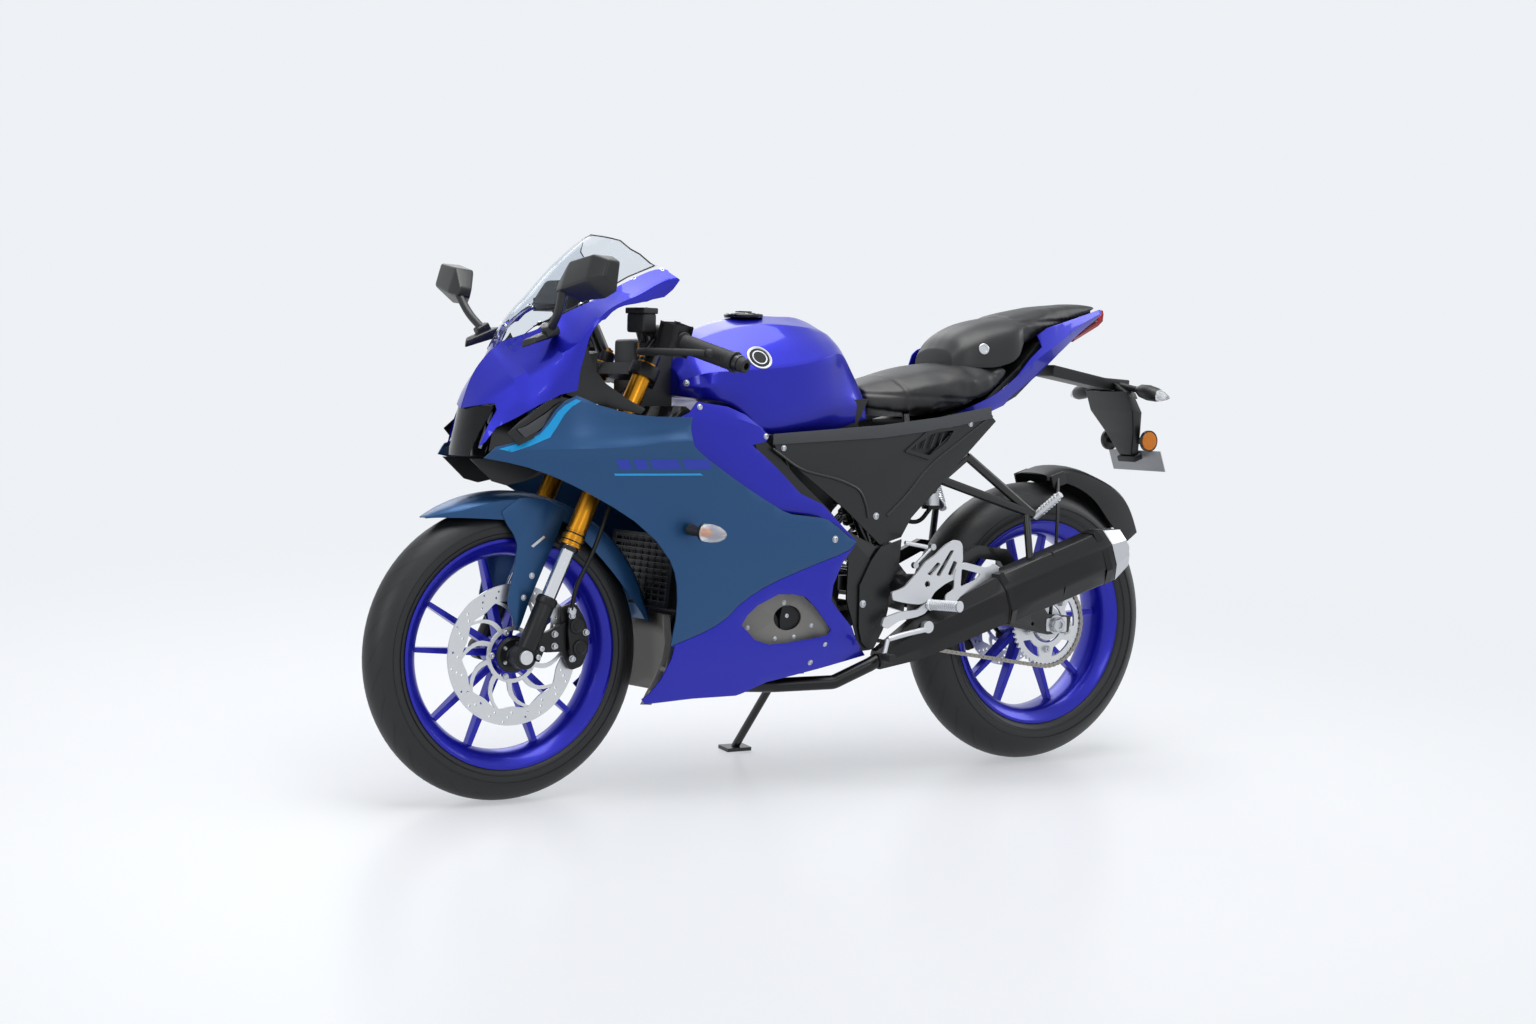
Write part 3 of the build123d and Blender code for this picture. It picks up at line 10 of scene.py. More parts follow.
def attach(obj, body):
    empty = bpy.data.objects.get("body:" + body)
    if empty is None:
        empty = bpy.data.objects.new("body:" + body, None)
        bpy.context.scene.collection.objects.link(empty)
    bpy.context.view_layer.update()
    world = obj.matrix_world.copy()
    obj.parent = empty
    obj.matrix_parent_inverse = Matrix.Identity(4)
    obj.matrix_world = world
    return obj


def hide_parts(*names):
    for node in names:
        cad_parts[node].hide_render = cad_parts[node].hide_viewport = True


bl_info = {
    "name": "Sport Motorcycle",
    "version": (1, 0, 0),
    "blender": (4, 5, 0),
    "location": "3D View > Sidebar > Motorcycle",
    "description": "Dresses a packed sport motorcycle with its panels, fittings and surfaces",
    "category": "Object",
}

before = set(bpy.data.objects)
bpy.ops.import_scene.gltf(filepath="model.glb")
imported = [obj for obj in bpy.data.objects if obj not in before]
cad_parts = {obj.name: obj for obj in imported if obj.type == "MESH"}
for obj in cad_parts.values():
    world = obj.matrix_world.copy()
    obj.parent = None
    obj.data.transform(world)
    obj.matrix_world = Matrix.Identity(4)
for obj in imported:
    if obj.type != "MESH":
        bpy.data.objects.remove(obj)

MM = 0.001
LEAN = math.radians(6.0)
# The upright machine's millimetres (X forward, Y left, Z up) become the parked
# machine's metres.
PARKED = (Matrix.Translation((0.0194, 0.1038, 0.000394))
          @ Matrix.Rotation(LEAN, 4, "X") @ Matrix.Scale(MM, 4))
RAKE = math.radians(25.0)
# Outer radii of the tyres.
FRONT_RADIUS, REAR_RADIUS = 296, 314
FRONT_AXLE = Vector((662.5, 0, FRONT_RADIUS))
REAR_AXLE = Vector((-662.5, 0, REAR_RADIUS))
FORK_UP = Vector((-math.sin(RAKE), 0, math.cos(RAKE)))
FORK_AHEAD = Vector((math.cos(RAKE), 0, math.sin(RAKE)))
FORK_Y = 92.0
LEFT = Vector((0, 1, 0))


# ---------------------------------------------------------------- colours and nodes
def linear(code):
    """An sRGB hex colour as a linear RGBA value."""
    parts = [int(code[i:i + 2], 16) / 255 for i in (1, 3, 5)]
    return [c / 12.92 if c <= 0.04045 else ((c + 0.055) / 1.055) ** 2.4 for c in parts] + [1.0]


def add_node(tree, kind, settings=None, links=None):
    """Adds a node, sets its properties or input values, and links its inputs."""
    node = tree.nodes.new(kind)
    for key, value in (settings or {}).items():
        if isinstance(key, str) and hasattr(node, key):
            setattr(node, key, value)
        else:
            node.inputs[key].default_value = value
    for key, source in (links or {}).items():
        tree.links.new(source, node.inputs[key])
    return node


def maths(tree, operation, *values):
    """Result of a maths node; each value is a number or another node's output."""
    numbers = {k: v for k, v in enumerate(values) if isinstance(v, float)}
    links = {k: v for k, v in enumerate(values) if not isinstance(v, float)}
    settings = {"operation": operation, **numbers}
    return add_node(tree, "ShaderNodeMath", settings, links).outputs[0]


def backdrop_seen(tree):
    """1 where the camera, a glossy surface or glass looks on, and 0 for diffuse light."""
    path = add_node(tree, "ShaderNodeLightPath")
    glossy = maths(tree, "MAXIMUM", path.outputs["Is Camera Ray"], path.outputs["Is Glossy Ray"])
    return maths(tree, "MAXIMUM", glossy, path.outputs["Is Transmission Ray"])


def new_material(name):
    """An empty node material with its output node."""
    material = bpy.data.materials.new(name)
    material.use_nodes = True
    tree = material.node_tree
    tree.nodes.clear()
    return material, tree, tree.nodes.new("ShaderNodeOutputMaterial")


def surface(name, colour, roughness, metallic=0.0, grain=None, mottling=None, **extra):
    """Principled material: grain is (size, height), mottling is (size, amount), sizes in mm."""
    material, tree, output = new_material(name)
    place = add_node(tree, "ShaderNodeTexCoord").outputs["Object"]
    values = {"Metallic": metallic, "Roughness": roughness}
    links = {}
    base = linear(colour)
    if mottling:
        size, amount = mottling
        noise = add_node(tree, "ShaderNodeTexNoise", {"Scale": 1 / (size * MM), "Detail": 3.0},
                         {"Vector": place})
        mix = add_node(tree, "ShaderNodeMix", {"data_type": "RGBA"}, {0: noise.outputs["Fac"]})
        mix.inputs[6].default_value = [c * (1 - amount) for c in base[:3]] + [1.0]
        mix.inputs[7].default_value = [min(1.0, c * (1 + amount)) for c in base[:3]] + [1.0]
        links["Base Color"] = mix.outputs[2]
    else:
        values["Base Color"] = base
    if grain:
        size, height = grain
        noise = add_node(tree, "ShaderNodeTexNoise", {"Scale": 1 / (size * MM), "Detail": 2.0},
                         {"Vector": place})
        bump = add_node(tree, "ShaderNodeBump", {"Strength": 1.0, "Distance": height * MM},
                        {"Height": noise.outputs["Fac"]})
        links["Normal"] = bump.outputs["Normal"]
    values.update(extra)
    shader = add_node(tree, "ShaderNodeBsdfPrincipled", values, links)
    tree.links.new(shader.outputs["BSDF"], output.inputs["Surface"])
    return material


def tyre_rubber():
    """Rubber whose slanted grooves follow the tread's own UV map; the grooves are painted darker
    as painted shade.
    """
    material, tree, output = new_material("moulded_tyre_rubber")
    uv = add_node(tree, "ShaderNodeUVMap", {"uv_map": "tread"}).outputs["UV"]
    split = add_node(tree, "ShaderNodeSeparateXYZ", {}, {0: uv})
    # u counts the groove pitches around the tyre, v runs from -1 to 1 across it.
    u, v = split.outputs[0], split.outputs[1]
    side = maths(tree, "ABSOLUTE", v)
    lag = maths(tree, "MULTIPLY", maths(tree, "POWER", side, 1.6), 1.5)
    # The right half's grooves start half a pitch after the left half's.
    step = maths(tree, "MULTIPLY", maths(tree, "GREATER_THAN", v, 0.0), 0.5)
    cycle = maths(tree, "FRACT", maths(tree, "ADD", maths(tree, "SUBTRACT", u, lag), step))
    groove = maths(tree, "LESS_THAN", cycle, 0.2)
    inner = maths(tree, "GREATER_THAN", side, 0.1)
    outer = maths(tree, "LESS_THAN", side, 0.86)
    cut = maths(tree, "MULTIPLY", groove, maths(tree, "MULTIPLY", inner, outer))
    # The grooves get a darker colour as painted shade in the recesses, besides their bump.
    mix = add_node(tree, "ShaderNodeMix", {"data_type": "RGBA"}, {0: cut})
    mix.inputs[6].default_value = linear("#101113")
    mix.inputs[7].default_value = linear("#030304")
    bump = add_node(tree, "ShaderNodeBump", {"Strength": 1.0, "Distance": 3.0 * MM},
                    {"Height": maths(tree, "SUBTRACT", 1.0, cut)})
    shader = add_node(tree, "ShaderNodeBsdfPrincipled", {"Roughness": 0.48},
                      {"Base Color": mix.outputs[2], "Normal": bump.outputs["Normal"]})
    tree.links.new(shader.outputs["BSDF"], output.inputs["Surface"])
    return material


MATERIALS = {}


def make_materials(look):
    """Every surface of the machine and its floor, from the colours that a user may change."""
    m = MATERIALS
    royal, satin = look.royal_blue, look.satin_blue

    def shade_of(value):
        return "#" + "".join(f"{round(c * 255):02x}" for c in value)

    # Metallic base coat under clear lacquer: deep colour, sharp highlights, fine flake.
    m["blue"] = surface("metallic_base_coat_lacquered", shade_of(royal), 0.36, 0.62,
                        mottling=(0.8, 0.16), **{"Coat Weight": 0.45, "Coat Roughness": 0.06})
    # Powder coat on cast aluminium: a touch softer than the lacquer.
    m["wheel"] = surface("aluminium_cast_powder_coated", shade_of(royal), 0.34, 0.55,
                         mottling=(0.8, 0.12), **{"Coat Weight": 0.35, "Coat Roughness": 0.12})
    # Satin paint on moulded ABS: broad dull highlights.
    m["steel_blue"] = surface("abs_moulded_satin_painted", shade_of(satin), 0.4, 0.6,
                              mottling=(0.8, 0.1), **{"Coat Weight": 0.3, "Coat Roughness": 0.3})
    # Unpainted moulded plastics with a fine spark-eroded grain.
    m["black"] = surface("abs_moulded_black", "#0e0f10", 0.42, grain=(1.2, 0.03))
    m["gloss_black"] = surface("abs_moulded_gloss_black", "#070708", 0.16)
    m["grey"] = surface("polypropylene_moulded_grey", "#86847f", 0.5, grain=(1.2, 0.03))
    m["strip"] = surface("abs_moulded_satin_grey", "#3d3f43", 0.36, grain=(1.2, 0.02))
    # Painted and cast metal.
    m["frame"] = surface("steel_tube_black_painted", "#0b0b0c", 0.3, grain=(2.5, 0.04),
                         **{"Coat Weight": 0.3})
    m["cast"] = surface("aluminium_cast_black_painted", "#101112", 0.4, 0.3, grain=(1.6, 0.08))
    m["engine"] = surface("aluminium_cast_dark_painted", "#1b1c1e", 0.44, 0.4, grain=(1.6, 0.1))
    m["gold"] = surface("aluminium_anodised_gold", "#c98a26", 0.28, 1.0)
    m["chrome"] = surface("steel_tube_hard_chromed", "#dadcdf", 0.08, 1.0)
    m["steel"] = surface("stainless_steel_ground", "#d6d8da", 0.34, 0.85)
    m["zinc"] = surface("steel_bolt_zinc_plated", "#c4c6ca", 0.3, 1.0, grain=(0.8, 0.01))
    m["alloy"] = surface("aluminium_bead_blasted", "#d4d6d9", 0.38, 0.8, grain=(0.7, 0.02))
    m["muffler"] = surface("steel_pressed_heat_painted", "#0d0d0e", 0.3, 0.3, grain=(0.9, 0.01))
    m["brushed"] = surface("stainless_steel_brushed", "#c4c6c9", 0.28, 1.0)
    m["radiator"] = surface("aluminium_fin_black_painted", "#0f1011", 0.5, 0.2, grain=(1.0, 0.05))
    # Rubber and vinyl.
    m["tyre"] = tyre_rubber()
    m["grip"] = surface("rubber_moulded_grip", "#0c0c0d", 0.62, grain=(1.5, 0.08))
    m["seat"] = surface("vinyl_embossed_grain", "#0f0f10", 0.44, grain=(1.4, 0.1))
    m["chain"] = surface("steel_chain_oiled", "#9a968f", 0.34, 0.9, grain=(0.9, 0.02))
    m["plate"] = surface("aluminium_plate_plain_painted", "#a9abae", 0.4, 0.3,
                         mottling=(30, 0.06))
    # Lamps and glass.
    m["mirror"] = surface("glass_silvered", "#e4e8ec", 0.03, 1.0)
    m["screen"] = surface("polycarbonate_moulded_clear", "#e6ebf0", 0.03,
                          **{"Transmission Weight": 1.0, "IOR": 1.06})
    m["lens"] = surface("polycarbonate_lens_clear", "#eef0f2", 0.12,
                        **{"Transmission Weight": 0.7, "IOR": 1.2})
    m["smoked"] = surface("polycarbonate_lens_smoked", "#30343a", 0.05,
                          **{"Transmission Weight": 0.85, "IOR": 1.3})
    m["amber"] = surface("acrylic_lens_amber", "#f08a10", 0.16,
                         **{"Transmission Weight": 0.2, "IOR": 1.45})
    m["red_lens"] = surface("acrylic_lens_red", "#a80f12", 0.12,
                            **{"Transmission Weight": 0.15, "IOR": 1.45})
    m["red"] = surface("nylon_switch_red", "#c01d1d", 0.4, grain=(0.8, 0.02))
    m["led"] = surface("lamp_bar_frosted", "#9aa0a8", 0.3)
    # Stripes cut from plain coloured film.
    m["cyan"] = surface("vinyl_film_cyan", "#10a6ea", 0.3, mottling=(2.0, 0.04))
    m["blue_film"] = surface("vinyl_film_blue", "#1b36b4", 0.3, mottling=(2.0, 0.04))
    m["floor"] = floor_surface()


NODE_SURFACE = {
    "blue": "belly_fairings inner_panels nose_cowl fuel_tank tail_panels",
    "wheel": "front_wheel rear_wheel",
    "steel_blue": "side_fairings front_mudguard",
    "black": "inner_cowl mirrors pillion_cover under_tail side_covers hugger plate_holder",
    "grey": "fairing_liners", "strip": "cover_strips", "plate": "number_plate",
    "frame": "frame subframe swingarm side_stand handlebars shock",
    "cast": "fork_castings controls front_caliper rear_caliper",
    "muffler": "muffler exhaust_pipe", "brushed": "muffler_end",
    "gold": "fork_outers", "chrome": "fork_stanchions",
    "steel": "front_disc rear_disc rear_sprocket front_axle rear_axle",
    "chain": "chain", "alloy": "rearsets fuel_cap", "tyre": "front_tyre rear_tyre",
    "seat": "rider_seat pillion_seat", "screen": "windscreen", "lens": "headlamp",
    "engine": "engine", "radiator": "radiator", "red_lens": "tail_lamp", "amber": "signal_lamps",
}
# Edge rounding in millimetres for the CAD pieces that stay in sight.
NODE_BEVEL = {
    "front_wheel": 2.0, "rear_wheel": 2.0, "fork_castings": 2.0, "swingarm": 2.5, "frame": 1.5,
    "side_covers": 1.2, "cover_strips": 0.8, "muffler": 3.0, "muffler_end": 2.5,
    "pillion_cover": 5.0, "under_tail": 3.0, "plate_holder": 2.0, "hugger": 0.8,
    "front_caliper": 2.0, "rear_caliper": 2.0, "fairing_liners": 0.8, "inner_cowl": 0.8,
    "tail_lamp": 1.0, "engine": 3.0, "controls": 2.0, "front_mudguard": 1.0,
}


# ---------------------------------------------------------------- shared geometry
def smooth_group():
    """Geometry nodes that weld a mesh and shade it smooth up to an angle."""
    tree = bpy.data.node_groups.new("smooth_by_angle", "GeometryNodeTree")
    face = tree.interface
    face.new_socket(name="Geometry", in_out="INPUT", socket_type="NodeSocketGeometry")
    angle = face.new_socket(name="Crease angle", in_out="INPUT", socket_type="NodeSocketFloat")
    angle.default_value = math.radians(32)
    face.new_socket(name="Geometry", in_out="OUTPUT", socket_type="NodeSocketGeometry")
    start = add_node(tree, "NodeGroupInput")
    end = add_node(tree, "NodeGroupOutput")
    weld = add_node(tree, "GeometryNodeMergeByDistance", {"Distance": 0.00002},
                    {"Geometry": start.outputs["Geometry"]})
    soft = add_node(tree, "GeometryNodeSetShadeSmooth", {"domain": "FACE"},
                    {"Geometry": weld.outputs["Geometry"]})
    edge = add_node(tree, "GeometryNodeInputMeshEdgeAngle")
    wide = add_node(tree, "FunctionNodeCompare",
                    {"data_type": "FLOAT", "operation": "GREATER_THAN"},
                    {0: edge.outputs["Unsigned Angle"], 1: start.outputs["Crease angle"]})
    hard = add_node(tree, "GeometryNodeSetShadeSmooth", {"domain": "EDGE", "Shade Smooth": False},
                    {"Geometry": soft.outputs["Geometry"], "Selection": wide.outputs["Result"]})
    tree.links.new(hard.outputs["Geometry"], end.inputs["Geometry"])
    return tree


def socket_name(group, name):
    """The identifier of a node group's input."""
    return next(item.identifier for item in group.interface.items_tree
                if item.item_type == "SOCKET" and item.in_out == "INPUT" and item.name == name)


def shade(piece, degrees=32.0, bevel=0.0):
    """Softens the edges by bevel millimetres and shades smooth up to an angle."""
    if bevel:
        weld = piece.modifiers.new("weld", "WELD")
        weld.merge_threshold = 0.00002
        round_edges = piece.modifiers.new("bevel", "BEVEL")
        round_edges.width = bevel * MM
        round_edges.segments = 2
        round_edges.limit_method = "ANGLE"
        round_edges.angle_limit = math.radians(max(degrees, 30))
    group = bpy.data.node_groups.get("smooth_by_angle") or smooth_group()
    modifier = piece.modifiers.new("smooth", "NODES")
    modifier.node_group = group
    modifier[socket_name(group, "Crease angle")] = math.radians(degrees)


def hold(name, mesh):
    """A linked object made from a bmesh, which is used up."""
    data = bpy.data.meshes.new(name)
    mesh.to_mesh(data)
    mesh.free()
    item = bpy.data.objects.new(name, data)
    bpy.context.scene.collection.objects.link(item)
    return item


def evaluated_mesh(item):
    """A new mesh with an object's modifiers applied."""
    graph = bpy.context.evaluated_depsgraph_get()
    return bpy.data.meshes.new_from_object(item.evaluated_get(graph))


def new_piece(name, mesh, material, body, degrees=32.0, bevel=0.0, stands_for=()):
    """A finished piece from a bmesh in upright millimetres."""
    bmesh.ops.recalc_face_normals(mesh, faces=mesh.faces)
    mesh.transform(PARKED)
    piece = hold(name, mesh)
    for item in (material if isinstance(material, (list, tuple)) else [material]):
        piece.data.materials.append(MATERIALS[item])
    shade(piece, degrees, bevel)
    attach(piece, body)
    if stands_for:
        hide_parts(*stands_for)
    return piece


def mark(mesh, before, material):
    """Gives the faces added since a count their material slot."""
    mesh.faces.ensure_lookup_table()
    for face in mesh.faces[before:]:
        face.material_index = material


def merge(mesh, part, material):
    """Adds another bmesh, which is used up, with one material slot."""
    bmesh.ops.recalc_face_normals(part, faces=part.faces)
    for face in part.faces:
        face.material_index = material
    data = bpy.data.meshes.new("part")
    part.to_mesh(data)
    part.free()
    mesh.from_mesh(data)
    bpy.data.meshes.remove(data)


def frames_along(points, closed=False):
    """A pair of cross directions at each point, turned as little as possible."""
    count = len(points)
    result = []
    side = None
    for i in range(count):
        before = points[i - 1] if (i or closed) else points[0]
        after = points[(i + 1) % count] if (i < count - 1 or closed) else points[-1]
        ahead = (after - before).normalized()
        if side is None:
            side = ahead.orthogonal().normalized()
        side = (side - ahead * side.dot(ahead)).normalized()
        result.append((side, ahead.cross(side)))
    return result


def tube(mesh, points, radius, sides=14, material=0, closed=False):
    """Adds a round tube along points; radius may be one per point."""
    before = len(mesh.faces)
    points = [Vector(p) for p in points]
    radii = radius if isinstance(radius, (list, tuple)) else [radius] * len(points)
    rings = []
    for point, size, (u, v) in zip(points, radii, frames_along(points, closed)):
        rings.append([mesh.verts.new(point + (u * math.cos(a) + v * math.sin(a)) * size)
                      for a in (math.tau * k / sides for k in range(sides))])
    pairs = list(zip(rings, rings[1:])) + ([(rings[-1], rings[0])] if closed else [])
    for one, two in pairs:
        for k in range(sides):
            j = (k + 1) % sides
            mesh.faces.new((one[k], one[j], two[j], two[k]))
    if not closed:
        mesh.faces.new(rings[0][::-1])
        mesh.faces.new(rings[-1])
    mark(mesh, before, material)


def round_corner(a, b, c, cut, steps):
    """Points on a bend that cuts the corner b between a and c."""
    p, q = b + (a - b).normalized() * cut, b + (c - b).normalized() * cut
    shares = [k / steps for k in range(steps + 1)]
    return [p * (1 - t) ** 2 + b * 2 * t * (1 - t) + q * t ** 2 for t in shares]


def arc_points(corners, bend, steps=6):
    """A line through corners whose bends are rounded."""
    corners = [Vector(c) for c in corners]
    result = [corners[0]]
    for a, b, c in zip(corners, corners[1:], corners[2:]):
        cut = min(bend, (b - a).length * 0.48, (c - b).length * 0.48)
        result += round_corner(a, b, c, cut, steps)
    result.append(corners[-1])
    return result


def lathe(mesh, centre, axis, profile, sides=32, material=0, closed=False):
    """Adds a turned shape; the profile is (distance along the axis, radius)."""
    before = len(mesh.faces)
    centre, axis = Vector(centre), Vector(axis).normalized()
    u = axis.orthogonal().normalized()
    v = axis.cross(u)
    rings = []
    for along, radius in profile:
        if radius < 0.001:
            rings.append([mesh.verts.new(centre + axis * along)])
        else:
            rings.append([mesh.verts.new(centre + axis * along
                                         + (u * math.cos(a) + v * math.sin(a)) * radius)
                          for a in (math.tau * k / sides for k in range(sides))])
    pairs = list(zip(rings, rings[1:])) + ([(rings[-1], rings[0])] if closed else [])
    for one, two in pairs:
        for k in range(sides):
            j = (k + 1) % sides
            if len(one) == 1 and len(two) == 1:
                continue
            if len(one) == 1:
                mesh.faces.new((one[0], two[j], two[k]))
            elif len(two) == 1:
                mesh.faces.new((one[k], one[j], two[0]))
            else:
                mesh.faces.new((one[k], one[j], two[j], two[k]))
    mark(mesh, before, material)


def bridge(mesh, one, two, material=0):
    """Adds the closed body between two rings with as many points each."""
    before = len(mesh.faces)
    one = [mesh.verts.new(p) for p in one]
    two = [mesh.verts.new(p) for p in two]
    mesh.faces.new(one)
    mesh.faces.new(two[::-1])
    for k in range(len(one)):
        j = (k + 1) % len(one)
        mesh.faces.new((one[k], two[k], two[j], one[j]))
    mark(mesh, before, material)


def drum(radius, height):
    """Profile of a plain solid cylinder."""
    return [(0, 0.0), (0, radius), (height, radius), (height, 0.0)]


def slab(mesh, outline, near, far, material=0):
    """Adds a prism with an (x, z) outline between two distances from the middle."""
    bridge(mesh, [(x, near, z) for x, z in outline], [(x, far, z) for x, z in outline], material)


def box(mesh, centre, size, turn=None, material=0):
    """Adds a box; turn is a 3x3 matrix."""
    before = len(mesh.faces)
    made = bmesh.ops.create_cube(mesh, size=1.0)["verts"]
    turn = turn or Matrix.Identity(3)
    for vertex in made:
        vertex.co = Vector(centre) + turn @ Vector([c * s for c, s in zip(vertex.co, size)])
    mark(mesh, before, material)


def rounded_box(mesh, centre, size, turn, radius, material=0):
    """Adds a box with rounded edges; turn is a 3x3 matrix."""
    part = bmesh.new()
    box(part, centre, size, turn)
    bmesh.ops.bevel(part, geom=part.edges[:], offset=radius, segments=3, affect="EDGES",
                    profile=0.6)
    merge(mesh, part, material)


def rounded_loft(mesh, rings, radius, material=0):
    """Adds a body through closed rings of points, with its edges rounded."""
    part = bmesh.new()
    made = [[part.verts.new(p) for p in ring] for ring in rings]
    count = len(made[0])
    for one, two in zip(made, made[1:]):
        for k in range(count):
            part.faces.new((one[k], one[(k + 1) % count], two[(k + 1) % count], two[k]))
    part.faces.new(made[0])
    part.faces.new(made[-1][::-1])
    bmesh.ops.recalc_face_normals(part, faces=part.faces)
    if radius:
        bmesh.ops.bevel(part, geom=part.edges[:], offset=radius, segments=3, affect="EDGES",
                        profile=0.6)
    merge(mesh, part, material)


def eased(stations, steps):
    """Smooth steps between stations of plain numbers; the first number is the place."""
    columns = list(zip(*stations))
    places = [float(p) for p in columns[0]]
    rows = []
    for i in range(len(stations) - 1):
        for k in range(steps):
            at = places[i] + (places[i + 1] - places[i]) * k / steps
            rows.append([hermite([float(v) for v in column], places, at, i)
                         for column in columns])
    rows.append(list(stations[-1]))
    return rows


def close_grids(mesh, out, back, material=0):
    """Adds the faces of a wall between two like grids of vertices."""
    before = len(mesh.faces)
    high, wide = len(out), len(out[0])
    for i in range(high - 1):
        for j in range(wide - 1):
            mesh.faces.new((out[i][j], out[i + 1][j], out[i + 1][j + 1], out[i][j + 1]))
            mesh.faces.new((back[i][j + 1], back[i + 1][j + 1], back[i + 1][j], back[i][j]))
    ring = ([(i, 0) for i in range(high)] + [(high - 1, j) for j in range(1, wide)]
            + [(i, wide - 1) for i in range(high - 2, -1, -1)]
            + [(0, j) for j in range(wide - 2, 0, -1)])
    for (i, j), (m, n) in zip(ring, ring[1:] + ring[:1]):
        mesh.faces.new((out[i][j], back[i][j], back[m][n], out[m][n]))
    mark(mesh, before, material)


def wheel_skin(mesh, axle, radius, stations, wall):
    """Adds a wall round a wheel; stations: angle from ahead, height over the tyre, half
    width, side drop."""
    out, back = [], []
    for angle, over, half, drop in eased(stations, 6):
        turn = math.radians(angle)
        way = Vector((math.cos(turn), 0, math.sin(turn)))
        reach = radius + over
        shoulder = min(15.0, 0.5 * drop)
        line = [(0.0, 0.0), (0.32 * half, 0.05 * shoulder), (0.62 * half, 0.22 * shoulder),
                (0.86 * half, 0.52 * shoulder), (half, shoulder), (half, drop)]
        line = [(-y, d) for y, d in line[:0:-1]] + line
        out.append([mesh.verts.new(axle + way * (reach - d) + LEFT * y) for y, d in line])
        share = (half - wall) / half
        back.append([mesh.verts.new(axle + way * (reach - max(d, wall)) + LEFT * y * share)
                     for y, d in line])
    close_grids(mesh, out, back)


def cut_plate(mesh, loops, half, place=None, material=0):
    """Adds a flat plate with holes; loops are (x, z) outlines, half its half thickness."""
    curve = bpy.data.curves.new("plate", "CURVE")
    curve.dimensions = "2D"
    curve.fill_mode = "BOTH"
    curve.extrude = half
    for loop in loops:
        spline = curve.splines.new("POLY")
        spline.points.add(len(loop) - 1)
        for point, (x, z) in zip(spline.points, loop):
            point.co = (x, z, 0, 1)
        spline.use_cyclic_u = True
    holder = bpy.data.objects.new("plate", curve)
    data = bpy.data.meshes.new_from_object(holder)
    bpy.data.objects.remove(holder)
    bpy.data.curves.remove(curve)
    data.transform(Matrix(((1, 0, 0, 0), (0, 0, -1, 0), (0, 1, 0, 0), (0, 0, 0, 1))))
    if place is not None:
        data.transform(place)
    before = len(mesh.faces)
    mesh.from_mesh(data)
    bpy.data.meshes.remove(data)
    mark(mesh, before, material)


def circle(x, z, radius, count=24):
    """A round outline as (x, z) points."""
    return [(x + radius * math.cos(math.tau * k / count),
             z + radius * math.sin(math.tau * k / count)) for k in range(count)]


def rounded(points, radius, steps=4):
    """An outline with its corners rounded."""
    result = []
    count = len(points)
    for i, (x, z) in enumerate(points):
        b = Vector((x, z))
        a, c = Vector(points[i - 1]), Vector(points[(i + 1) % count])
        cut = min(radius, (a - b).length * 0.45, (c - b).length * 0.45)
        result += [tuple(p) for p in round_corner(a, b, c, cut, steps)]
    return result


def mirror_side(mesh):
    """Adds the mirror image of everything across the middle."""
    made = bmesh.ops.duplicate(mesh, geom=mesh.verts[:] + mesh.edges[:] + mesh.faces[:])["geom"]
    for item in made:
        if isinstance(item, bmesh.types.BMVert):
            item.co.y = -item.co.y
    bmesh.ops.reverse_faces(mesh, faces=[f for f in made if isinstance(f, bmesh.types.BMFace)])


def hermite(values, places, at, index):
    """Value on a smooth line through values at places, inside one span."""
    p0, p1 = values[index], values[index + 1]
    x0, x1 = places[index], places[index + 1]
    width = x1 - x0
    slope = (p1 - p0) / width
    before = (p0 - values[index - 1]) / (x0 - places[index - 1]) if index else slope
    after = ((values[index + 2] - p1) / (places[index + 2] - x1)
             if index + 2 < len(values) else slope)
    m0 = (before + slope) / 2 if index else slope
    m1 = (slope + after) / 2 if index + 2 < len(values) else slope
    t = (at - x0) / width
    return (p0 * (2 * t ** 3 - 3 * t ** 2 + 1) + m0 * width * (t ** 3 - 2 * t ** 2 + t)
            + p1 * (3 * t ** 2 - 2 * t ** 3) + m1 * width * (t ** 3 - t ** 2))


def smooth_line(points, sharp, steps):
    """Points on a smooth line that keeps its sharp corners; points are Vectors."""
    breaks = [0] + sorted(i for i in sharp if 0 < i < len(points) - 1) + [len(points) - 1]
    result = []
    for start, end in zip(breaks, breaks[1:]):
        run = points[start:end + 1]
        places = [0.0]
        for a, b in zip(run, run[1:]):
            places.append(places[-1] + max((b - a).length, 0.001) ** 0.5)
        for i in range(len(run) - 1):
            for k in range(steps):
                at = places[i] + (places[i + 1] - places[i]) * k / steps
                result.append(hermite(run, places, at, i))
    result.append(points[-1])
    return result


def surface_grid(stations, sharp, steps_x, steps_u):
    """Rows of points on a smooth surface through the stations' outlines."""
    xs = [float(x) for x, _ in stations]
    lines = [[Vector((x, y, z)) for y, z in outline] for x, outline in stations]
    columns = list(zip(*lines))
    dense = []
    for i in range(len(xs) - 1):
        for k in range(steps_x):
            at = xs[i] + (xs[i + 1] - xs[i]) * k / steps_x
            dense.append([hermite(list(column), xs, at, i) for column in columns])
    dense.append([column[-1] for column in columns])
    return [smooth_line(row, sharp, steps_u) for row in dense]


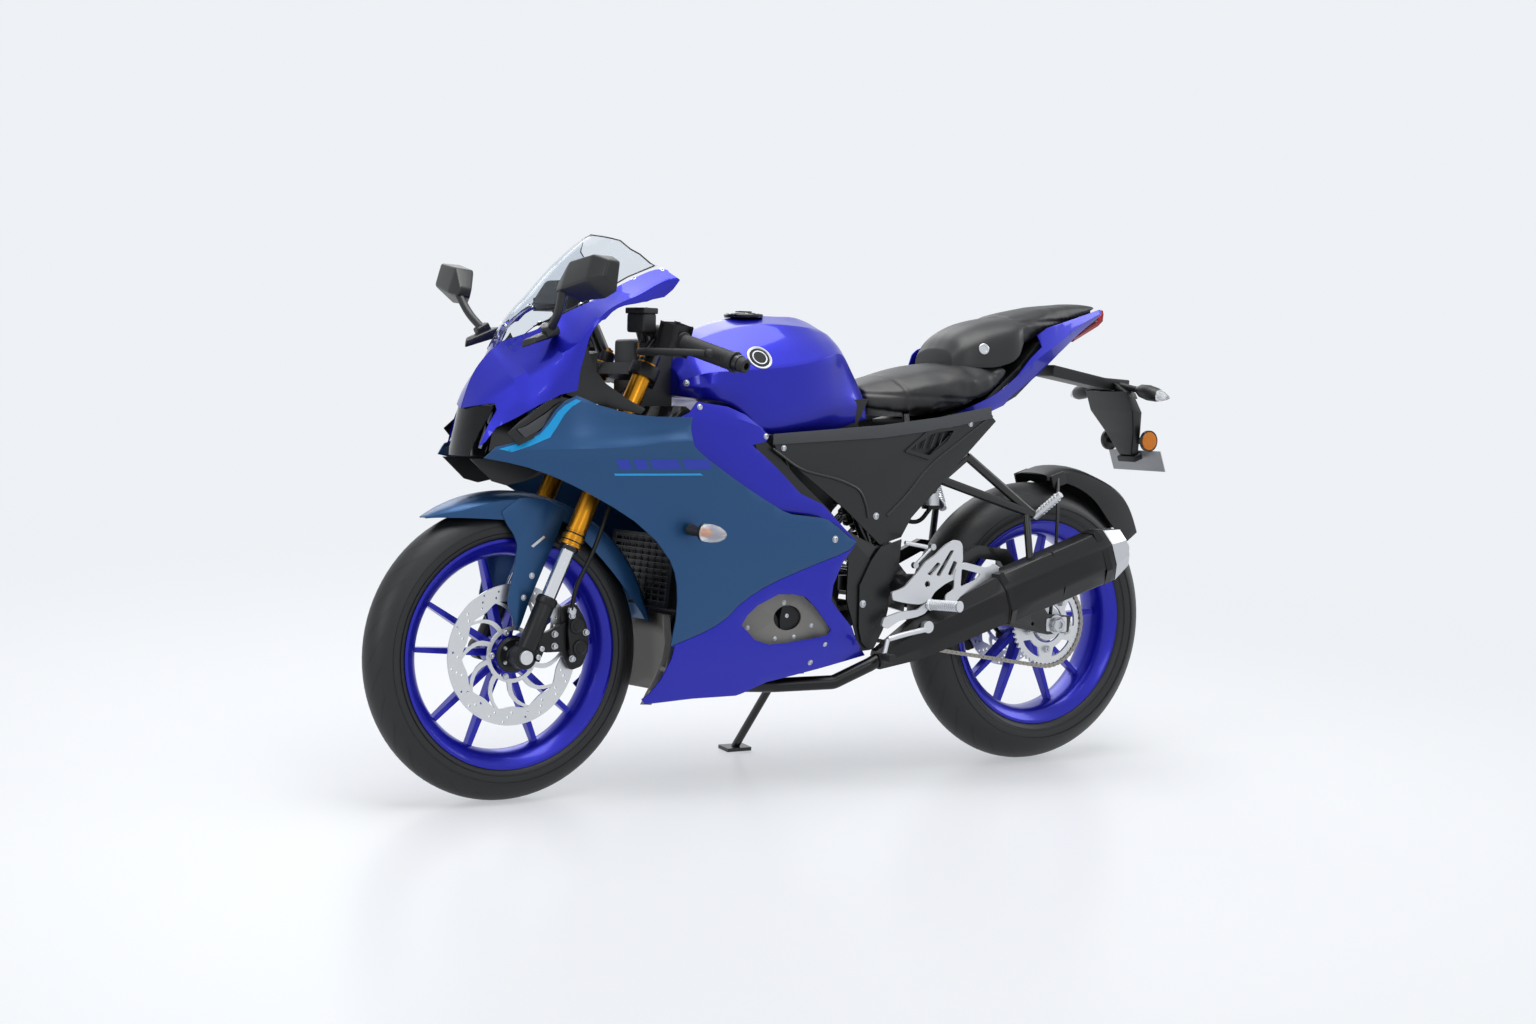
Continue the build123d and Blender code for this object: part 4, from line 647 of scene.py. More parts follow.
def skin_mesh(stations, sharp=(), wall=3.0, steps_x=6, steps_u=4):
    """Closed left-hand skin with its outer face on the smooth surface."""
    rows = surface_grid(stations, sharp, steps_x, steps_u)
    mesh = bmesh.new()
    high, wide = len(rows), len(rows[0])
    inner = []
    for i in range(high):
        line = []
        for j in range(wide):
            along = rows[min(i + 1, high - 1)][j] - rows[max(i - 1, 0)][j]
            across = rows[i][min(j + 1, wide - 1)] - rows[i][max(j - 1, 0)]
            normal = along.cross(across)
            normal.normalize()
            line.append(rows[i][j] + normal * wall)
        inner.append(line)
    middle = sum(p.y for row in rows for p in row)
    inside = sum(p.y for row in inner for p in row)
    if inside > middle:
        inner = [[rows[i][j] * 2 - inner[i][j] for j in range(wide)] for i in range(high)]
    out = [[mesh.verts.new(p) for p in row] for row in rows]
    back = [[mesh.verts.new(p) for p in row] for row in inner]
    close_grids(mesh, out, back)
    bmesh.ops.recalc_face_normals(mesh, faces=mesh.faces)
    return mesh


def body_mesh(stations, sharp=(), steps_x=6, steps_u=4):
    """Closed symmetric body through half outlines and their mirror images."""
    rows = surface_grid(stations, sharp, steps_x, steps_u)
    mesh = bmesh.new()
    rings = []
    for row in rows:
        loop = [mesh.verts.new(p) for p in row]
        loop += [mesh.verts.new((p.x, -p.y, p.z)) for p in reversed(row) if p.y > 0.01]
        rings.append(loop)
    for one, two in zip(rings, rings[1:]):
        for k in range(len(one)):
            j = (k + 1) % len(one)
            mesh.faces.new((one[k], one[j], two[j], two[k]))
    mesh.faces.new(rings[0][::-1])
    mesh.faces.new(rings[-1])
    bmesh.ops.recalc_face_normals(mesh, faces=mesh.faces)
    return mesh


def boolean(mesh, cutter, operation):
    """The mesh after a boolean with a cutter mesh; both are used up."""
    holders = [hold("work", item) for item in (mesh, cutter)]
    modifier = holders[0].modifiers.new("cut", "BOOLEAN")
    modifier.operation = operation
    modifier.solver = "EXACT"
    modifier.object = holders[1]
    data = evaluated_mesh(holders[0])
    result = bmesh.new()
    result.from_mesh(data)
    bpy.data.meshes.remove(data)
    for holder in holders:
        old = holder.data
        bpy.data.objects.remove(holder)
        bpy.data.meshes.remove(old)
    if not result.faces:
        raise RuntimeError("a boolean cut left nothing")
    return result


def prism(outline):
    """Cutter with an (x, z) outline that reaches through the whole left side."""
    mesh = bmesh.new()
    slab(mesh, outline, 1.0, 420.0)
    bmesh.ops.recalc_face_normals(mesh, faces=mesh.faces)
    return mesh


def surface_tree(*names):
    """Search tree over CAD nodes or pieces, in upright millimetres."""
    vertices, faces = [], []
    back = PARKED.inverted()
    for name in names:
        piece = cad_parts.get(name) or bpy.data.objects[name]
        evaluated = piece.evaluated_get(bpy.context.evaluated_depsgraph_get())
        data = evaluated.to_mesh()
        offset = len(vertices)
        vertices += [back @ v.co for v in data.vertices]
        faces += [[offset + i for i in p.vertices] for p in data.polygons]
        evaluated.to_mesh_clear()
    return BVHTree.FromPolygons(vertices, faces)


def touch(tree, x, z, side, fallback=None):
    """Where a line from one side meets a surface, with the normal that faces back."""
    hit, normal, _, _ = tree.ray_cast(Vector((x, 500 * side, z)), Vector((0, -side, 0)))
    if hit is None and fallback is not None:
        hit, normal, _, _ = tree.find_nearest(Vector((x, fallback * side, z)))
    if hit is not None and normal.y * side < 0:
        normal = -normal
    return hit, normal


def film(mesh, tree, outline, step, material):
    """Adds a thin film over an (x, z) outline, laid on a surface seen from the left."""
    flat = bmesh.new()
    flat.faces.new([flat.verts.new((x, 0, z)) for x, z in outline])
    bmesh.ops.triangulate(flat, faces=flat.faces)
    for _ in range(12):
        long = [e for e in flat.edges if e.calc_length() > step]
        if not long:
            break
        bmesh.ops.subdivide_edges(flat, edges=long, cuts=1)
        bmesh.ops.triangulate(flat, faces=flat.faces)
    before = len(mesh.faces)
    top, low = {}, {}
    for vertex in flat.verts:
        hit, normal = touch(tree, vertex.co.x, vertex.co.z, 1, 190)
        top[vertex] = mesh.verts.new(hit + normal * 0.35)
        low[vertex] = mesh.verts.new(hit + normal * 0.05)
    for face in flat.faces:
        corners = list(face.verts)
        mesh.faces.new([top[v] for v in corners])
        mesh.faces.new([low[v] for v in reversed(corners)])
    for edge in flat.edges:
        if len(edge.link_faces) == 1:
            a, b = edge.verts
            mesh.faces.new((top[a], top[b], low[b], low[a]))
    flat.free()
    mark(mesh, before, material)


# ---------------------------------------------------------------- body panels
# Each station: x, then the outer surface from top to bottom as (y, z).
FAIRING = [
    (790, [(84, 800), (86, 740), (92, 700), (90, 684), (87, 640), (87, 500), (84, 400),
           (78, 300), (68, 180)]),
    (690, [(128, 800), (132, 735), (142, 704), (136, 688), (128, 640), (125, 520), (120, 400),
           (112, 300), (96, 180)]),
    (600, [(174, 815), (178, 742), (188, 708), (181, 690), (172, 640), (168, 520), (160, 400),
           (150, 300), (126, 180)]),
    (500, [(190, 800), (193, 742), (207, 712), (200, 694), (190, 640), (186, 515), (178, 400),
           (166, 300), (138, 180)]),
    (400, [(197, 790), (197, 750), (214, 722), (208, 704), (197, 640), (194, 500), (187, 400),
           (172, 300), (138, 180)]),
    (300, [(196, 790), (198, 755), (214, 726), (209, 708), (199, 640), (197, 490), (187, 400),
           (170, 300), (132, 180)]),
    (150, [(190, 790), (194, 745), (206, 702), (203, 684), (196, 625), (195, 500), (183, 400),
           (165, 300), (128, 190)]),
    (0, [(180, 760), (184, 720), (193, 680), (193, 655), (191, 600), (191, 510), (177, 400),
         (158, 300), (122, 205)]),
    (-160, [(170, 760), (174, 700), (180, 660), (181, 630), (183, 590), (184, 515), (170, 410),
            (150, 310), (115, 225)]),
]
FAIRING_JOINT = [
    (374, 314), (339, 325), (304, 337), (274, 350), (246, 367), (222, 391), (194, 410),
    (163, 426), (127, 441), (78, 458), (29, 474), (-20, 489), (-45, 499), (-63, 515),
]
FAIRING_EDGE = [
    (759, 687), (739, 709), (703, 719), (660, 741), (648, 759), (634, 783), (620, 798),
    (597, 811), (576, 803), (556, 794), (514, 783), (472, 775), (427, 772), (346, 772),
    (352, 747), (355, 727), (350, 715), (333, 701), (309, 685), (262, 657), (214, 629),
    (165, 602), (128, 583), (104, 575), (31, 567), (14, 563), (-15, 546), (-45, 524),
] + FAIRING_JOINT[::-1] + [
    (368, 368), (369, 408), (372, 438), (379, 464), (391, 488), (424, 528), (470, 565),
    (516, 593), (567, 620), (617, 645), (645, 657), (680, 670), (716, 679),
]
BELLY_EDGE = [(x, z - 1) for x, z in FAIRING_JOINT] + [
    (-30, 470), (-12, 425), (-11, 394), (-32, 373), (-76, 333), (-90, 308), (-111, 286),
    (-127, 270), (-66, 258), (-15, 248), (60, 235), (121, 225), (181, 203), (193, 200),
    (301, 200), (413, 195), (422, 206), (406, 217), (384, 246), (368, 286), (364, 313),
]
WINDOW_EDGE = [
    (209, 350), (197, 370), (174, 390), (125, 411), (89, 410), (56, 403), (26, 379),
    (-21, 331), (-13, 319), (24, 314), (86, 308), (135, 306), (172, 318),
]
INNER = [
    (370, [(176, 830), (182, 770), (178, 690), (166, 600)]),
    (240, [(160, 830), (186, 770), (186, 690), (176, 600)]),
    (150, [(146, 800), (178, 745), (184, 690), (178, 580)]),
    (0, [(150, 770), (166, 720), (174, 640), (174, 560)]),
    (-90, [(150, 770), (160, 700), (170, 600), (172, 500)]),
]
INNER_EDGE = [
    (345, 780), (324, 802), (253, 793), (210, 777), (173, 751), (154, 733), (161, 724),
    (197, 716), (135, 669), (72, 616), (15, 593), (-73, 516), (-40, 505), (60, 540),
    (200, 580), (330, 660), (368, 700), (368, 770),
]
COWL = [
    (790, [(0, 690), (20, 688), (36, 680), (46, 668)]),
    (771, [(0, 745), (30, 735), (47, 712), (56, 680)]),
    (741, [(0, 836), (53, 794), (76, 752), (90, 706)]),
    (700, [(0, 893), (91, 836), (112, 790), (133, 756)]),
    (678, [(0, 912), (109, 852), (130, 804), (145, 766)]),
    (659, [(44, 925), (126, 866), (145, 817), (155, 773)]),
    (640, [(84, 938), (142, 880), (159, 830), (164, 780)]),
    (596, [(100, 966), (177, 913), (181, 870), (177, 800)]),
    (577, [(107, 977), (183, 938), (186, 920), (182, 890)]),
    (541, [(120, 995), (187, 975), (187, 968), (186, 961)]),
    (460, [(135, 1040), (178, 1012), (180, 1003), (180, 995)]),
    (400, [(150, 1064), (170, 1040), (171, 1022), (169, 1002)]),
    (350, [(163, 1052), (168, 1048), (168, 1045), (166, 1041)]),
]
COWL_EDGE = [
    (800, 686), (771, 687), (745, 718), (729, 746), (696, 770), (663, 792), (628, 812),
    (597, 821), (593, 861), (583, 900), (577, 923), (566, 943), (551, 957), (526, 965),
    (479, 986), (431, 1002), (401, 1008), (381, 1023), (365, 1043), (384, 1058), (400, 1100),
    (800, 1100),
]
LAMP_HOLE = [(-78, 793), (0, 781), (78, 793), (86, 780), (60, 660), (-60, 660), (-86, 780)]
TANK = [
    (312, [(0, 876), (40, 873), (70, 860), (86, 843), (85, 828), (72, 812)]),
    (280, [(0, 925), (60, 913), (94, 887), (125, 858), (128, 834), (118, 808)]),
    (215, [(0, 958), (70, 943), (107, 906), (142, 865), (140, 832), (130, 796)]),
    (120, [(0, 979), (75, 962), (111, 919), (144, 872), (142, 800), (128, 737)]),
    (30, [(0, 982), (75, 962), (109, 925), (140, 885), (136, 800), (122, 742)]),
    (-30, [(0, 979), (66, 955), (97, 928), (124, 900), (124, 800), (112, 744)]),
    (-80, [(0, 955), (50, 940), (75, 924), (96, 903), (108, 800), (104, 752)]),
    (-120, [(0, 900), (38, 894), (60, 882), (78, 863), (96, 800), (95, 762)]),
    (-152, [(0, 838), (28, 836), (50, 830), (68, 820), (84, 790), (86, 768)]),
]
TAIL = [
    (-856, [(14, 1030), (20, 1018), (14, 1004)]),
    (-760, [(48, 1020), (56, 985), (42, 950)]),
    (-690, [(74, 1000), (80, 950), (62, 900)]),
    (-620, [(88, 980), (97, 915), (76, 850)]),
    (-540, [(100, 920), (112, 870), (92, 800)]),
    (-450, [(116, 850), (128, 820), (112, 770)]),
    (-340, [(128, 800), (134, 785), (130, 760)]),
]
TAIL_EDGE = [
    (-848, 1024), (-697, 990), (-640, 976), (-607, 958), (-619, 933), (-581, 906), (-536, 866),
    (-492, 838), (-447, 818), (-389, 796), (-345, 777), (-417, 783), (-462, 788), (-507, 802),
    (-538, 826), (-619, 872), (-687, 920), (-764, 966), (-852, 1012),
]
SCREEN = [
    (690, [(0, 908), (16, 905), (30, 898), (42, 888)]),
    (640, [(0, 975), (38, 968), (63, 955), (74, 944.5)]),
    (600, [(0, 1016), (47, 1006), (78, 987), (93, 965)]),
    (541, [(0, 1078), (57, 1064), (93, 1036), (112, 997)]),
    (500, [(0, 1115), (61, 1099), (101, 1064), (120, 1022)]),
    (460, [(0, 1142), (63, 1126), (105, 1090), (127, 1046)]),
    (380, [(0, 1176), (67, 1158), (113, 1122), (142, 1078)]),
]
SCREEN_EDGE = [(680, 0), (680, 200), (380, 200), (394, 141), (412, 131), (428, 116), (442, 103),
               (452, 79), (464, 59), (468, 21), (474, 0)]
PANEL_WALL = 3.0
# Panels keep an edge sharper than this many degrees, and round it by these millimetres.
PANEL_CREASE, PANEL_BEVEL = 24.0, 0.7


def side_panel(stations, sharp, edge):
    """Left panel: the smooth skin inside a side-view edge."""
    return boolean(skin_mesh(stations, sharp, PANEL_WALL), prism(edge), "INTERSECT")


def finish_panel(name, mesh, material, node):
    """Mirrors a left panel to both sides and puts it in the place of its CAD node."""
    mirror_side(mesh)
    return new_piece(name, mesh, material, "chassis", PANEL_CREASE, PANEL_BEVEL, (node,))


def make_side_fairings():
    mesh = side_panel(FAIRING, (2, 3, 4, 5, 6, 7), FAIRING_EDGE)
    finish_panel("side_fairing_panels", mesh, "steel_blue", "side_fairings")


def make_belly_fairings():
    mesh = side_panel(FAIRING, (2, 3, 4, 5, 6, 7), BELLY_EDGE)
    mesh = boolean(mesh, prism(WINDOW_EDGE), "DIFFERENCE")
    finish_panel("belly_fairing_panels", mesh, "blue", "belly_fairings")


def make_inner_panels():
    mesh = side_panel(INNER, (1, 2), INNER_EDGE)
    finish_panel("inner_side_panels", mesh, "blue", "inner_panels")


def make_nose_cowl():
    half = side_panel(COWL, (1, 2), COWL_EDGE)
    mirror_side(half)
    cutter = bmesh.new()
    bridge(cutter, [(690, y, z) for y, z in LAMP_HOLE], [(830, y, z) for y, z in LAMP_HOLE])
    bmesh.ops.recalc_face_normals(cutter, faces=cutter.faces)
    mesh = boolean(half, cutter, "DIFFERENCE")
    new_piece("nose_cowl_panel", mesh, "blue", "chassis", PANEL_CREASE, PANEL_BEVEL,
              ("nose_cowl",))


def make_fuel_tank():
    mesh = body_mesh(TANK, (1, 3, 4), 7, 5)
    new_piece("fuel_tank_shell", mesh, "blue", "chassis", PANEL_CREASE, 1.5, ("fuel_tank",))


def make_tail_panels():
    mesh = side_panel(TAIL, (1,), TAIL_EDGE)
    mirror_side(mesh)
    # The right side rises beside the seats as a flat wing.
    slab(mesh, rounded([(-398, 884), (-408, 912), (-420, 922), (-512, 953), (-560, 957),
                        (-590, 925), (-566, 885), (-523, 868), (-500, 880), (-440, 886)], 5),
         -107, -103.5)
    new_piece("tail_side_panels", mesh, "blue", "chassis", PANEL_CREASE, PANEL_BEVEL,
              ("tail_panels",))


def make_windscreen():
    half = skin_mesh(SCREEN, (), 2.6)
    cutter = bmesh.new()
    bridge(cutter, [(x, y, 850) for x, y in SCREEN_EDGE], [(x, y, 1250) for x, y in SCREEN_EDGE])
    bmesh.ops.recalc_face_normals(cutter, faces=cutter.faces)
    mesh = boolean(half, cutter, "INTERSECT")
    middle = [v for v in mesh.verts if abs(v.co.y) < 0.01]
    for vertex in middle:
        vertex.co.y = 0.0
    inside = [f for f in mesh.faces if all(abs(v.co.y) < 0.01 for v in f.verts)]
    bmesh.ops.delete(mesh, geom=inside, context="FACES_ONLY")
    mirror_side(mesh)
    bmesh.ops.remove_doubles(mesh, verts=mesh.verts, dist=0.01)
    new_piece("windscreen_shell", mesh, "screen", "chassis", 40.0, 0.0, ("windscreen",))
    # Dark gloss-black tube along the rim and down both sides.
    glass = surface_tree("windscreen_shell")
    rim = bmesh.new()
    sides = [(x, outline[-1][0]) for x, outline in SCREEN if 400 < x < 690]
    line = [(474, 0), (467, 21), (463, 59), (451, 79), (441, 103), (427, 116), (411, 131),
            (404, 136)] + [(x, y - 0.6) for x, y in reversed(sides)]
    points = []
    for x, y in line:
        hit, _, _, _ = glass.ray_cast(Vector((x + 1, y, 1300)), Vector((0, 0, -1)))
        if hit is not None:
            points.append(hit)
    tube(rim, points, 1.5, 6)
    mirror_side(rim)
    new_piece("windscreen_edge", rim, "gloss_black", "chassis", 60.0)


MIRROR = [
    # distance from the middle, outline from the side as (x, z)
    (212, [(634, 1022), (662, 1026), (668, 1008), (640, 1002)]),
    (246, [(614, 1062), (656, 1067), (674, 1014), (628, 990)]),
    (326, [(606, 1076), (650, 1078), (664, 1030), (620, 994)]),
    (362, [(610, 1064), (636, 1068), (646, 1036), (616, 1008)]),
]


def make_mirrors():
    """Faceted mirror heads with their glass, on bent stalks with two-part feet."""
    mesh = bmesh.new()
    rounded_loft(mesh, [[(x, y, z) for x, z in outline] for y, outline in MIRROR], 5.0)
    tube(mesh, arc_points([(640, 142, 936), (650, 196, 972), (658, 226, 1012)], 26), 8.5, 16)
    rounded_loft(mesh, [[(616, 122, 946), (690, 122, 916), (694, 122, 900), (612, 122, 925)],
                        [(624, 152, 944), (676, 152, 922), (678, 152, 910), (622, 152, 930)]], 4)
    rounded_box(mesh, (642, 146, 938), (30, 22, 22), Matrix.Rotation(0.5, 3, "Y"), 5)
    glass = [(617, 250, 1056), (605, 326, 1068), (609, 354, 1058), (614, 354, 1014),
             (618, 326, 1002), (627, 250, 998)]
    centre = sum((Vector(p) for p in glass), Vector()) / len(glass)
    back = Vector((-1, -0.1, -0.2)).normalized()
    ring = [centre + (Vector(p) - centre) * 0.93 for p in glass]
    rounded_loft(mesh, [[p + back * 2.6 for p in ring], [p - back * 3 for p in ring]], 0.0, 1)
    mirror_side(mesh)
    new_piece("mirror_heads", mesh, ["black", "mirror"], "chassis", 30.0, 0.0, ("mirrors",))


# ---------------------------------------------------------------- lamps
def make_headlamp():
    """Dark lamp housing, light bars, bowls and the smoked lens that closes the nose."""
    mesh = bmesh.new()
    # Each level: z, half width, x of the lens at the middle and at the side.
    levels = [(787, 76, 752, 726), (760, 68, 758, 737), (730, 57, 764, 751), (700, 47, 768, 761),
              (688, 44, 769, 763)]
    steps = 8
    # The lens, and the dark plate behind it.
    for material, back in ((2, 0.0), (0, 34.0)):
        rows = []
        for z, half, middle, side in levels:
            row = []
            for k in range(-steps, steps + 1):
                t = k / steps
                x = middle + (side - middle) * t * t - back
                row.append(mesh.verts.new((x, half * t * (0.97 if back else 1.0), z)))
            rows.append(row)
        deeper = [[mesh.verts.new(v.co - Vector((2.0, 0, 0))) for v in row] for row in rows]
        close_grids(mesh, rows, deeper, material)
    for side in (-1, 1):
        # The outer light bar slopes with the lens, the lamp bowl sits beside it.
        tube(mesh, [(722, 58 * side, 776), (734, 46 * side, 722), (738, 42 * side, 704)],
             3.6, 10, 3)
        tube(mesh, [(740, 10 * side, 772), (746, 12 * side, 712)], 3.0, 10, 3)
        lathe(mesh, (716, 33 * side, 748), (1, 0, -0.05),
              [(0, 9), (3, 18), (12, 24), (16, 25), (16, 22), (12, 20), (4, 8), (3, 0.0)], 28, 1)
    # Housing wall all round between lens and bowl plate.
    wall = [(-74, 790), (0, 778), (74, 790), (80, 779), (46, 690), (-46, 690), (-80, 779)]
    before = len(mesh.faces)
    front = [mesh.verts.new((722, y, z)) for y, z in wall]
    rear = [mesh.verts.new((650, y * 0.92, z)) for y, z in wall]
    front_in = [mesh.verts.new((722, y * 0.96, 740 + (z - 740) * 0.95)) for y, z in wall]
    rear_in = [mesh.verts.new((653, y * 0.86, 740 + (z - 740) * 0.9)) for y, z in wall]
    count = len(wall)
    for k in range(count):
        j = (k + 1) % count
        mesh.faces.new((front[k], front[j], rear[j], rear[k]))
        mesh.faces.new((front_in[j], front_in[k], rear_in[k], rear_in[j]))
        mesh.faces.new((front[j], front[k], front_in[k], front_in[j]))
    mesh.faces.new(rear)
    mesh.faces.new(rear_in[::-1])
    mark(mesh, before, 0)
    new_piece("headlamp_unit", mesh, ["gloss_black", "gloss_black", "smoked", "led"], "chassis",
              30.0, 0.0, ("headlamp",))


def make_signal_lamps():
    """Indicators on short stalks and the amber reflectors that face sideways."""
    mesh = bmesh.new()
    # Front: black stalk, clear lens with an amber bulb behind it.
    tube(mesh, [(352, 203, 549), (347, 222, 546), (344, 234, 545)], [12, 10, 9], 18, 0)
    axis = Vector((330 - 345, 278 - 232, -2)).normalized()
    lathe(mesh, (344, 233, 545), axis,
          [(0, 0.0), (0, 12), (4, 17.4), (8, 18), (10, 18), (10, 0.0)], 28, 0)
    lathe(mesh, (344, 233, 545), axis,
          [(10.3, 0.0), (10.3, 17.8), (28, 18.4), (46, 15), (58, 9), (64, 3), (65, 0.0)], 28, 1)
    lathe(mesh, (344, 233, 545), axis, [(10.6, 0.0), (10.6, 6), (18, 7.5), (26, 5), (29, 0.0)],
          18, 2)
    # Rear: black body that swells outward and ends in a short clear tip.
    tube(mesh, [(-905, 30, 850), (-912, 84, 842)], [8, 7], 16, 0)
    axis = Vector((-925 + 912, 166 - 92, -14)).normalized()
    lathe(mesh, (-912, 82, 842), axis,
          [(0, 0.0), (0, 8), (12, 15), (34, 18), (58, 16), (64, 14), (64, 0.0)], 28, 0)
    lathe(mesh, (-912, 82, 842), axis,
          [(64.3, 0.0), (64.3, 13.6), (76, 11), (88, 6), (94, 2), (95, 0.0)], 28, 1)
    # Reflector: black bezel with an amber disc, carried by a cross bar.
    lathe(mesh, (-962, 60, 724), LEFT,
          [(0, 0.0), (0, 18), (5, 24.5), (12, 24.5), (12, 22), (11, 21.6), (11, 0.0)], 36, 0)
    lathe(mesh, (-962, 60, 724), LEFT, [(11.2, 0.0), (11.2, 21.4), (13, 20.4), (14, 0.0)], 32, 2)
    tube(mesh, [(-962, 62, 724), (-950, 2, 724)], 8, 12, 0)
    mirror_side(mesh)
    new_piece("indicators_and_reflectors", mesh, ["black", "lens", "amber"], "chassis",
              35.0, 0.0, ("signal_lamps",))


# ---------------------------------------------------------------- mudguards and tail
FRONT_ARCH = [
    (57, 30, 14, 4), (66, 28, 44, 26), (76, 27, 60, 44), (86, 27, 63, 54), (98, 27, 64, 48),
    (111, 26, 64, 40), (125, 25, 63, 52), (140, 25, 62, 54), (155, 26, 56, 42), (170, 30, 42, 14),
]
HUGGER_ARCH = [
    (92, 22, 60, 16), (100, 44, 66, 38), (115, 54, 68, 56), (130, 60, 68, 80), (145, 46, 56, 58),
]


def make_mudguard():
    """Front mudguard: crowned arch, deep flanks and a blade down to each fork foot."""
    mesh = bmesh.new()
    wheel_skin(mesh, FRONT_AXLE, FRONT_RADIUS, FRONT_ARCH, 3.0)
    blade = rounded([(700, 580), (688, 556), (672, 535), (664, 516), (668, 480), (675, 446),
                     (683, 407), (679, 387), (661, 344), (653, 357), (635, 405), (603, 474),
                     (572, 540), (556, 580), (600, 604), (660, 608)], 6)
    # A blade and a small bright dash on each flank.
    for side in (1, -1):
        slab(mesh, blade, 61.2 * side, 64.8 * side)
        slab(mesh, [(634, 512), (629, 509), (602, 528), (606, 532)], 64.8 * side, 65.6 * side, 1)
    new_piece("front_mudguard_shell", mesh, ["steel_blue", "zinc"], "steering_head", 30.0, 0.8,
              ("front_mudguard",))


HUMP = [
    (-390, [(0, 922), (40, 918), (64, 906), (70, 884)]),
    (-412, [(0, 951), (46, 946), (78, 926), (86, 884)]),
    (-450, [(0, 974), (52, 968), (90, 940), (99, 884)]),
    (-495, [(0, 988), (56, 982), (95, 953), (104, 888)]),
    (-548, [(0, 998), (60, 992), (97, 966), (104, 912)]),
    (-566, [(0, 1001), (58, 995), (90, 974), (96, 940)]),
]


def make_pillion_cover():
    """Rounded hump between the two seats."""
    mesh = body_mesh(HUMP, (), 6, 5)
    new_piece("pillion_cover_shell", mesh, "black", "chassis", 40.0, 6.0, ("pillion_cover",))


def make_hugger():
    """Rear wheel hugger with its side stays."""
    mesh = bmesh.new()
    wheel_skin(mesh, REAR_AXLE, REAR_RADIUS, HUGGER_ARCH, 3.0)
    for side in (1, -1):
        tube(mesh, arc_points([(-700, 64 * side, 640), (-672, 100 * side, 560),
                               (-664, 104 * side, 440), (-655, 104 * side, 334)], 30), 4, 12)
        rounded_box(mesh, (-700, 66 * side, 636), (40, 5, 30), Matrix.Rotation(0.3, 3, "Y"), 2)
    new_piece("rear_hugger_shell", mesh, "black", "chassis", 30.0, 0.8, ("hugger",))


def make_plate_holder():
    """Tail arm, the wide hanger below it and its ribs."""
    mesh = bmesh.new()
    arm = [(-700, 895, 40), (-860, 868, 32), (-940, 864, 24)]
    rounded_loft(mesh, [[(x, -w, z), (x, w, z), (x, w * 0.9, z - 26), (x, -w * 0.9, z - 26)]
                        for x, z, w in arm], 4)
    for side in (1, -1):
        # Hanger flange, then two slanted ribs that stand off it.
        rounded_loft(mesh, [[(-884, 20 * side, 862), (-884, 72 * side, 838),
                             (-892, 74 * side, 824), (-900, 20 * side, 830)],
                            [(-920, 10 * side, 858), (-922, 66 * side, 834),
                             (-928, 68 * side, 820), (-930, 10 * side, 830)]], 3)
    levels = ((-884, 70, 838, 26), (-906, 76, 792, 24), (-932, 50, 742, 22), (-952, 22, 690, 16))
    rounded_loft(mesh, [[(x, -w, z), (x, w, z), (x - deep, w, z - 5), (x - deep, -w, z - 5)]
                        for x, w, z, deep in levels], 4)
    for side in (1, -1):
        tube(mesh, [(-908, 62 * side, 832), (-932, 66 * side, 788), (-952, 40 * side, 742),
                    (-966, 18 * side, 694)], 7, 10)
    tube(mesh, [(-916, -44, 800), (-916, 44, 800)], 7, 10)
    rounded_box(mesh, (-966, 0, 684), (26, 60, 14), Matrix.Rotation(0.35, 3, "Y"), 3)
    new_piece("plate_hanger", mesh, "black", "chassis", 30.0, 0.0, ("plate_holder",))


def make_duct_panel():
    """Grey wall between front wheel and belly, curved round towards the sides."""
    mesh = bmesh.new()
    for side in (1, -1):
        rows = [[(320, 0, z), (330, 92 * side, z), (344, 114 * side, z), (x, 124 * side, z)]
                for x, z in ((352, 366), (346, 320), (352, 270), (368, 232), (384, 206))]
        line = [[mesh.verts.new(p) for p in row] for row in rows]
        rear = [[mesh.verts.new((x - 4, y, z)) for x, y, z in row] for row in rows]
        close_grids(mesh, line, rear)
    new_piece("front_duct_wall", mesh, "grey", "chassis", 40.0)


def make_frame_covers():
    """Black covers that fill the frame triangle and the space round the steering head."""
    mesh = bmesh.new()
    band = [(165, 722), (137, 722), (57, 645), (-20, 582), (-91, 508), (-151, 454), (-176, 420),
            (-175, 366), (-163, 324), (-138, 282), (-108, 280), (-99, 310), (-71, 391),
            (-74, 475), (-22, 518), (80, 602), (150, 672)]
    for side in (1, -1):
        slab(mesh, rounded(band, 6), 140 * side, 144 * side)
        slab(mesh, [(-190, 690), (-320, 690), (-372, 770), (-200, 752)], 138 * side, 141 * side)
        slab(mesh, [(130, 740), (-120, 752), (-150, 812), (100, 800)], 90 * side, 96 * side)
    rounded_loft(mesh, [[(500, -84, 790), (500, 84, 790), (500, 84, 900), (500, -84, 900)],
                        [(604, -96, 800), (604, 96, 800), (604, 90, 880), (604, -90, 880)]], 8)
    rounded_loft(mesh, [[(306, -50, 760), (306, 50, 760), (306, 50, 930), (306, -50, 930)],
                        [(392, -50, 770), (392, 50, 770), (392, 46, 925), (392, -46, 925)]], 8)
    new_piece("frame_covers", mesh, "black", "chassis", 30.0)


# ---------------------------------------------------------------- wheels, brakes, chain
# Height of the tyre's lip on its rim, and how often the grooves repeat round the tyre.
TYRE_LIP = 232.0
TREAD_PITCHES = 30


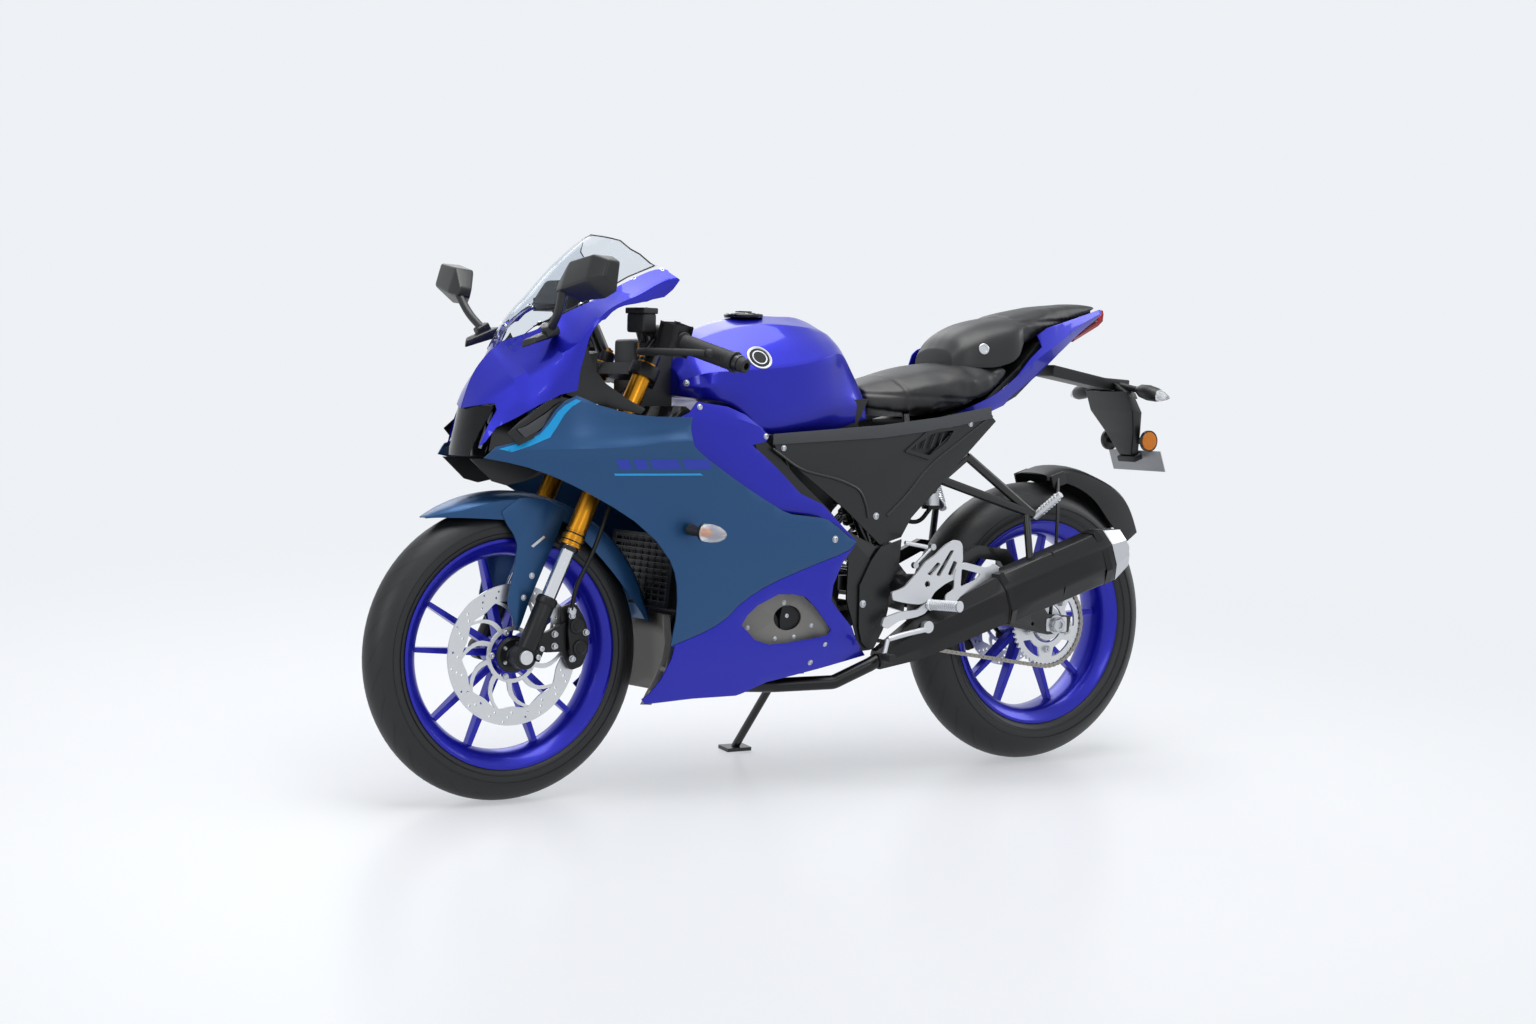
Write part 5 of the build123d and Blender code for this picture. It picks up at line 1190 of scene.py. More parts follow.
def make_tyre(name, centre, radius, width, crown, rim_half, body, node):
    """Tyre ring whose UV map carries the tread's pitches."""
    half = width / 2
    edge = 0.92 * half
    drop = crown - math.sqrt(crown ** 2 - edge ** 2)
    profile = []
    for k in range(17):
        y = -edge + 2 * edge * k / 16
        profile.append((y, radius - crown + math.sqrt(crown ** 2 - y ** 2)))
    belly = (230 + radius - drop) / 2
    lip = (rim_half + 0.6, TYRE_LIP)
    side = []
    for k in range(1, 7):
        t = k / 7
        y = (1 - t) ** 2 * edge + 2 * t * (1 - t) * (half * 1.06) + t ** 2 * lip[0]
        z = (1 - t) ** 2 * (radius - drop) + 2 * t * (1 - t) * belly + t ** 2 * lip[1]
        side.append((y, z))
    section = profile + side + [lip, (rim_half - 6, 229.0), (rim_half - 9, 219.0),
                                (9 - rim_half, 219.0), (6 - rim_half, 229.0), (-lip[0], lip[1])]
    section += [(-y, z) for y, z in reversed(side)]
    mesh = bmesh.new()
    layer = mesh.loops.layers.uv.new("tread")
    turns = 96
    rings = []
    for k in range(turns):
        a = math.tau * k / turns
        rings.append([mesh.verts.new((centre.x + math.cos(a) * z, y, centre.z + math.sin(a) * z))
                      for y, z in section])
    count = len(section)
    across = [y / edge for y, _ in section]
    for k in range(turns):
        one, two = rings[k], rings[(k + 1) % turns]
        for i in range(count):
            j = (i + 1) % count
            face = mesh.faces.new((one[i], one[j], two[j], two[i]))
            lying = i < 16
            for loop, (u, v) in zip(face.loops, ((k, i), (k, j), (k + 1, j), (k + 1, i))):
                loop[layer].uv = (u * TREAD_PITCHES / turns, across[v] if lying else 0.0)
    # Fine raised rings on each side wall.
    for y_side in (-1, 1):
        for share in (0.25, 0.72):
            z = TYRE_LIP + (radius - drop - TYRE_LIP) * share
            y = y_side * (half * (0.985 if share < 0.5 else 0.99))
            ring = [Vector((centre.x + math.cos(a) * z, y, centre.z + math.sin(a) * z))
                    for a in (math.tau * n / 72 for n in range(72))]
            tube(mesh, ring, 1.0, 5, 0, closed=True)
    new_piece(name, mesh, "tyre", body, 50.0, 0.0, (node,))


def wavy(centre, radius, depth, waves, count):
    """A ring outline whose radius waves."""
    return [(centre.x + (radius + depth * math.cos(waves * a)) * math.cos(a),
             centre.z + (radius + depth * math.cos(waves * a)) * math.sin(a))
            for a in (math.tau * k / count for k in range(count))]


def make_disc(name, centre, y, outer, band, carrier, body, node):
    """Drilled disc with a waved inner edge, on curved arms over the hub's lobes."""
    arms = 5
    mesh = bmesh.new()
    inner = outer - band
    loops = [circle(centre.x, centre.z, outer, 96), wavy(centre, inner, 3.4, 2 * arms, 120)]
    groups = 4 * arms
    for g in range(groups):
        base = math.tau * g / groups
        shares = (0.24, 0.5, 0.8) if g % 2 else (0.36, 0.66)
        for row, share in enumerate(shares):
            r = inner + band * share
            a = base + 0.07 * row
            loops.append(circle(centre.x + r * math.cos(a), centre.z + r * math.sin(a), 2.7, 10))
    cut_plate(mesh, loops, 2.0, Matrix.Translation((0, y, 0)), 0)

    def polar(r, a):
        return (centre.x + r * math.cos(a), centre.z + r * math.sin(a))

    # Curved arms from the band to the inner ring.
    for k in range(2 * arms):
        base = math.tau * k / (2 * arms)
        near, far = [], []
        for s in range(7):
            t = s / 6
            r = inner + 3 + (carrier + 22 - inner - 3) * t
            bend = base + 0.42 * t + 0.1 * math.sin(math.pi * t)
            half = 5.0 / r
            near.append(polar(r, bend - half))
            far.append(polar(r, bend + half))
        slab(mesh, near + far[::-1], y - 1.7, y + 1.7, 0)
    ring = [circle(centre.x, centre.z, carrier + extra, 60) for extra in (26, 18)]
    cut_plate(mesh, ring, 1.9, Matrix.Translation((0, y, 0)), 0)
    # Lobed hub carrier below the arms.
    lobes = []
    for k in range(120):
        a = math.tau * k / 120
        lobes.append(polar(carrier + 8 + 12 * max(0.0, math.cos(arms * a)) ** 0.7, a))
    cut_plate(mesh, [lobes, circle(centre.x, centre.z, carrier * 0.6, 40)], 2.6,
              Matrix.Translation((0, y - 1 if y > 0 else y + 1, 0)), 1)
    sign = 1 if y > 0 else -1
    for k in range(arms):
        x, z = polar(carrier + 16, math.tau * k / arms)
        lathe(mesh, Vector((x, y - 3.0 * sign, z)), LEFT * sign,
              [(0, 0.0), (0, 7), (5, 7), (5, 5.4), (8.4, 5.4), (9, 4.6), (9, 2.4), (7, 0.0)],
              14, 2)
    # Black hub flange with its own ring of screws.
    base, tall = ((38.2, 15.0) if node == "front_disc" else (-52.2, 13.0))
    lathe(mesh, (centre.x, base, centre.z), LEFT * sign,
          [(0, 10), (0, 38), (tall - 4, 36), (tall, 30), (tall, 10)], 40, 3, closed=True)
    for k in range(arms):
        x, z = polar(24, math.tau * (k + 0.5) / arms)
        lathe(mesh, Vector((x, base + (tall - 0.3) * sign, z)), LEFT * sign,
              [(0, 0.0), (0, 4.2), (3, 4.0), (3.4, 2.2), (2, 0.0)], 12, 2)
    new_piece(name, mesh, ["steel", "wheel" if node == "front_disc" else "cast", "zinc", "cast"],
              body, 30.0, 0.0, (node,))


def make_sprocket():
    """Toothed ring on a lobed carrier with five nuts."""
    mesh = bmesh.new()
    c = REAR_AXLE
    teeth = 48
    outline = []
    for k in range(teeth):
        for share, r in ((0.0, 90.2), (0.28, 90.2), (0.42, 95.6), (0.58, 95.9), (0.72, 95.6)):
            a = math.tau * (k + share + 0.14) / teeth
            outline.append((c.x + r * math.cos(a), c.z + r * math.sin(a)))
    loops = [outline, circle(c.x, c.z, 44, 48)]
    for k in range(5):
        a = math.tau * k / 5 + 0.35
        span = []
        for t in range(9):
            b = a + (t / 8 - 0.5) * 0.82
            span.append((c.x + 78 * math.cos(b), c.z + 78 * math.sin(b)))
        for t in range(9):
            b = a + (0.5 - t / 8) * 0.5
            span.append((c.x + 58 * math.cos(b), c.z + 58 * math.sin(b)))
        loops.append(rounded(span, 5, 2))
    cut_plate(mesh, loops, 2.8, Matrix.Translation((0, 82, 0)), 0)
    lathe(mesh, (c.x, 52.2, c.z), LEFT,
          [(0, 10), (0, 44), (20, 44), (27, 40), (36, 38), (36, 16), (40, 16), (40, 10)], 48, 1,
          closed=True)
    for k in range(5):
        a = math.tau * k / 5 + 0.35 + math.pi / 5
        at = (c.x + 58 * math.cos(a), 84.6, c.z + 58 * math.sin(a))
        lathe(mesh, at, LEFT, [(0, 0.0), (0, 9), (2, 9), (2, 7.5), (9, 7.5), (10, 6), (10, 4),
                               (13, 4), (13.6, 0.0)], 6, 2)
    new_piece("rear_sprocket_ring", mesh, ["steel", "alloy", "zinc"], "rear_wheel_set",
              25.0, 0.0, ("rear_sprocket",))


def copy_along(name, places, template, material, body, degrees=30.0, stands_for=()):
    """Geometry nodes copy a template onto places: (point, axis, size)."""
    points = bpy.data.meshes.new(name + "_places")
    points.from_pydata([PARKED @ Vector(p) for p, _, _ in places], [], [])
    turn = PARKED.to_3x3().normalized()
    for key in ("facing", "rolling"):
        layer = points.attributes.new(key, "FLOAT_VECTOR", "POINT")
        for item, (_, axis, _) in zip(layer.data, places):
            z, x = axis if isinstance(axis, tuple) else (axis, None)
            z = (turn @ Vector(z)).normalized()
            x = (turn @ Vector(x)).normalized() if x is not None else z.orthogonal().normalized()
            item.vector = z if key == "facing" else x
    size = points.attributes.new("size", "FLOAT", "POINT")
    for item, (_, _, value) in zip(size.data, places):
        item.value = value * MM
    bmesh.ops.recalc_face_normals(template, faces=template.faces)
    shape_holder = hold(name + "_shape", template)
    holder = bpy.data.objects.new(name, points)
    bpy.context.scene.collection.objects.link(holder)
    tree = bpy.data.node_groups.new(name + "_copies", "GeometryNodeTree")
    face = tree.interface
    face.new_socket(name="Geometry", in_out="INPUT", socket_type="NodeSocketGeometry")
    face.new_socket(name="Scale", in_out="INPUT", socket_type="NodeSocketFloat")
    face.new_socket(name="Finish", in_out="INPUT", socket_type="NodeSocketMaterial")
    face.new_socket(name="Shape", in_out="INPUT", socket_type="NodeSocketObject")
    face.new_socket(name="Geometry", in_out="OUTPUT", socket_type="NodeSocketGeometry")
    start = add_node(tree, "NodeGroupInput")
    end = add_node(tree, "NodeGroupOutput")
    info = add_node(tree, "GeometryNodeObjectInfo", {}, {"Object": start.outputs["Shape"]})
    facing = add_node(tree, "GeometryNodeInputNamedAttribute",
                      {"data_type": "FLOAT_VECTOR", "Name": "facing"})
    rolling = add_node(tree, "GeometryNodeInputNamedAttribute",
                       {"data_type": "FLOAT_VECTOR", "Name": "rolling"})
    width = add_node(tree, "GeometryNodeInputNamedAttribute",
                     {"data_type": "FLOAT", "Name": "size"})
    aim = add_node(tree, "FunctionNodeAxesToRotation",
                   {"primary_axis": "Z", "secondary_axis": "X"},
                   {"Primary Axis": facing.outputs["Attribute"],
                    "Secondary Axis": rolling.outputs["Attribute"]})
    grow = add_node(tree, "ShaderNodeMath", {"operation": "MULTIPLY"},
                    {0: width.outputs["Attribute"], 1: start.outputs["Scale"]})
    copies = add_node(tree, "GeometryNodeInstanceOnPoints", {},
                      {"Points": start.outputs["Geometry"], "Instance": info.outputs["Geometry"],
                       "Rotation": aim.outputs["Rotation"], "Scale": grow.outputs[0]})
    real = add_node(tree, "GeometryNodeRealizeInstances", {},
                    {"Geometry": copies.outputs["Instances"]})
    finish = add_node(tree, "GeometryNodeSetMaterial", {},
                      {"Geometry": real.outputs["Geometry"], "Material": start.outputs["Finish"]})
    tree.links.new(finish.outputs["Geometry"], end.inputs["Geometry"])
    modifier = holder.modifiers.new("copies", "NODES")
    modifier.node_group = tree
    modifier[socket_name(tree, "Scale")] = 1.0
    modifier[socket_name(tree, "Finish")] = MATERIALS[material]
    modifier[socket_name(tree, "Shape")] = shape_holder
    data = evaluated_mesh(holder)
    if not data.polygons:
        raise RuntimeError(f"{name}: no copies were made")
    for layer in [a.name for a in data.attributes if a.name in ("facing", "rolling", "size")]:
        data.attributes.remove(data.attributes[layer])
    bpy.data.objects.remove(holder)
    bpy.data.objects.remove(shape_holder)
    piece = bpy.data.objects.new(name, data)
    bpy.context.scene.collection.objects.link(piece)
    shade(piece, degrees)
    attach(piece, body)
    if stands_for:
        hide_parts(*stands_for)
    return piece


def bolt_shape():
    """Button-head screw with a hexagon socket, one unit in radius, axis +Z."""
    mesh = bmesh.new()
    lathe(mesh, (0, 0, -0.15), (0, 0, 1),
          [(0, 0.0), (0, 1.25), (0.22, 1.25), (0.22, 1.0), (0.6, 0.92), (0.8, 0.66), (0.82, 0.5),
           (0.45, 0.44), (0.42, 0.0)], 12)
    return mesh


def link_shape():
    """Two side plates with their rollers, one link pitch long along X, width along Z."""
    mesh = bmesh.new()
    outline = []
    for k in range(7):
        a = math.pi / 2 + math.pi * k / 6
        outline.append((-0.5 + 0.36 * math.cos(a), 0.36 * math.sin(a)))
    outline.append((0.0, -0.27))
    for k in range(7):
        a = -math.pi / 2 + math.pi * k / 6
        outline.append((0.5 + 0.36 * math.cos(a), 0.36 * math.sin(a)))
    outline.append((0.0, 0.27))
    for near, far in ((0.36, 0.46), (-0.46, -0.36)):
        bridge(mesh, [(x, y, near) for x, y in outline], [(x, y, far) for x, y in outline])
    lathe(mesh, (-0.5, 0, -0.56), (0, 0, 1), drum(0.14, 1.12), 8)
    lathe(mesh, (-0.5, 0, -0.3), (0, 0, 1), drum(0.26, 0.6), 8)
    return mesh


CHAIN_PITCH = 12.7
# Scale of every other link, about 0.3 % smaller, which keeps neighbours' plates out of one plane.
INNER_LINK = 0.86 ** 0.02


def chain_points():
    """Link places around both sprockets with their directions."""
    big, small = (REAR_AXLE.x, REAR_AXLE.z, 97.0), (-105.0, 338.0, 29.0)
    dx, dz = small[0] - big[0], small[1] - big[1]
    span = math.hypot(dx, dz)
    slope = math.atan2(dz, dx)
    open_angle = math.acos((big[2] - small[2]) / span)
    path = []
    for k in range(61):
        a = slope + open_angle + (math.tau - 2 * open_angle) * k / 60
        path.append(Vector((big[0] + big[2] * math.cos(a), big[1] + big[2] * math.sin(a))))
    for k in range(25):
        a = slope - open_angle + 2 * open_angle * k / 24
        path.append(Vector((small[0] + small[2] * math.cos(a), small[1] + small[2] * math.sin(a))))
    path.append(path[0])
    lengths = [0.0]
    for a, b in zip(path, path[1:]):
        lengths.append(lengths[-1] + (b - a).length)
    count = 2 * round(lengths[-1] / CHAIN_PITCH / 2)
    pitch = lengths[-1] / count

    def at(distance):
        distance %= lengths[-1]
        for k in range(len(path) - 1):
            if lengths[k + 1] >= distance:
                t = (distance - lengths[k]) / (lengths[k + 1] - lengths[k])
                return path[k].lerp(path[k + 1], t)
        return path[-1]

    places = []
    for k in range(count):
        a, b = at(k * pitch), at((k + 1) * pitch)
        middle = (a + b) / 2
        along = (b - a).normalized()
        places.append(((middle.x, 82, middle.y), (LEFT, Vector((along.x, 0, along.y))),
                       pitch * (1.0 if k % 2 else INNER_LINK)))
    return places


def make_chain():
    copy_along("drive_chain_links", chain_points(), link_shape(), "chain", "chassis", 25.0,
               ("chain",))


def hex_nut(mesh, centre, axis, width, height, material):
    """Hexagon nut with a washer under it."""
    lathe(mesh, centre, axis, drum(width * 0.72, 2), 24, material)
    lathe(mesh, Vector(centre) + Vector(axis).normalized() * 2, axis,
          [(0, 0.0), (0, width * 0.56), (height * 0.85, width * 0.56), (height, width * 0.48),
           (height, width * 0.3), (height * 0.6, width * 0.28), (height * 0.6, 0.0)], 6, material)


def make_axle_ends():
    """Front axle ends and the rear axle's nuts with their adjuster blocks."""
    mesh = bmesh.new()
    for side in (-1, 1):
        lathe(mesh, (FRONT_AXLE.x, 103.5 * side, FRONT_AXLE.z), LEFT * side,
              [(0, 0.0), (0, 14), (6.2, 14), (6.8, 13), (6.8, 6), (2.0, 5.5), (2.0, 0.0)], 32, 0)
    new_piece("front_axle_ends", mesh, ["alloy"], "steering_head", 30.0)
    mesh = bmesh.new()
    for side in (-1, 1):
        hex_nut(mesh, (REAR_AXLE.x, 115.2 * side, REAR_AXLE.z), LEFT * side, 30, 13, 0)
        outline = rounded([(-692, 296), (-634, 300), (-634, 328), (-692, 331)], 5)
        slab(mesh, outline, 114.2 * side, 117.2 * side, 1)
        tube(mesh, [(-692, 106 * side, 314), (-712, 106 * side, 314)], 4, 10, 0)
        lathe(mesh, (-705, 106 * side, 314), (-1, 0, 0), drum(7, 6), 6, 0)
    new_piece("rear_axle_nuts", mesh, ["zinc", "alloy"], "chassis", 30.0)


def fork_at(distance, y=FORK_Y, forward=0.0):
    return FRONT_AXLE + FORK_UP * distance + FORK_AHEAD * forward + LEFT * y


def make_fork_details():
    """Rings, seals and cable guides on the fork legs and the clamp's pinch bolts."""
    mesh = bmesh.new()
    for side in (-1, 1):
        for distance, height, radius, material in ((228, 9, 19.0, 1), (238, 5, 23.4, 0),
                                                   (246, 3, 23.2, 1), (252, 6, 23.4, 0),
                                                   (262, 3, 22.2, 1), (268, 4, 21.2, 0)):
            lathe(mesh, fork_at(distance, FORK_Y * side), FORK_UP,
                  [(0, radius - 4), (0, radius - 0.6), (0.6, radius), (height - 0.6, radius),
                   (height, radius - 0.6), (height, radius - 4)], 36, material, closed=True)
        lathe(mesh, fork_at(112, FORK_Y * side), FORK_UP,
              [(0, 16), (0, 20.5), (2, 21.5), (12, 21.5), (16, 19), (16, 16)], 32, 2, closed=True)
        # Pinch clamp below the foot and its two screws.
        foot = fork_at(20, FORK_Y * side, -24)
        box(mesh, foot, (16, 24, 34), Matrix.Rotation(-RAKE, 3, "Y"), 2)
        for step in (-9, 9):
            at = foot + FORK_UP * step
            lathe(mesh, at + LEFT * 12 * side, LEFT * side,
                  [(0, 0.0), (0, 5.4), (5, 5.4), (5.5, 4.8), (5.5, 2.6), (3, 2.4), (3, 0.0)],
                  14, 3)
    new_piece("fork_rings", mesh, ["gold", "gloss_black", "cast", "zinc"], "steering_head", 30.0)


def make_front_caliper():
    """Two-piston caliper with its bolts, pad pin and hose banjo."""
    mesh = bmesh.new()
    outline = rounded([(562, 388), (530, 396), (508, 362), (500, 312), (512, 268), (540, 260),
                       (556, 290), (564, 340)], 9)
    slab(mesh, outline, 50, 62, 0)
    outline = rounded([(552, 378), (532, 382), (514, 356), (508, 314), (518, 280), (538, 274),
                       (550, 296), (556, 340)], 8)
    slab(mesh, outline, 62, 80, 0)
    for x, z in ((536, 352), (528, 306)):
        lathe(mesh, (x, 78, z), LEFT, [(0, 0.0), (0, 17), (5, 17), (7, 15), (7, 11), (5.5, 10),
                                       (5.5, 0.0)], 28, 0)
    slab(mesh, [(556, 300), (556, 360), (600, 340), (650, 330), (650, 312), (600, 300)], 60, 72, 0)
    for x, z in ((548, 372), (546, 286), (516, 338), (582, 336), (582, 312)):
        lathe(mesh, (x, 79 if x < 560 else 71, z), LEFT,
              [(0, 0.0), (0, 7), (2, 7), (2, 5.6), (7, 5.6), (8, 5), (8, 2.8), (5, 2.6),
               (5, 0.0)], 14, 1)
    # Brake hose up behind the left fork leg.
    tube(mesh, arc_points([(552, 84, 384), (546, 90, 430), (512, 98, 500), (484, 98, 570),
                           (452, 92, 650), (430, 84, 700)], 40), 4.5, 10, 0)
    lathe(mesh, (550, 80, 382), LEFT, drum(9, 8), 6, 1)
    new_piece("front_brake_caliper", mesh, ["cast", "zinc"], "steering_head", 30.0, 1.2,
              ("front_caliper",))


def make_shock_details():
    """Spring coils round the damper and its silver reservoir."""
    mesh = bmesh.new()
    low, high = Vector((-250, 0, 472)), Vector((-158, 0, 634))
    axis = (high - low).normalized()
    u = LEFT
    v = axis.cross(u)
    turns, steps = 7, 16
    points = []
    for k in range(turns * steps + 1):
        a = math.tau * k / steps
        points.append(low + (high - low) * (k / (turns * steps))
                      + (u * math.cos(a) + v * math.sin(a)) * 37)
    tube(mesh, points, 5.0, 8, 0)
    for at in (0.0, 1.0):
        lathe(mesh, low.lerp(high, at) - axis * 3, axis,
              [(0, 20), (0, 44), (6, 44), (6, 20)], 32, 1, closed=True)
    tube(mesh, [(-347, 60, 582), (-347, 60, 622)], 19, 28, 2)
    lathe(mesh, (-347, 60, 622), (0, 0, 1), [(0, 0.0), (0, 21), (8, 21), (10, 17), (10, 0.0)],
          28, 1)
    lathe(mesh, (-347, 60, 574), (0, 0, 1), [(0, 0.0), (0, 19), (8, 21), (8, 0.0)], 28, 1)
    tube(mesh, arc_points([(-347, 60, 576), (-330, 40, 540), (-260, 14, 560), (-200, 20, 590)],
                          30), 5, 10, 1)
    tube(mesh, [(-347, 60, 600), (-335, 106, 640)], 6, 10, 1)
    new_piece("shock_spring_and_reservoir", mesh, ["frame", "cast", "alloy"], "chassis", 35.0)


# ---------------------------------------------------------------- cockpit
BAR_START = Vector((414, 118, 945))
GRIP_START = Vector((384, 205, 920))
BAR_END = Vector((334, 350, 878))


def make_controls():
    """Grips, switch housings, levers, reservoir and bar ends."""
    line = (BAR_END - GRIP_START).normalized()
    mesh = bmesh.new()
    for side in (1, -1):
        def flip(p):
            return Vector((p[0], p[1] * side, p[2]))
        axis = flip(line)
        # Ribbed grip with end flanges.
        profile = [(0, 16.9), (0, 22), (4, 22), (5, 18)]
        for k in range(22):
            profile += [(8 + k * 5.6, 18.0), (10 + k * 5.6, 18.9), (12 + k * 5.6, 18.0)]
        profile += [(136, 18), (137, 21), (141, 21), (141, 16.9)]
        lathe(mesh, flip(GRIP_START + line * 6), axis, profile, 28, 0, closed=True)
        # Bar end weight.
        lathe(mesh, flip(BAR_END - line * 2), axis,
              [(0, 7.2), (0, 14), (3, 15), (3, 15.5), (16, 14), (18, 12), (18, 7.2)], 28, 0,
              closed=True)
        # Switch housing: a rounded block round the bar.
        centre = flip(BAR_START.lerp(GRIP_START, 0.82))
        turn = axis.to_track_quat("Z", "Y").to_matrix()
        rounded_box(mesh, centre, (42, 46, 34), turn, 9)
        for along, across, material, size in ((4, -6, 2, 5.5), (-8, 8, 0, 4.5), (8, 9, 3, 4)):
            at = centre + turn @ Vector((across, 0, along))
            face = turn @ Vector((0, 1, 0))
            if face.z < 0:
                face = -face
            lathe(mesh, at + face * 21, face, [(0, 0.0), (0, size + 1), (4, size), (5, 0.0)], 16,
                  material)
        # Lever: perch at the bar, then a blade that ends in a ball.
        tube(mesh, [flip(p) for p in arc_points(
            [(420, 132, 900), (450, 152, 900), (454, 205, 900), (424, 282, 899), (396, 322, 898)],
            30)], 7.0, 14, 0)
        lathe(mesh, flip((392, 328, 898)), flip((-0.57, 0.82, 0)),
              [(-8, 0.0), (-7, 5), (-3, 8), (2, 8.6), (6, 6.5), (8.5, 0.0)], 18, 0)
        box(mesh, flip((424, 140, 904)), (40, 26, 24), None, 0)
        lathe(mesh, flip((438, 146, 890)), Vector((0, 0, 1)),
              [(0, 0.0), (0, 7), (26, 7), (27, 0.0)], 12, 4)
    # Square fluid reservoir with its screwed cap, on the chain side.
    low = Vector((440, 149, 938))
    turn = Matrix.Rotation(0.35, 3, "Z")
    rounded_box(mesh, low + Vector((0, 0, 18)), (40, 46, 38), turn, 6)
    rounded_box(mesh, low + Vector((0, 0, 42)), (44, 50, 12), turn, 3)
    for across in (-14, 14):
        lathe(mesh, low + turn @ Vector((0, across, 47)), (0, 0, 1),
              [(0, 0.0), (0, 3.6), (2, 3.2), (2.4, 0.0)], 12, 1)
    tube(mesh, arc_points([low + Vector((0, 0, 2)), low + Vector((-4, -2, -18)),
                           Vector((426, 138, 908))], 12), 4.5, 10, 0)
    # Fork caps: gold hexagons over the clamp.
    for side in (-1, 1):
        top = fork_at(662.5, FORK_Y * side)
        lathe(mesh, top, FORK_UP, [(0, 0.0), (0, 17), (3, 17), (4, 15), (4, 11), (9, 11), (9, 5),
                                   (12, 5), (12, 0.0)], 24, 4)
    new_piece("bar_controls", mesh, ["grip", "zinc", "red", "strip", "gold"], "steering_head",
              35.0)


def make_instruments():
    """Instrument pod behind the screen with two dials and plain ticks."""
    mesh = bmesh.new()
    outline = rounded([(-66, 0), (66, 0), (58, 62), (-58, 62)], 14)
    base = Vector((548, 0, 1005))
    up = Vector((-0.5, 0, 0.866))
    out = Vector((-0.866, 0, -0.5))
    bridge(mesh, [base + LEFT * y + up * (z - 30) for y, z in outline],
           [base - out * 18 + LEFT * y * 0.9 + up * (z - 30) * 0.9 for y, z in outline])
    for y, radius in ((-26, 22), (26, 22)):
        lathe(mesh, base + out * 0.2 + LEFT * y, out,
              [(0, 0.0), (0, radius + 3), (3, radius + 3), (3, radius), (1, radius), (1, 0.0)],
              36, 1)
        for k in range(9):
            a = math.radians(-140 + 35 * k)
            way = LEFT * math.sin(a) + up * math.cos(a)
            at = base + out * 1.6 + LEFT * y
            tube(mesh, [at + way * radius * 0.72, at + way * radius * 0.92], 0.7, 5, 2)
        way = LEFT * math.sin(-2.0) + up * math.cos(-2.0)
        at = base + out * 2.0 + LEFT * y
        tube(mesh, [at, at + way * radius * 0.8], 0.8, 5, 3)
    tube(mesh, [(555, 0, 990), (545, 0, 975)], 12, 14, 0)
    new_piece("instrument_pod", mesh, ["black", "gloss_black", "led", "red"], "chassis", 30.0)


def make_cowl_vents():
    """Black vent mouths between nose cowl and side fairing with their grey vanes."""
    mesh = bmesh.new()
    for near, far, outline, material in (
            (141, 144, [(728, 738), (700, 762), (664, 786), (630, 806), (598, 815), (580, 806),
                        (560, 798), (600, 780), (640, 755), (660, 733), (705, 712)], 0),
            (147, 149.5, rounded([(712, 744), (692, 750), (652, 774), (616, 800), (604, 800),
                                  (636, 768), (662, 744), (694, 728)], 3), 1)):
        slab(mesh, outline, near, far, material)
    mirror_side(mesh)
    new_piece("cowl_vents", mesh, ["gloss_black", "strip"], "chassis", 30.0, 0.6)


# ---------------------------------------------------------------- stripes and small trim
def make_stripes():
    """Plain coloured films on the side fairings."""
    tree = surface_tree("side_fairing_panels")
    mesh = bmesh.new()
    edge = [
        (735, 705), (700, 716), (659, 736), (646, 754), (631, 778), (618, 792), (599, 804),
        (588, 801), (606, 789), (619, 774), (632, 750), (645, 729), (680, 712), (712, 700),
    ]
    film(mesh, tree, edge, 5.0, 0)
    # Plain slanted bars over a long thin line.
    for start, long in ((520, 26), (484, 26), (448, 62), (376, 62)):
        film(mesh, tree, [(start, 688), (start - long, 688), (start - long - 12, 668),
                          (start - 12, 668)], 7.0, 1)
    film(mesh, tree, [(520, 660), (330, 660), (322, 656), (518, 656)], 7.0, 0)
    film(mesh, tree, [(310, 690), (258, 682), (254, 679), (306, 684)], 7.0, 0)
    mirror_side(mesh)
    new_piece("fairing_stripes", mesh, ["cyan", "blue_film"], "chassis", 40.0)


def make_tank_trim():
    """Filler cap ring with its screws, the plain disc on each side and the breather slot."""
    tank = surface_tree("fuel_tank_shell")
    mesh = bmesh.new()
    lathe(mesh, (108, 0, 977), (0.02, 0, 1),
          [(0, 0.0), (0, 40), (3, 41.5), (6.5, 41.5), (8, 40), (8, 27), (9.5, 26), (10.5, 24),
           (10.5, 0.0)], 56, 0)
    for k in range(7):
        a = math.tau * k / 7 + 0.3
        lathe(mesh, (108 + 34 * math.cos(a), 34 * math.sin(a), 984.6), (0, 0, 1),
              [(0, 0.0), (0, 3.2), (2, 2.8), (2.2, 1.5), (1, 1.4), (1, 0.0)], 12, 1)
    slab(mesh, rounded([(92, 988), (124, 988), (124, 991), (92, 991)], 1.4), -7, 7, 0)
    # A plain dark disc with a bright raised rim on each side.
    for side in (1, -1):
        hit, normal = touch(tank, 148, 893, side)
        lathe(mesh, hit - normal * 2.0, normal,
              [(0, 0.0), (0, 28), (3.4, 28), (4.2, 27), (4.2, 25), (3.0, 24.4), (3.0, 0.0)], 56, 1)
        lathe(mesh, hit + normal * 1.2, normal,
              [(0, 0.0), (0, 23), (0.8, 22.4), (0.8, 0.0)], 48, 0)
        lathe(mesh, hit + normal * 1.9, normal,
              [(0, 17), (0.6, 16.6), (0.6, 14.6), (0, 14.2)], 48, 1, closed=True)
    new_piece("tank_cap_and_discs", mesh, ["gloss_black", "zinc"], "chassis", 28.0, 0.0,
              ("fuel_cap",))


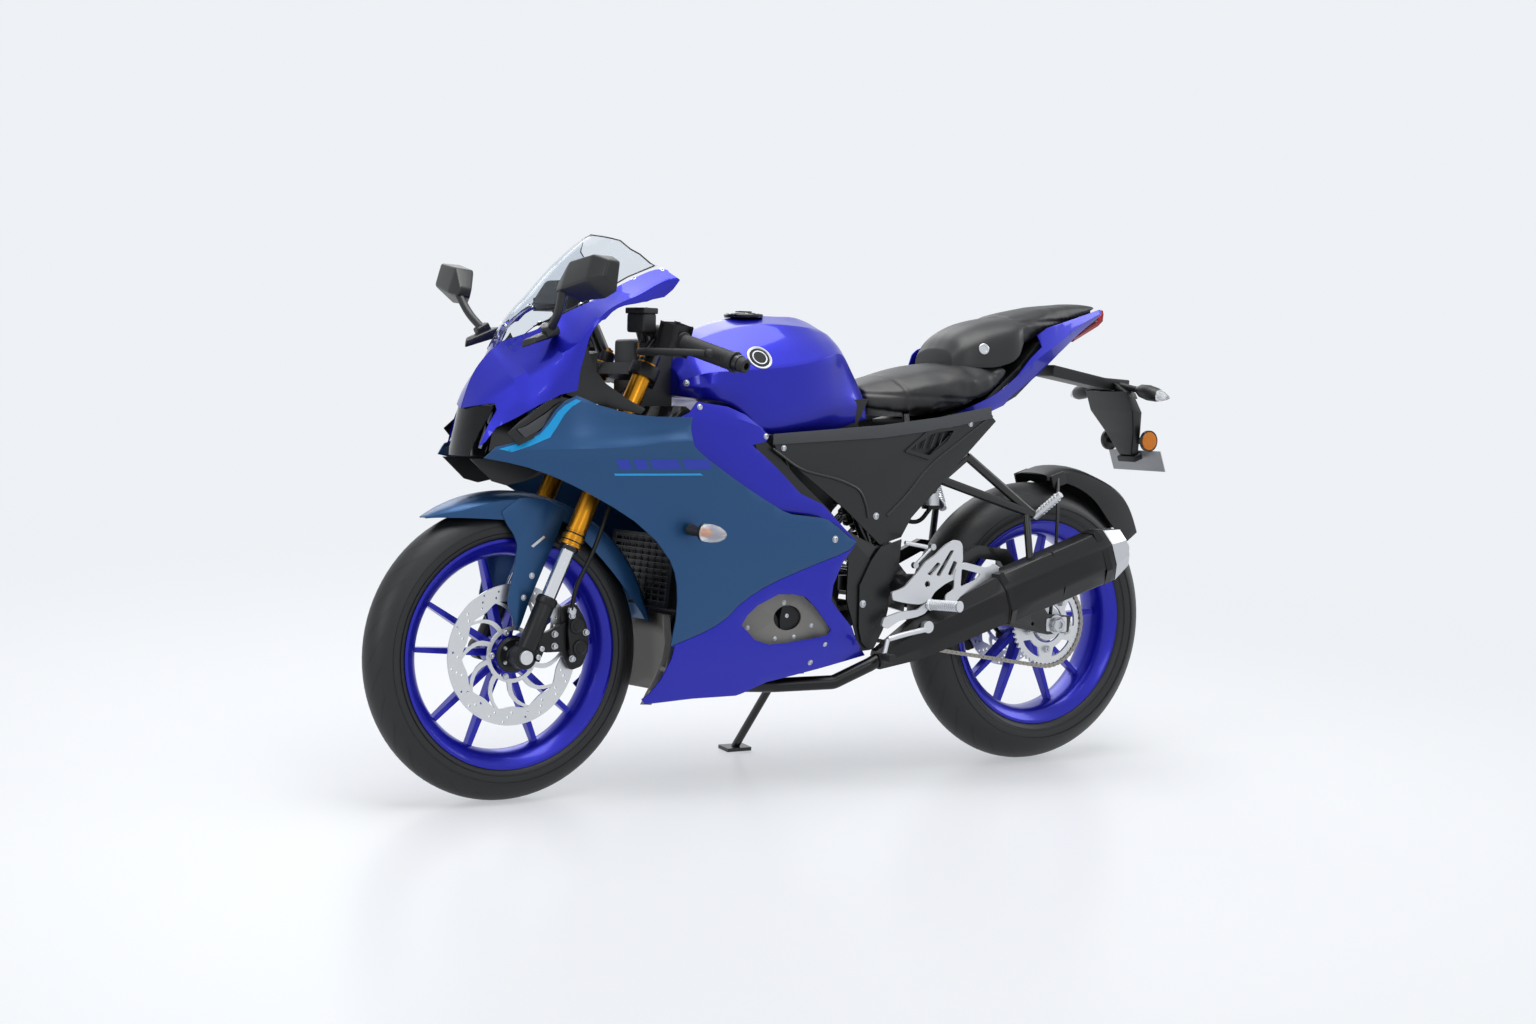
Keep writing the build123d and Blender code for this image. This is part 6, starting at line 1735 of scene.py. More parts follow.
def make_hump_lock():
    """Key lock in the side of the pillion cover."""
    hump = surface_tree("pillion_cover_shell")
    mesh = bmesh.new()
    hit, normal = touch(hump, -455, 925, 1, 90)
    lathe(mesh, hit - normal * 2, normal,
          [(0, 0.0), (0, 12), (3.4, 12), (4, 11), (4, 7.5), (3, 7), (3, 0.0)], 28, 0)
    new_piece("cover_lock", mesh, "zinc", "chassis", 30.0)


def make_side_cover_trim():
    """Vent frame, raised ridge and back edge of the side covers."""
    mesh = bmesh.new()
    vent = [(-206, 702), (-262, 744), (-300, 752), (-352, 756), (-326, 722), (-274, 684)]
    hole = [(-220, 706), (-266, 738), (-302, 745), (-336, 748), (-318, 724), (-272, 694)]
    cut_plate(mesh, [rounded(vent, 6), rounded(hole, 4)], 2.0,
              Matrix.Translation((0, 151.4, 0)), 0)
    for k in range(5):
        x = -238 - 20 * k
        tube(mesh, [(x, 147, 708), (x - 14, 147, 742)], 2.2, 8, 0)
    ridge = [(126, 708), (57, 664), (-44, 643), (-95, 622), (-111, 590), (-117, 562)]
    points = [Vector((x, 150.5, z)) for x, z in ridge]
    tube(mesh, arc_points(points, 30), 3.2, 8, 0)
    back = [(-440, 780), (-355, 724), (-276, 674), (-214, 606), (-166, 566)]
    tube(mesh, arc_points([Vector((x, 149.5, z)) for x, z in back], 40), 3.6, 8, 0)
    mirror_side(mesh)
    new_piece("side_cover_trim", mesh, ["black"], "chassis", 40.0)


def make_radiator_core():
    """Radiator face: wide slats with a painted highlight along each upper edge, uprights between
    them and end tanks.
    """
    mesh = bmesh.new()
    top, low = Vector((333, 0, 526)), Vector((349, 0, 386))
    way = (top - low).normalized()
    out = Vector((way.z, 0, -way.x)).normalized()
    turn = Matrix((out, LEFT, way)).transposed()
    rows = 11
    for k in range(rows):
        at = low + (top - low) * ((k + 0.5) / rows)
        box(mesh, at + out * 3.0, (7.0, 236, 6.0), turn, 0)
        # A thin lighter grey bar on each slat's upper front edge is a painted highlight.
        box(mesh, at + out * 7.2 + way * 2.6, (1.4, 236, 1.1), turn, 2)
    for k in range(9):
        tube(mesh, [low + out * 5.2 + LEFT * (-112 + 28 * k),
                    top + out * 5.2 + LEFT * (-112 + 28 * k)], 2.4, 6, 0)
    for side in (-1, 1):
        box(mesh, (low + top) / 2 + out * 2 + LEFT * 122 * side, (10, 12, 140), turn, 1)
    for at in (low, top):
        box(mesh, at + out * 2, (10, 252, 6), turn, 1)
    new_piece("radiator_face", mesh, ["radiator", "cast", "strip"], "chassis", 30.0)


def make_engine_covers():
    """Clutch and generator covers, cooling fins and the covers' screws."""
    mesh = bmesh.new()
    for side in (-1, 1):
        lathe(mesh, (20, 137 * side, 350), LEFT * side,
              [(0, 0.0), (0, 73), (3, 72), (5.6, 66), (5.6, 40), (3, 38), (3, 20), (5.6, 18),
               (5.6, 0.0)], 48, 0)
        lathe(mesh, (150, 131 * side, 330), LEFT * side,
              [(0, 0.0), (0, 59), (3, 58), (5.6, 52), (5.6, 30), (3, 28), (3, 0.0)], 44, 0)
        for k in range(8):
            a = math.tau * k / 8 + 0.2
            lathe(mesh, (20 + 60 * math.cos(a), 141.6 * side, 350 + 60 * math.sin(a)), LEFT * side,
                  [(0, 0.0), (0, 4.6), (3.4, 4.4), (3.8, 2.4), (2, 2.2), (2, 0.0)], 12, 1)
    for k in range(7):
        z = 470 + 18 * k
        slab(mesh, [(96 + 6 * k, z), (244 + 5 * k, z), (244 + 5 * k, z + 4), (96 + 6 * k, z + 4)],
             -118, 118, 0)
    new_piece("engine_covers", mesh, ["engine", "zinc"], "chassis", 30.0, 0.0)


# ---------------------------------------------------------------- foot rests and exhaust
def make_rearsets():
    """Slotted plates, pegs, heel guards and pedals on both sides."""
    mesh = bmesh.new()
    plate = [(-162, 407), (-180, 411), (-196, 417), (-229, 448), (-247, 467), (-275, 483),
             (-301, 504), (-325, 514), (-339, 512), (-346, 503), (-348, 471), (-342, 445),
             (-330, 431), (-301, 420), (-275, 404), (-262, 386), (-235, 378), (-215, 380),
             (-190, 384), (-165, 390)]
    slots = [[(-253, 443), (-281, 468), (-289, 463), (-264, 438)],
             [(-277, 440), (-314, 492), (-324, 492), (-287, 436)],
             [(-308, 440), (-323, 470), (-333, 466), (-319, 437)]]
    loops = [rounded(plate, 5, 3)] + [rounded(s, 3.5, 3) for s in slots]
    loops.append(circle(-255, 421, 7, 20))
    cut_plate(mesh, loops, 3.0, Matrix.Translation((0, 177, 0)), 0)
    guard = [(-326, 452), (-350, 466), (-410, 452), (-430, 462), (-444, 453), (-440, 436),
             (-355, 388), (-334, 379), (-300, 378), (-300, 396), (-322, 408)]
    hole = [(-342, 452), (-394, 440), (-381, 427), (-340, 413)]
    cut_plate(mesh, [rounded(guard, 6, 3), rounded(hole, 5, 3)], 2.0,
              Matrix.Translation((0, 182, 0)), 0)
    arm = [(-144, 353), (-183, 364), (-230, 367), (-253, 383), (-268, 377), (-249, 358),
           (-230, 352), (-183, 345), (-153, 329), (-138, 336)]
    cut_plate(mesh, [rounded(arm, 4, 2)], 3.0, Matrix.Translation((0, 177, 0)), 0)
    # Pedal with its toe piece, and the link rod above it.
    tube(mesh, arc_points([(-262, 183, 326), (-200, 185, 318), (-150, 186, 308)], 30), 6, 12, 0)
    tube(mesh, [(-150, 186, 308), (-140, 188, 276)], 5, 12, 0)
    lathe(mesh, (-140, 184, 270), LEFT, [(0, 0.0), (0, 9), (2, 10), (34, 10), (36, 9), (36, 0.0)],
          22, 1)
    lathe(mesh, (-255, 176, 330), LEFT, drum(13, 12), 26, 0)
    tube(mesh, [(-199, 172, 510), (-254, 176, 500)], 4.5, 10, 0)
    tube(mesh, [(-223, 176, 462), (-268, 176, 500)], 3.4, 10, 2)
    for x, z in ((-223, 462), (-268, 500)):
        lathe(mesh, (x, 172, z), LEFT, drum(7, 9), 18, 2)
    # Peg: alloy body with knurled grooves.
    profile = [(0, 0.0), (0, 13), (4, 13), (6, 11)]
    for k in range(12):
        profile += [(8 + k * 5.6, 11.4), (10 + k * 5.6, 11.4), (11 + k * 5.6, 9.8),
                    (12.6 + k * 5.6, 9.8)]
    profile += [(78, 12), (81, 12), (82, 0.0)]
    lathe(mesh, (-263, 179, 377), Vector((-0.28, 1, 0.02)), profile, 22, 0)
    # Folded pillion peg on its bracket.
    tube(mesh, [(-552, 168, 560), (-575, 226, 612)], [9, 7.5], 14, 0)
    for k in range(7):
        t = 0.25 + 0.1 * k
        at = Vector((-552, 168, 560)).lerp(Vector((-575, 226, 612)), t)
        axis = Vector((-23, 58, 52)).normalized()
        lathe(mesh, at, axis, [(0, 6), (0, 10), (2, 10), (2, 6)], 16, 0, closed=True)
    mirror_side(mesh)
    new_piece("foot_rests", mesh, ["alloy", "grip", "zinc"], "chassis", 30.0, 0.0, ("rearsets",))


def make_muffler_trim():
    """Front cover band, clamp, seam and the outlet."""
    front, rear = Vector((-440, 186, 384)), Vector((-722, 198, 476))
    axis = (rear - front).normalized()
    up = Vector((0, 0, 1)) - axis * axis.z
    up.normalize()
    out = axis.cross(up)
    if out.y < 0:
        out = -out

    def ring(at, grow, height=112.0, width=82.0):
        a, b = width / 2 + grow, height / 2 + grow
        shape = [(-a, b * 0.55), (-a * 0.45, b), (a * 0.55, b), (a, b * 0.35), (a, -b * 0.45),
                 (a * 0.5, -b), (-a * 0.6, -b), (-a, -b * 0.5)]
        centre = front + axis * at
        return [centre + out * u + up * v for u, v in shape]

    mesh = bmesh.new()
    for at, length, grow in ((2, 14, 1.6), (268, 16, 3.4), (150, 3, 1.4)):
        rings = [ring(at, grow - 1.4), ring(at, grow), ring(at + length, grow),
                 ring(at + length, grow - 1.4)]
        made = [[mesh.verts.new(p) for p in r] for r in rings]
        for one, two in zip(made, made[1:] + made[:1]):
            for k in range(8):
                j = (k + 1) % 8
                mesh.faces.new((one[k], one[j], two[j], two[k]))
    lathe(mesh, Vector((-768, 200, 491.4)), axis,
          [(0, 0.0), (0, 22), (10, 22), (12.5, 20.5), (12.5, 17.5), (2, 17), (2, 0.0)], 32, 2)
    new_piece("muffler_bands", mesh, ["muffler", "muffler", "brushed"], "chassis", 30.0, 0.0)


def make_screws():
    """Every button-head screw that holds panels, screen and covers."""
    tree = surface_tree("side_fairing_panels", "belly_fairing_panels", "inner_side_panels",
                        "fuel_tank_shell", "front_mudguard_shell", "side_covers",
                        "fairing_liners", "cover_strips")
    places = []
    for x, z, size in ((-7, 522, 6.0), (162, 734, 5.0), (320, 792, 5.0), (303, 839, 5.5),
                       (98, 709, 5.0), (-383, 762, 5.0), (-138, 566, 6.0), (-109, 381, 6.5),
                       (89, 390, 4.0), (177, 341, 3.8), (110, 316, 3.8), (63, 318, 3.8),
                       (20, 340, 3.8), (-10, 300, 4.2), (631, 453, 5.0), (648, 410, 5.0),
                       (18, 262, 5.0)):
        for side in (1, -1):
            hit, normal = touch(tree, x, z, side)
            if hit is not None and abs(hit.y) >= 55:
                places.append((hit, normal, size))
    # Screws this far ahead and this close to the middle sit on the front mudguard.
    moving = [p for p in places if p[0].x > 600 and abs(p[0].y) < 70]
    fixed = [p for p in places if p not in moving]
    copy_along("panel_screws", fixed, bolt_shape(), "zinc", "chassis")
    if moving:
        copy_along("mudguard_screws", moving, bolt_shape(), "zinc", "steering_head")
    screen = surface_tree("windscreen_shell", "nose_cowl_panel")
    places = []
    for x, y, z in ((554, 110, 986), (444, 126, 1033), (394, 142, 1055), (630, 78, 950)):
        for side in (1, -1):
            hit, normal, _, _ = screen.find_nearest(Vector((x, y * side, z)))
            if normal.y * side + normal.z < 0:
                normal = -normal
            places.append((hit, normal, 5.0))
    copy_along("screen_screws", places, bolt_shape(), "zinc", "chassis")


# ---------------------------------------------------------------- seats
def swollen_pad(node, size, cap):
    """Copy of a seat's solid, remeshed and blown up as cloth, in upright millimetres."""
    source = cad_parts[node]
    mesh = bmesh.new()
    mesh.from_mesh(source.data)
    bmesh.ops.remove_doubles(mesh, verts=mesh.verts, dist=0.00005)
    centre = sum((v.co for v in mesh.verts), Vector()) / len(mesh.verts)
    for vertex in mesh.verts:
        vertex.co = centre + (vertex.co - centre) * 0.985
    pad = hold(node + "_pad", mesh)
    remesh = pad.modifiers.new("remesh", "REMESH")
    remesh.mode = "VOXEL"
    remesh.voxel_size = size * MM
    data = evaluated_mesh(pad)
    pad.modifiers.clear()
    pad.data = data
    rest = [v.co.copy() for v in data.vertices]
    cloth = pad.modifiers.new("cloth", "CLOTH")
    cloth.settings.use_pressure = True
    cloth.settings.uniform_pressure_force = 4.0
    cloth.settings.effector_weights.gravity = 0.0
    cloth.settings.tension_stiffness = 25
    cloth.settings.bending_stiffness = 14.0
    cloth.point_cache.frame_start = 1
    cloth.point_cache.frame_end = 20
    for step in range(1, 21):
        bpy.context.scene.frame_set(step)
    moved = pad.evaluated_get(bpy.context.evaluated_depsgraph_get())
    places = [v.co.copy() for v in moved.to_mesh().vertices]
    moved.to_mesh_clear()
    pad.modifiers.clear()
    bpy.context.scene.frame_set(1)
    limit = cap * MM
    for vertex, old, new in zip(data.vertices, rest, places):
        step = new - old
        if step.length > limit:
            step *= limit / step.length
        vertex.co = old + step
    return pad


def seam_dip(place, seams, width, depth):
    """How far a point sinks beside the seams; each seam is a function of the point."""
    sink = 0.0
    for seam in seams:
        away = abs(seam(place))
        if away < width:
            sink = max(sink, depth * (0.5 + 0.5 * math.cos(math.pi * away / width)))
    return sink


def make_seat(node, name, seams, cap):
    """Padded seat: cloth form, smoothed, with its seam lines pressed in."""
    pad = swollen_pad(node, 5.0, cap)
    mesh = bmesh.new()
    mesh.from_mesh(pad.data)
    bpy.data.objects.remove(pad)
    for _ in range(10):
        bmesh.ops.smooth_vert(mesh, verts=mesh.verts, factor=0.5, use_axis_x=True,
                              use_axis_y=True, use_axis_z=True)
    mesh.normal_update()
    upright = PARKED.inverted()
    for vertex in mesh.verts:
        place = upright @ vertex.co
        sink = seam_dip(place, seams, 7.0, 2.6)
        if sink:
            vertex.co -= vertex.normal * sink * MM
    piece = hold(name, mesh)
    for polygon in piece.data.polygons:
        polygon.use_smooth = True
    piece.data.materials.append(MATERIALS["seat"])
    subdivide = piece.modifiers.new("subdivide", "SUBSURF")
    subdivide.levels = 1
    subdivide.render_levels = 1
    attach(piece, "chassis")
    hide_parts(node)
    return piece


def make_seats():
    make_seat("rider_seat", "rider_seat_pad",
              [lambda p: p.z - (818 + 0.04 * (p.x + 300)),
               lambda p: p.x + 232 + 0.0012 * p.y ** 2], 9.0)
    make_seat("pillion_seat", "pillion_seat_pad",
              [lambda p: p.z - (985 + 0.05 * (-550 - p.x))], 7.0)


# ---------------------------------------------------------------- stage
def make_stage(look):
    """Floor, soft lamps, backdrop light and the camera."""
    scene = bpy.context.scene
    mesh = bmesh.new()
    bmesh.ops.create_grid(mesh, x_segments=1, y_segments=1, size=40.0)
    floor = hold("floor", mesh)
    floor.data.materials.append(MATERIALS["floor"])
    lamps = [
        # name, place, target, size, power
        ("lamp_above", (0.2, 0.2, 4.6), (0, 0, 0.4), 3.6, 205),
        ("lamp_near", (0.6, 5.6, 3.2), (0, 0, 0.6), 1.6, 26),
        ("lamp_front", (5.4, 1.6, 2.4), (0.3, 0, 0.6), 1.6, 44),
        ("lamp_back", (-4.6, 1.2, 2.8), (0, 0, 0.6), 1.8, 40),
        ("lamp_far", (-1.0, -4.5, 3.4), (0, 0, 0.6), 3.0, 60),
    ]
    for name, place, target, size, power in lamps:
        light = bpy.data.lights.new(name, "AREA")
        light.size = size
        light.energy = power * look.lamp_level
        lamp = bpy.data.objects.new(name, light)
        lamp.location = place
        lamp.rotation_euler = (Vector(target) - Vector(place)).to_track_quat("-Z", "Y").to_euler()
        scene.collection.objects.link(lamp)
    world = bpy.data.worlds.new("studio")
    scene.world = world
    world.use_nodes = True
    tree = world.node_tree
    tree.nodes.clear()
    output = add_node(tree, "ShaderNodeOutputWorld")
    dim = add_node(tree, "ShaderNodeBackground", {"Color": linear("#dfe4ec"), "Strength": 0.22})
    bright = add_node(tree, "ShaderNodeBackground", {"Color": linear("#eef1f5"), "Strength": 1.0})
    mix = add_node(tree, "ShaderNodeMixShader", {},
                   {0: backdrop_seen(tree), 1: dim.outputs[0], 2: bright.outputs[0]})
    tree.links.new(mix.outputs[0], output.inputs["Surface"])
    # The camera's axes and place are given for the upright machine and leaned with it.
    camera_data = bpy.data.cameras.new("camera")
    camera_data.lens = 59.16
    camera_data.sensor_width = 36.0
    camera_data.clip_end = 100.0
    camera = bpy.data.objects.new("camera", camera_data)
    scene.collection.objects.link(camera)
    turn = Matrix.Rotation(LEAN, 3, "X")
    right = turn @ Vector((-0.8399, 0.5424, 0.0204))
    up = turn @ Vector((-0.0121, -0.0563, 0.9983))
    ahead = turn @ Vector((-0.5427, -0.8382, -0.0539))
    matrix = Matrix((right, up, -ahead)).transposed().to_4x4()
    matrix.translation = PARKED @ Vector((2943.1, 4489.4, 856.9))
    camera.matrix_world = matrix
    scene.camera = camera
    scene.view_settings.view_transform = "Standard"


def floor_surface():
    """Painted floor that is lit near the machine and fades into the backdrop's colour."""
    material, tree, output = new_material("studio_floor_painted_matt")
    place = add_node(tree, "ShaderNodeTexCoord").outputs["Object"]
    far = add_node(tree, "ShaderNodeVectorMath", {"operation": "LENGTH"}, {0: place})
    fade = add_node(tree, "ShaderNodeMapRange",
                    {"From Min": 0.9, "From Max": 3.6, "To Min": 0.5,
                     "interpolation_type": "SMOOTHSTEP"},
                    {"Value": far.outputs["Value"]})
    paint = add_node(tree, "ShaderNodeBsdfPrincipled",
                     {"Base Color": linear("#f4f5f7"), "Roughness": 0.3,
                      "Specular IOR Level": 0.35})
    glow = add_node(tree, "ShaderNodeEmission", {"Color": linear("#eef1f5"), "Strength": 1.0})
    share = maths(tree, "MULTIPLY", backdrop_seen(tree), fade.outputs["Result"])
    mix = add_node(tree, "ShaderNodeMixShader", {},
                   {0: share, 1: paint.outputs["BSDF"], 2: glow.outputs[0]})
    tree.links.new(mix.outputs[0], output.inputs["Surface"])
    return material


def dress_frame():
    """Gives each CAD node that stays in sight its surface and soft shading."""
    chosen = {node: name for name, nodes in NODE_SURFACE.items() for node in nodes.split()}
    for node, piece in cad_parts.items():
        piece.data.materials.clear()
        piece.data.materials.append(MATERIALS[chosen[node]])
        shade(piece, 32.0, NODE_BEVEL.get(node, 0.0))


# ---------------------------------------------------------------- add-on
class MotorcycleLook(bpy.types.PropertyGroup):
    """Sizes and colours that a user would change."""

    royal_blue: FloatVectorProperty(
        name="Royal blue", description="Lacquer on cowl, tank, tail, belly and wheels",
        subtype="COLOR_GAMMA", size=3, min=0.0, max=1.0, default=(0.06, 0.075, 0.68))
    satin_blue: FloatVectorProperty(
        name="Satin blue", description="Paint on side fairings and front mudguard",
        subtype="COLOR_GAMMA", size=3, min=0.0, max=1.0, default=(0.10, 0.29, 0.47))
    lamp_level: FloatProperty(
        name="Lamp level", description="Share of the studio lamps' power",
        subtype="FACTOR", min=0.1, max=2.0, default=1.0)


class MOTORCYCLE_OT_surfaces(bpy.types.Operator):
    """Make every surface and give the CAD pieces theirs"""

    bl_idname = "motorcycle.surfaces"
    bl_label = "Surfaces"

    def execute(self, context):
        make_materials(context.scene.motorcycle)
        dress_frame()
        return {"FINISHED"}


class MOTORCYCLE_OT_side_fairings(bpy.types.Operator):
    """Satin side fairings on both sides"""

    bl_idname = "motorcycle.side_fairings"
    bl_label = "Side fairings"

    def execute(self, context):
        make_side_fairings()
        return {"FINISHED"}


class MOTORCYCLE_OT_belly_fairings(bpy.types.Operator):
    """Lower fairings with their windows"""

    bl_idname = "motorcycle.belly_fairings"
    bl_label = "Belly fairings"

    def execute(self, context):
        make_belly_fairings()
        return {"FINISHED"}


class MOTORCYCLE_OT_inner_panels(bpy.types.Operator):
    """Panels between tank and side fairings"""

    bl_idname = "motorcycle.inner_panels"
    bl_label = "Inner side panels"

    def execute(self, context):
        make_inner_panels()
        return {"FINISHED"}


class MOTORCYCLE_OT_nose_cowl(bpy.types.Operator):
    """Nose cowl with its lamp opening"""

    bl_idname = "motorcycle.nose_cowl"
    bl_label = "Nose cowl"

    def execute(self, context):
        make_nose_cowl()
        return {"FINISHED"}


class MOTORCYCLE_OT_windscreen(bpy.types.Operator):
    """Clear curved windscreen"""

    bl_idname = "motorcycle.windscreen"
    bl_label = "Windscreen"

    def execute(self, context):
        make_windscreen()
        return {"FINISHED"}


class MOTORCYCLE_OT_fuel_tank(bpy.types.Operator):
    """Fuel tank shell"""

    bl_idname = "motorcycle.fuel_tank"
    bl_label = "Fuel tank"

    def execute(self, context):
        make_fuel_tank()
        return {"FINISHED"}


class MOTORCYCLE_OT_tail_panels(bpy.types.Operator):
    """Blue tail panels"""

    bl_idname = "motorcycle.tail_panels"
    bl_label = "Tail panels"

    def execute(self, context):
        make_tail_panels()
        return {"FINISHED"}


class MOTORCYCLE_OT_mirrors(bpy.types.Operator):
    """Mirror heads, glass and stalks"""

    bl_idname = "motorcycle.mirrors"
    bl_label = "Mirrors"

    def execute(self, context):
        make_mirrors()
        return {"FINISHED"}


class MOTORCYCLE_OT_headlamp(bpy.types.Operator):
    """Headlamp housing, light bars and lens"""

    bl_idname = "motorcycle.headlamp"
    bl_label = "Headlamp"

    def execute(self, context):
        make_headlamp()
        return {"FINISHED"}


class MOTORCYCLE_OT_indicators(bpy.types.Operator):
    """Indicators and reflectors"""

    bl_idname = "motorcycle.indicators"
    bl_label = "Indicators"

    def execute(self, context):
        make_signal_lamps()
        return {"FINISHED"}


class MOTORCYCLE_OT_front_mudguard(bpy.types.Operator):
    """Front mudguard with its side blades"""

    bl_idname = "motorcycle.front_mudguard"
    bl_label = "Front mudguard"

    def execute(self, context):
        make_mudguard()
        return {"FINISHED"}


class MOTORCYCLE_OT_hugger(bpy.types.Operator):
    """Rear wheel hugger and its stays"""

    bl_idname = "motorcycle.hugger"
    bl_label = "Hugger"

    def execute(self, context):
        make_hugger()
        return {"FINISHED"}


class MOTORCYCLE_OT_pillion_cover(bpy.types.Operator):
    """Hump between the two seats"""

    bl_idname = "motorcycle.pillion_cover"
    bl_label = "Pillion cover"

    def execute(self, context):
        make_pillion_cover()
        return {"FINISHED"}


class MOTORCYCLE_OT_frame_covers(bpy.types.Operator):
    """Black covers inside the frame"""

    bl_idname = "motorcycle.frame_covers"
    bl_label = "Frame covers"

    def execute(self, context):
        make_frame_covers()
        return {"FINISHED"}


class MOTORCYCLE_OT_plate_holder(bpy.types.Operator):
    """Tail arm and hanger that carry the plate"""

    bl_idname = "motorcycle.plate_holder"
    bl_label = "Plate holder"

    def execute(self, context):
        make_plate_holder()
        return {"FINISHED"}


class MOTORCYCLE_OT_duct_panel(bpy.types.Operator):
    """Grey wall behind the front wheel"""

    bl_idname = "motorcycle.duct_panel"
    bl_label = "Duct panel"

    def execute(self, context):
        make_duct_panel()
        return {"FINISHED"}


class MOTORCYCLE_OT_cowl_vents(bpy.types.Operator):
    """Vents between cowl and fairing"""

    bl_idname = "motorcycle.cowl_vents"
    bl_label = "Cowl vents"

    def execute(self, context):
        make_cowl_vents()
        return {"FINISHED"}


class MOTORCYCLE_OT_stripes(bpy.types.Operator):
    """Plain coloured films on the fairings"""

    bl_idname = "motorcycle.stripes"
    bl_label = "Stripes"

    def execute(self, context):
        make_stripes()
        return {"FINISHED"}


class MOTORCYCLE_OT_tank_trim(bpy.types.Operator):
    """Filler cap and side discs"""

    bl_idname = "motorcycle.tank_trim"
    bl_label = "Tank trim"

    def execute(self, context):
        make_tank_trim()
        return {"FINISHED"}


class MOTORCYCLE_OT_tyres(bpy.types.Operator):
    """Front and rear tyres with their tread"""

    bl_idname = "motorcycle.tyres"
    bl_label = "Tyres"

    def execute(self, context):
        make_tyre("front_tyre_ring", FRONT_AXLE, FRONT_RADIUS, 100, 50, 43.6,
                  "front_wheel_set", "front_tyre")
        make_tyre("rear_tyre_ring", REAR_AXLE, REAR_RADIUS, 140, 72, 57.4,
                  "rear_wheel_set", "rear_tyre")
        return {"FINISHED"}


class MOTORCYCLE_OT_brake_discs(bpy.types.Operator):
    """Drilled brake discs on their carriers"""

    bl_idname = "motorcycle.brake_discs"
    bl_label = "Brake discs"

    def execute(self, context):
        make_disc("front_brake_disc", FRONT_AXLE, 46, 141, 34, 30,
                  "front_wheel_set", "front_disc")
        make_disc("rear_brake_disc", REAR_AXLE, -68, 110, 30, 34,
                  "rear_wheel_set", "rear_disc")
        return {"FINISHED"}


class MOTORCYCLE_OT_sprocket(bpy.types.Operator):
    """Toothed rear sprocket"""

    bl_idname = "motorcycle.sprocket"
    bl_label = "Rear sprocket"

    def execute(self, context):
        make_sprocket()
        return {"FINISHED"}


class MOTORCYCLE_OT_chain(bpy.types.Operator):
    """Drive chain, link by link"""

    bl_idname = "motorcycle.chain"
    bl_label = "Chain"

    def execute(self, context):
        make_chain()
        return {"FINISHED"}


class MOTORCYCLE_OT_axle_ends(bpy.types.Operator):
    """Axle ends, nuts and adjusters"""

    bl_idname = "motorcycle.axle_ends"
    bl_label = "Axle ends"

    def execute(self, context):
        make_axle_ends()
        return {"FINISHED"}


class MOTORCYCLE_OT_fork_details(bpy.types.Operator):
    """Rings and pinch bolts on the fork"""

    bl_idname = "motorcycle.fork_details"
    bl_label = "Fork rings"

    def execute(self, context):
        make_fork_details()
        return {"FINISHED"}


class MOTORCYCLE_OT_front_caliper(bpy.types.Operator):
    """Front brake caliper"""

    bl_idname = "motorcycle.front_caliper"
    bl_label = "Front caliper"

    def execute(self, context):
        make_front_caliper()
        return {"FINISHED"}


class MOTORCYCLE_OT_shock_details(bpy.types.Operator):
    """Rear spring and reservoir"""

    bl_idname = "motorcycle.shock_details"
    bl_label = "Shock spring"

    def execute(self, context):
        make_shock_details()
        return {"FINISHED"}


class MOTORCYCLE_OT_bar_controls(bpy.types.Operator):
    """Grips, switches, levers and reservoir"""

    bl_idname = "motorcycle.bar_controls"
    bl_label = "Bar controls"

    def execute(self, context):
        make_controls()
        return {"FINISHED"}


class MOTORCYCLE_OT_instruments(bpy.types.Operator):
    """Instrument pod with two dials"""

    bl_idname = "motorcycle.instruments"
    bl_label = "Instruments"

    def execute(self, context):
        make_instruments()
        return {"FINISHED"}


class MOTORCYCLE_OT_hump_lock(bpy.types.Operator):
    """Key lock of the pillion cover"""

    bl_idname = "motorcycle.hump_lock"
    bl_label = "Cover lock"

    def execute(self, context):
        make_hump_lock()
        return {"FINISHED"}


class MOTORCYCLE_OT_side_cover_trim(bpy.types.Operator):
    """Vents and ridges of the side covers"""

    bl_idname = "motorcycle.side_cover_trim"
    bl_label = "Side cover trim"

    def execute(self, context):
        make_side_cover_trim()
        return {"FINISHED"}


class MOTORCYCLE_OT_radiator_face(bpy.types.Operator):
    """Radiator slats and guard"""

    bl_idname = "motorcycle.radiator_face"
    bl_label = "Radiator face"

    def execute(self, context):
        make_radiator_core()
        return {"FINISHED"}


class MOTORCYCLE_OT_engine_covers(bpy.types.Operator):
    """Engine side covers and fins"""

    bl_idname = "motorcycle.engine_covers"
    bl_label = "Engine covers"

    def execute(self, context):
        make_engine_covers()
        return {"FINISHED"}


class MOTORCYCLE_OT_foot_rests(bpy.types.Operator):
    """Rear sets, pegs and pedals"""

    bl_idname = "motorcycle.foot_rests"
    bl_label = "Foot rests"

    def execute(self, context):
        make_rearsets()
        return {"FINISHED"}


class MOTORCYCLE_OT_muffler_trim(bpy.types.Operator):
    """Muffler bands and outlet"""

    bl_idname = "motorcycle.muffler_trim"
    bl_label = "Muffler bands"

    def execute(self, context):
        make_muffler_trim()
        return {"FINISHED"}


class MOTORCYCLE_OT_seats(bpy.types.Operator):
    """Padded rider and pillion seats"""

    bl_idname = "motorcycle.seats"
    bl_label = "Seats"

    def execute(self, context):
        make_seats()
        return {"FINISHED"}


class MOTORCYCLE_OT_screws(bpy.types.Operator):
    """Button-head screws"""

    bl_idname = "motorcycle.screws"
    bl_label = "Screws"

    def execute(self, context):
        make_screws()
        return {"FINISHED"}


class MOTORCYCLE_OT_stage(bpy.types.Operator):
    """Floor, lamps, backdrop and camera"""

    bl_idname = "motorcycle.stage"
    bl_label = "Stage"

    def execute(self, context):
        make_stage(context.scene.motorcycle)
        return {"FINISHED"}


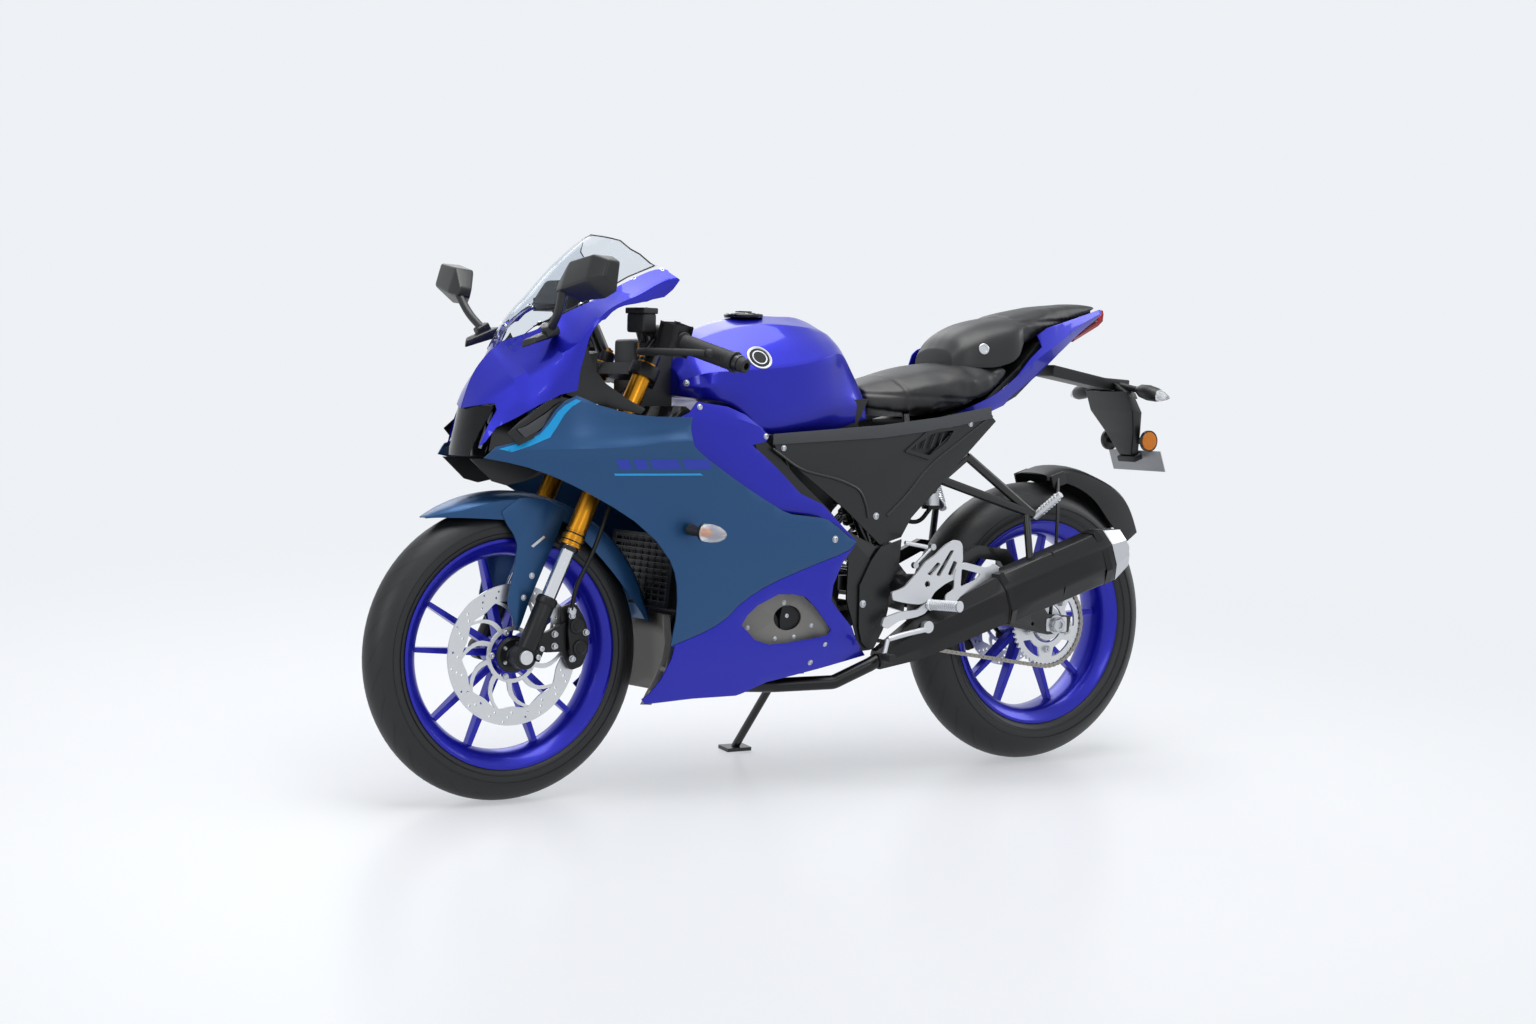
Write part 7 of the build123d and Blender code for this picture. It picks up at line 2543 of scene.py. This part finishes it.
OPERATORS = (
    MOTORCYCLE_OT_surfaces,
    MOTORCYCLE_OT_side_fairings,
    MOTORCYCLE_OT_belly_fairings,
    MOTORCYCLE_OT_inner_panels,
    MOTORCYCLE_OT_nose_cowl,
    MOTORCYCLE_OT_windscreen,
    MOTORCYCLE_OT_fuel_tank,
    MOTORCYCLE_OT_tail_panels,
    MOTORCYCLE_OT_mirrors,
    MOTORCYCLE_OT_headlamp,
    MOTORCYCLE_OT_indicators,
    MOTORCYCLE_OT_front_mudguard,
    MOTORCYCLE_OT_hugger,
    MOTORCYCLE_OT_pillion_cover,
    MOTORCYCLE_OT_frame_covers,
    MOTORCYCLE_OT_plate_holder,
    MOTORCYCLE_OT_duct_panel,
    MOTORCYCLE_OT_cowl_vents,
    MOTORCYCLE_OT_stripes,
    MOTORCYCLE_OT_tank_trim,
    MOTORCYCLE_OT_tyres,
    MOTORCYCLE_OT_brake_discs,
    MOTORCYCLE_OT_sprocket,
    MOTORCYCLE_OT_chain,
    MOTORCYCLE_OT_axle_ends,
    MOTORCYCLE_OT_fork_details,
    MOTORCYCLE_OT_front_caliper,
    MOTORCYCLE_OT_shock_details,
    MOTORCYCLE_OT_bar_controls,
    MOTORCYCLE_OT_instruments,
    MOTORCYCLE_OT_hump_lock,
    MOTORCYCLE_OT_side_cover_trim,
    MOTORCYCLE_OT_radiator_face,
    MOTORCYCLE_OT_engine_covers,
    MOTORCYCLE_OT_foot_rests,
    MOTORCYCLE_OT_muffler_trim,
    MOTORCYCLE_OT_seats,
    MOTORCYCLE_OT_screws,
    MOTORCYCLE_OT_stage,
)


class MOTORCYCLE_PT_panel(bpy.types.Panel):
    """Lists the machine's colours and every piece that can be built"""

    bl_idname = "MOTORCYCLE_PT_panel"
    bl_label = "Sport Motorcycle"
    bl_space_type = "VIEW_3D"
    bl_region_type = "UI"
    bl_category = "Motorcycle"

    def draw(self, context):
        look = context.scene.motorcycle
        for key in ("royal_blue", "satin_blue", "lamp_level"):
            self.layout.prop(look, key)
        for item in OPERATORS:
            self.layout.operator(item.bl_idname)


def register():
    bpy.utils.register_class(MotorcycleLook)
    for item in OPERATORS:
        bpy.utils.register_class(item)
    bpy.utils.register_class(MOTORCYCLE_PT_panel)
    bpy.types.Scene.motorcycle = PointerProperty(type=MotorcycleLook)


def unregister():
    del bpy.types.Scene.motorcycle
    bpy.utils.unregister_class(MOTORCYCLE_PT_panel)
    for item in reversed(OPERATORS):
        bpy.utils.unregister_class(item)
    bpy.utils.unregister_class(MotorcycleLook)


def main():
    """Builds every piece in order."""
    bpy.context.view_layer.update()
    register()
    for item in OPERATORS:
        space, name = item.bl_idname.split(".")
        getattr(getattr(bpy.ops, space), name)()


if __name__ == "__main__":
    main()
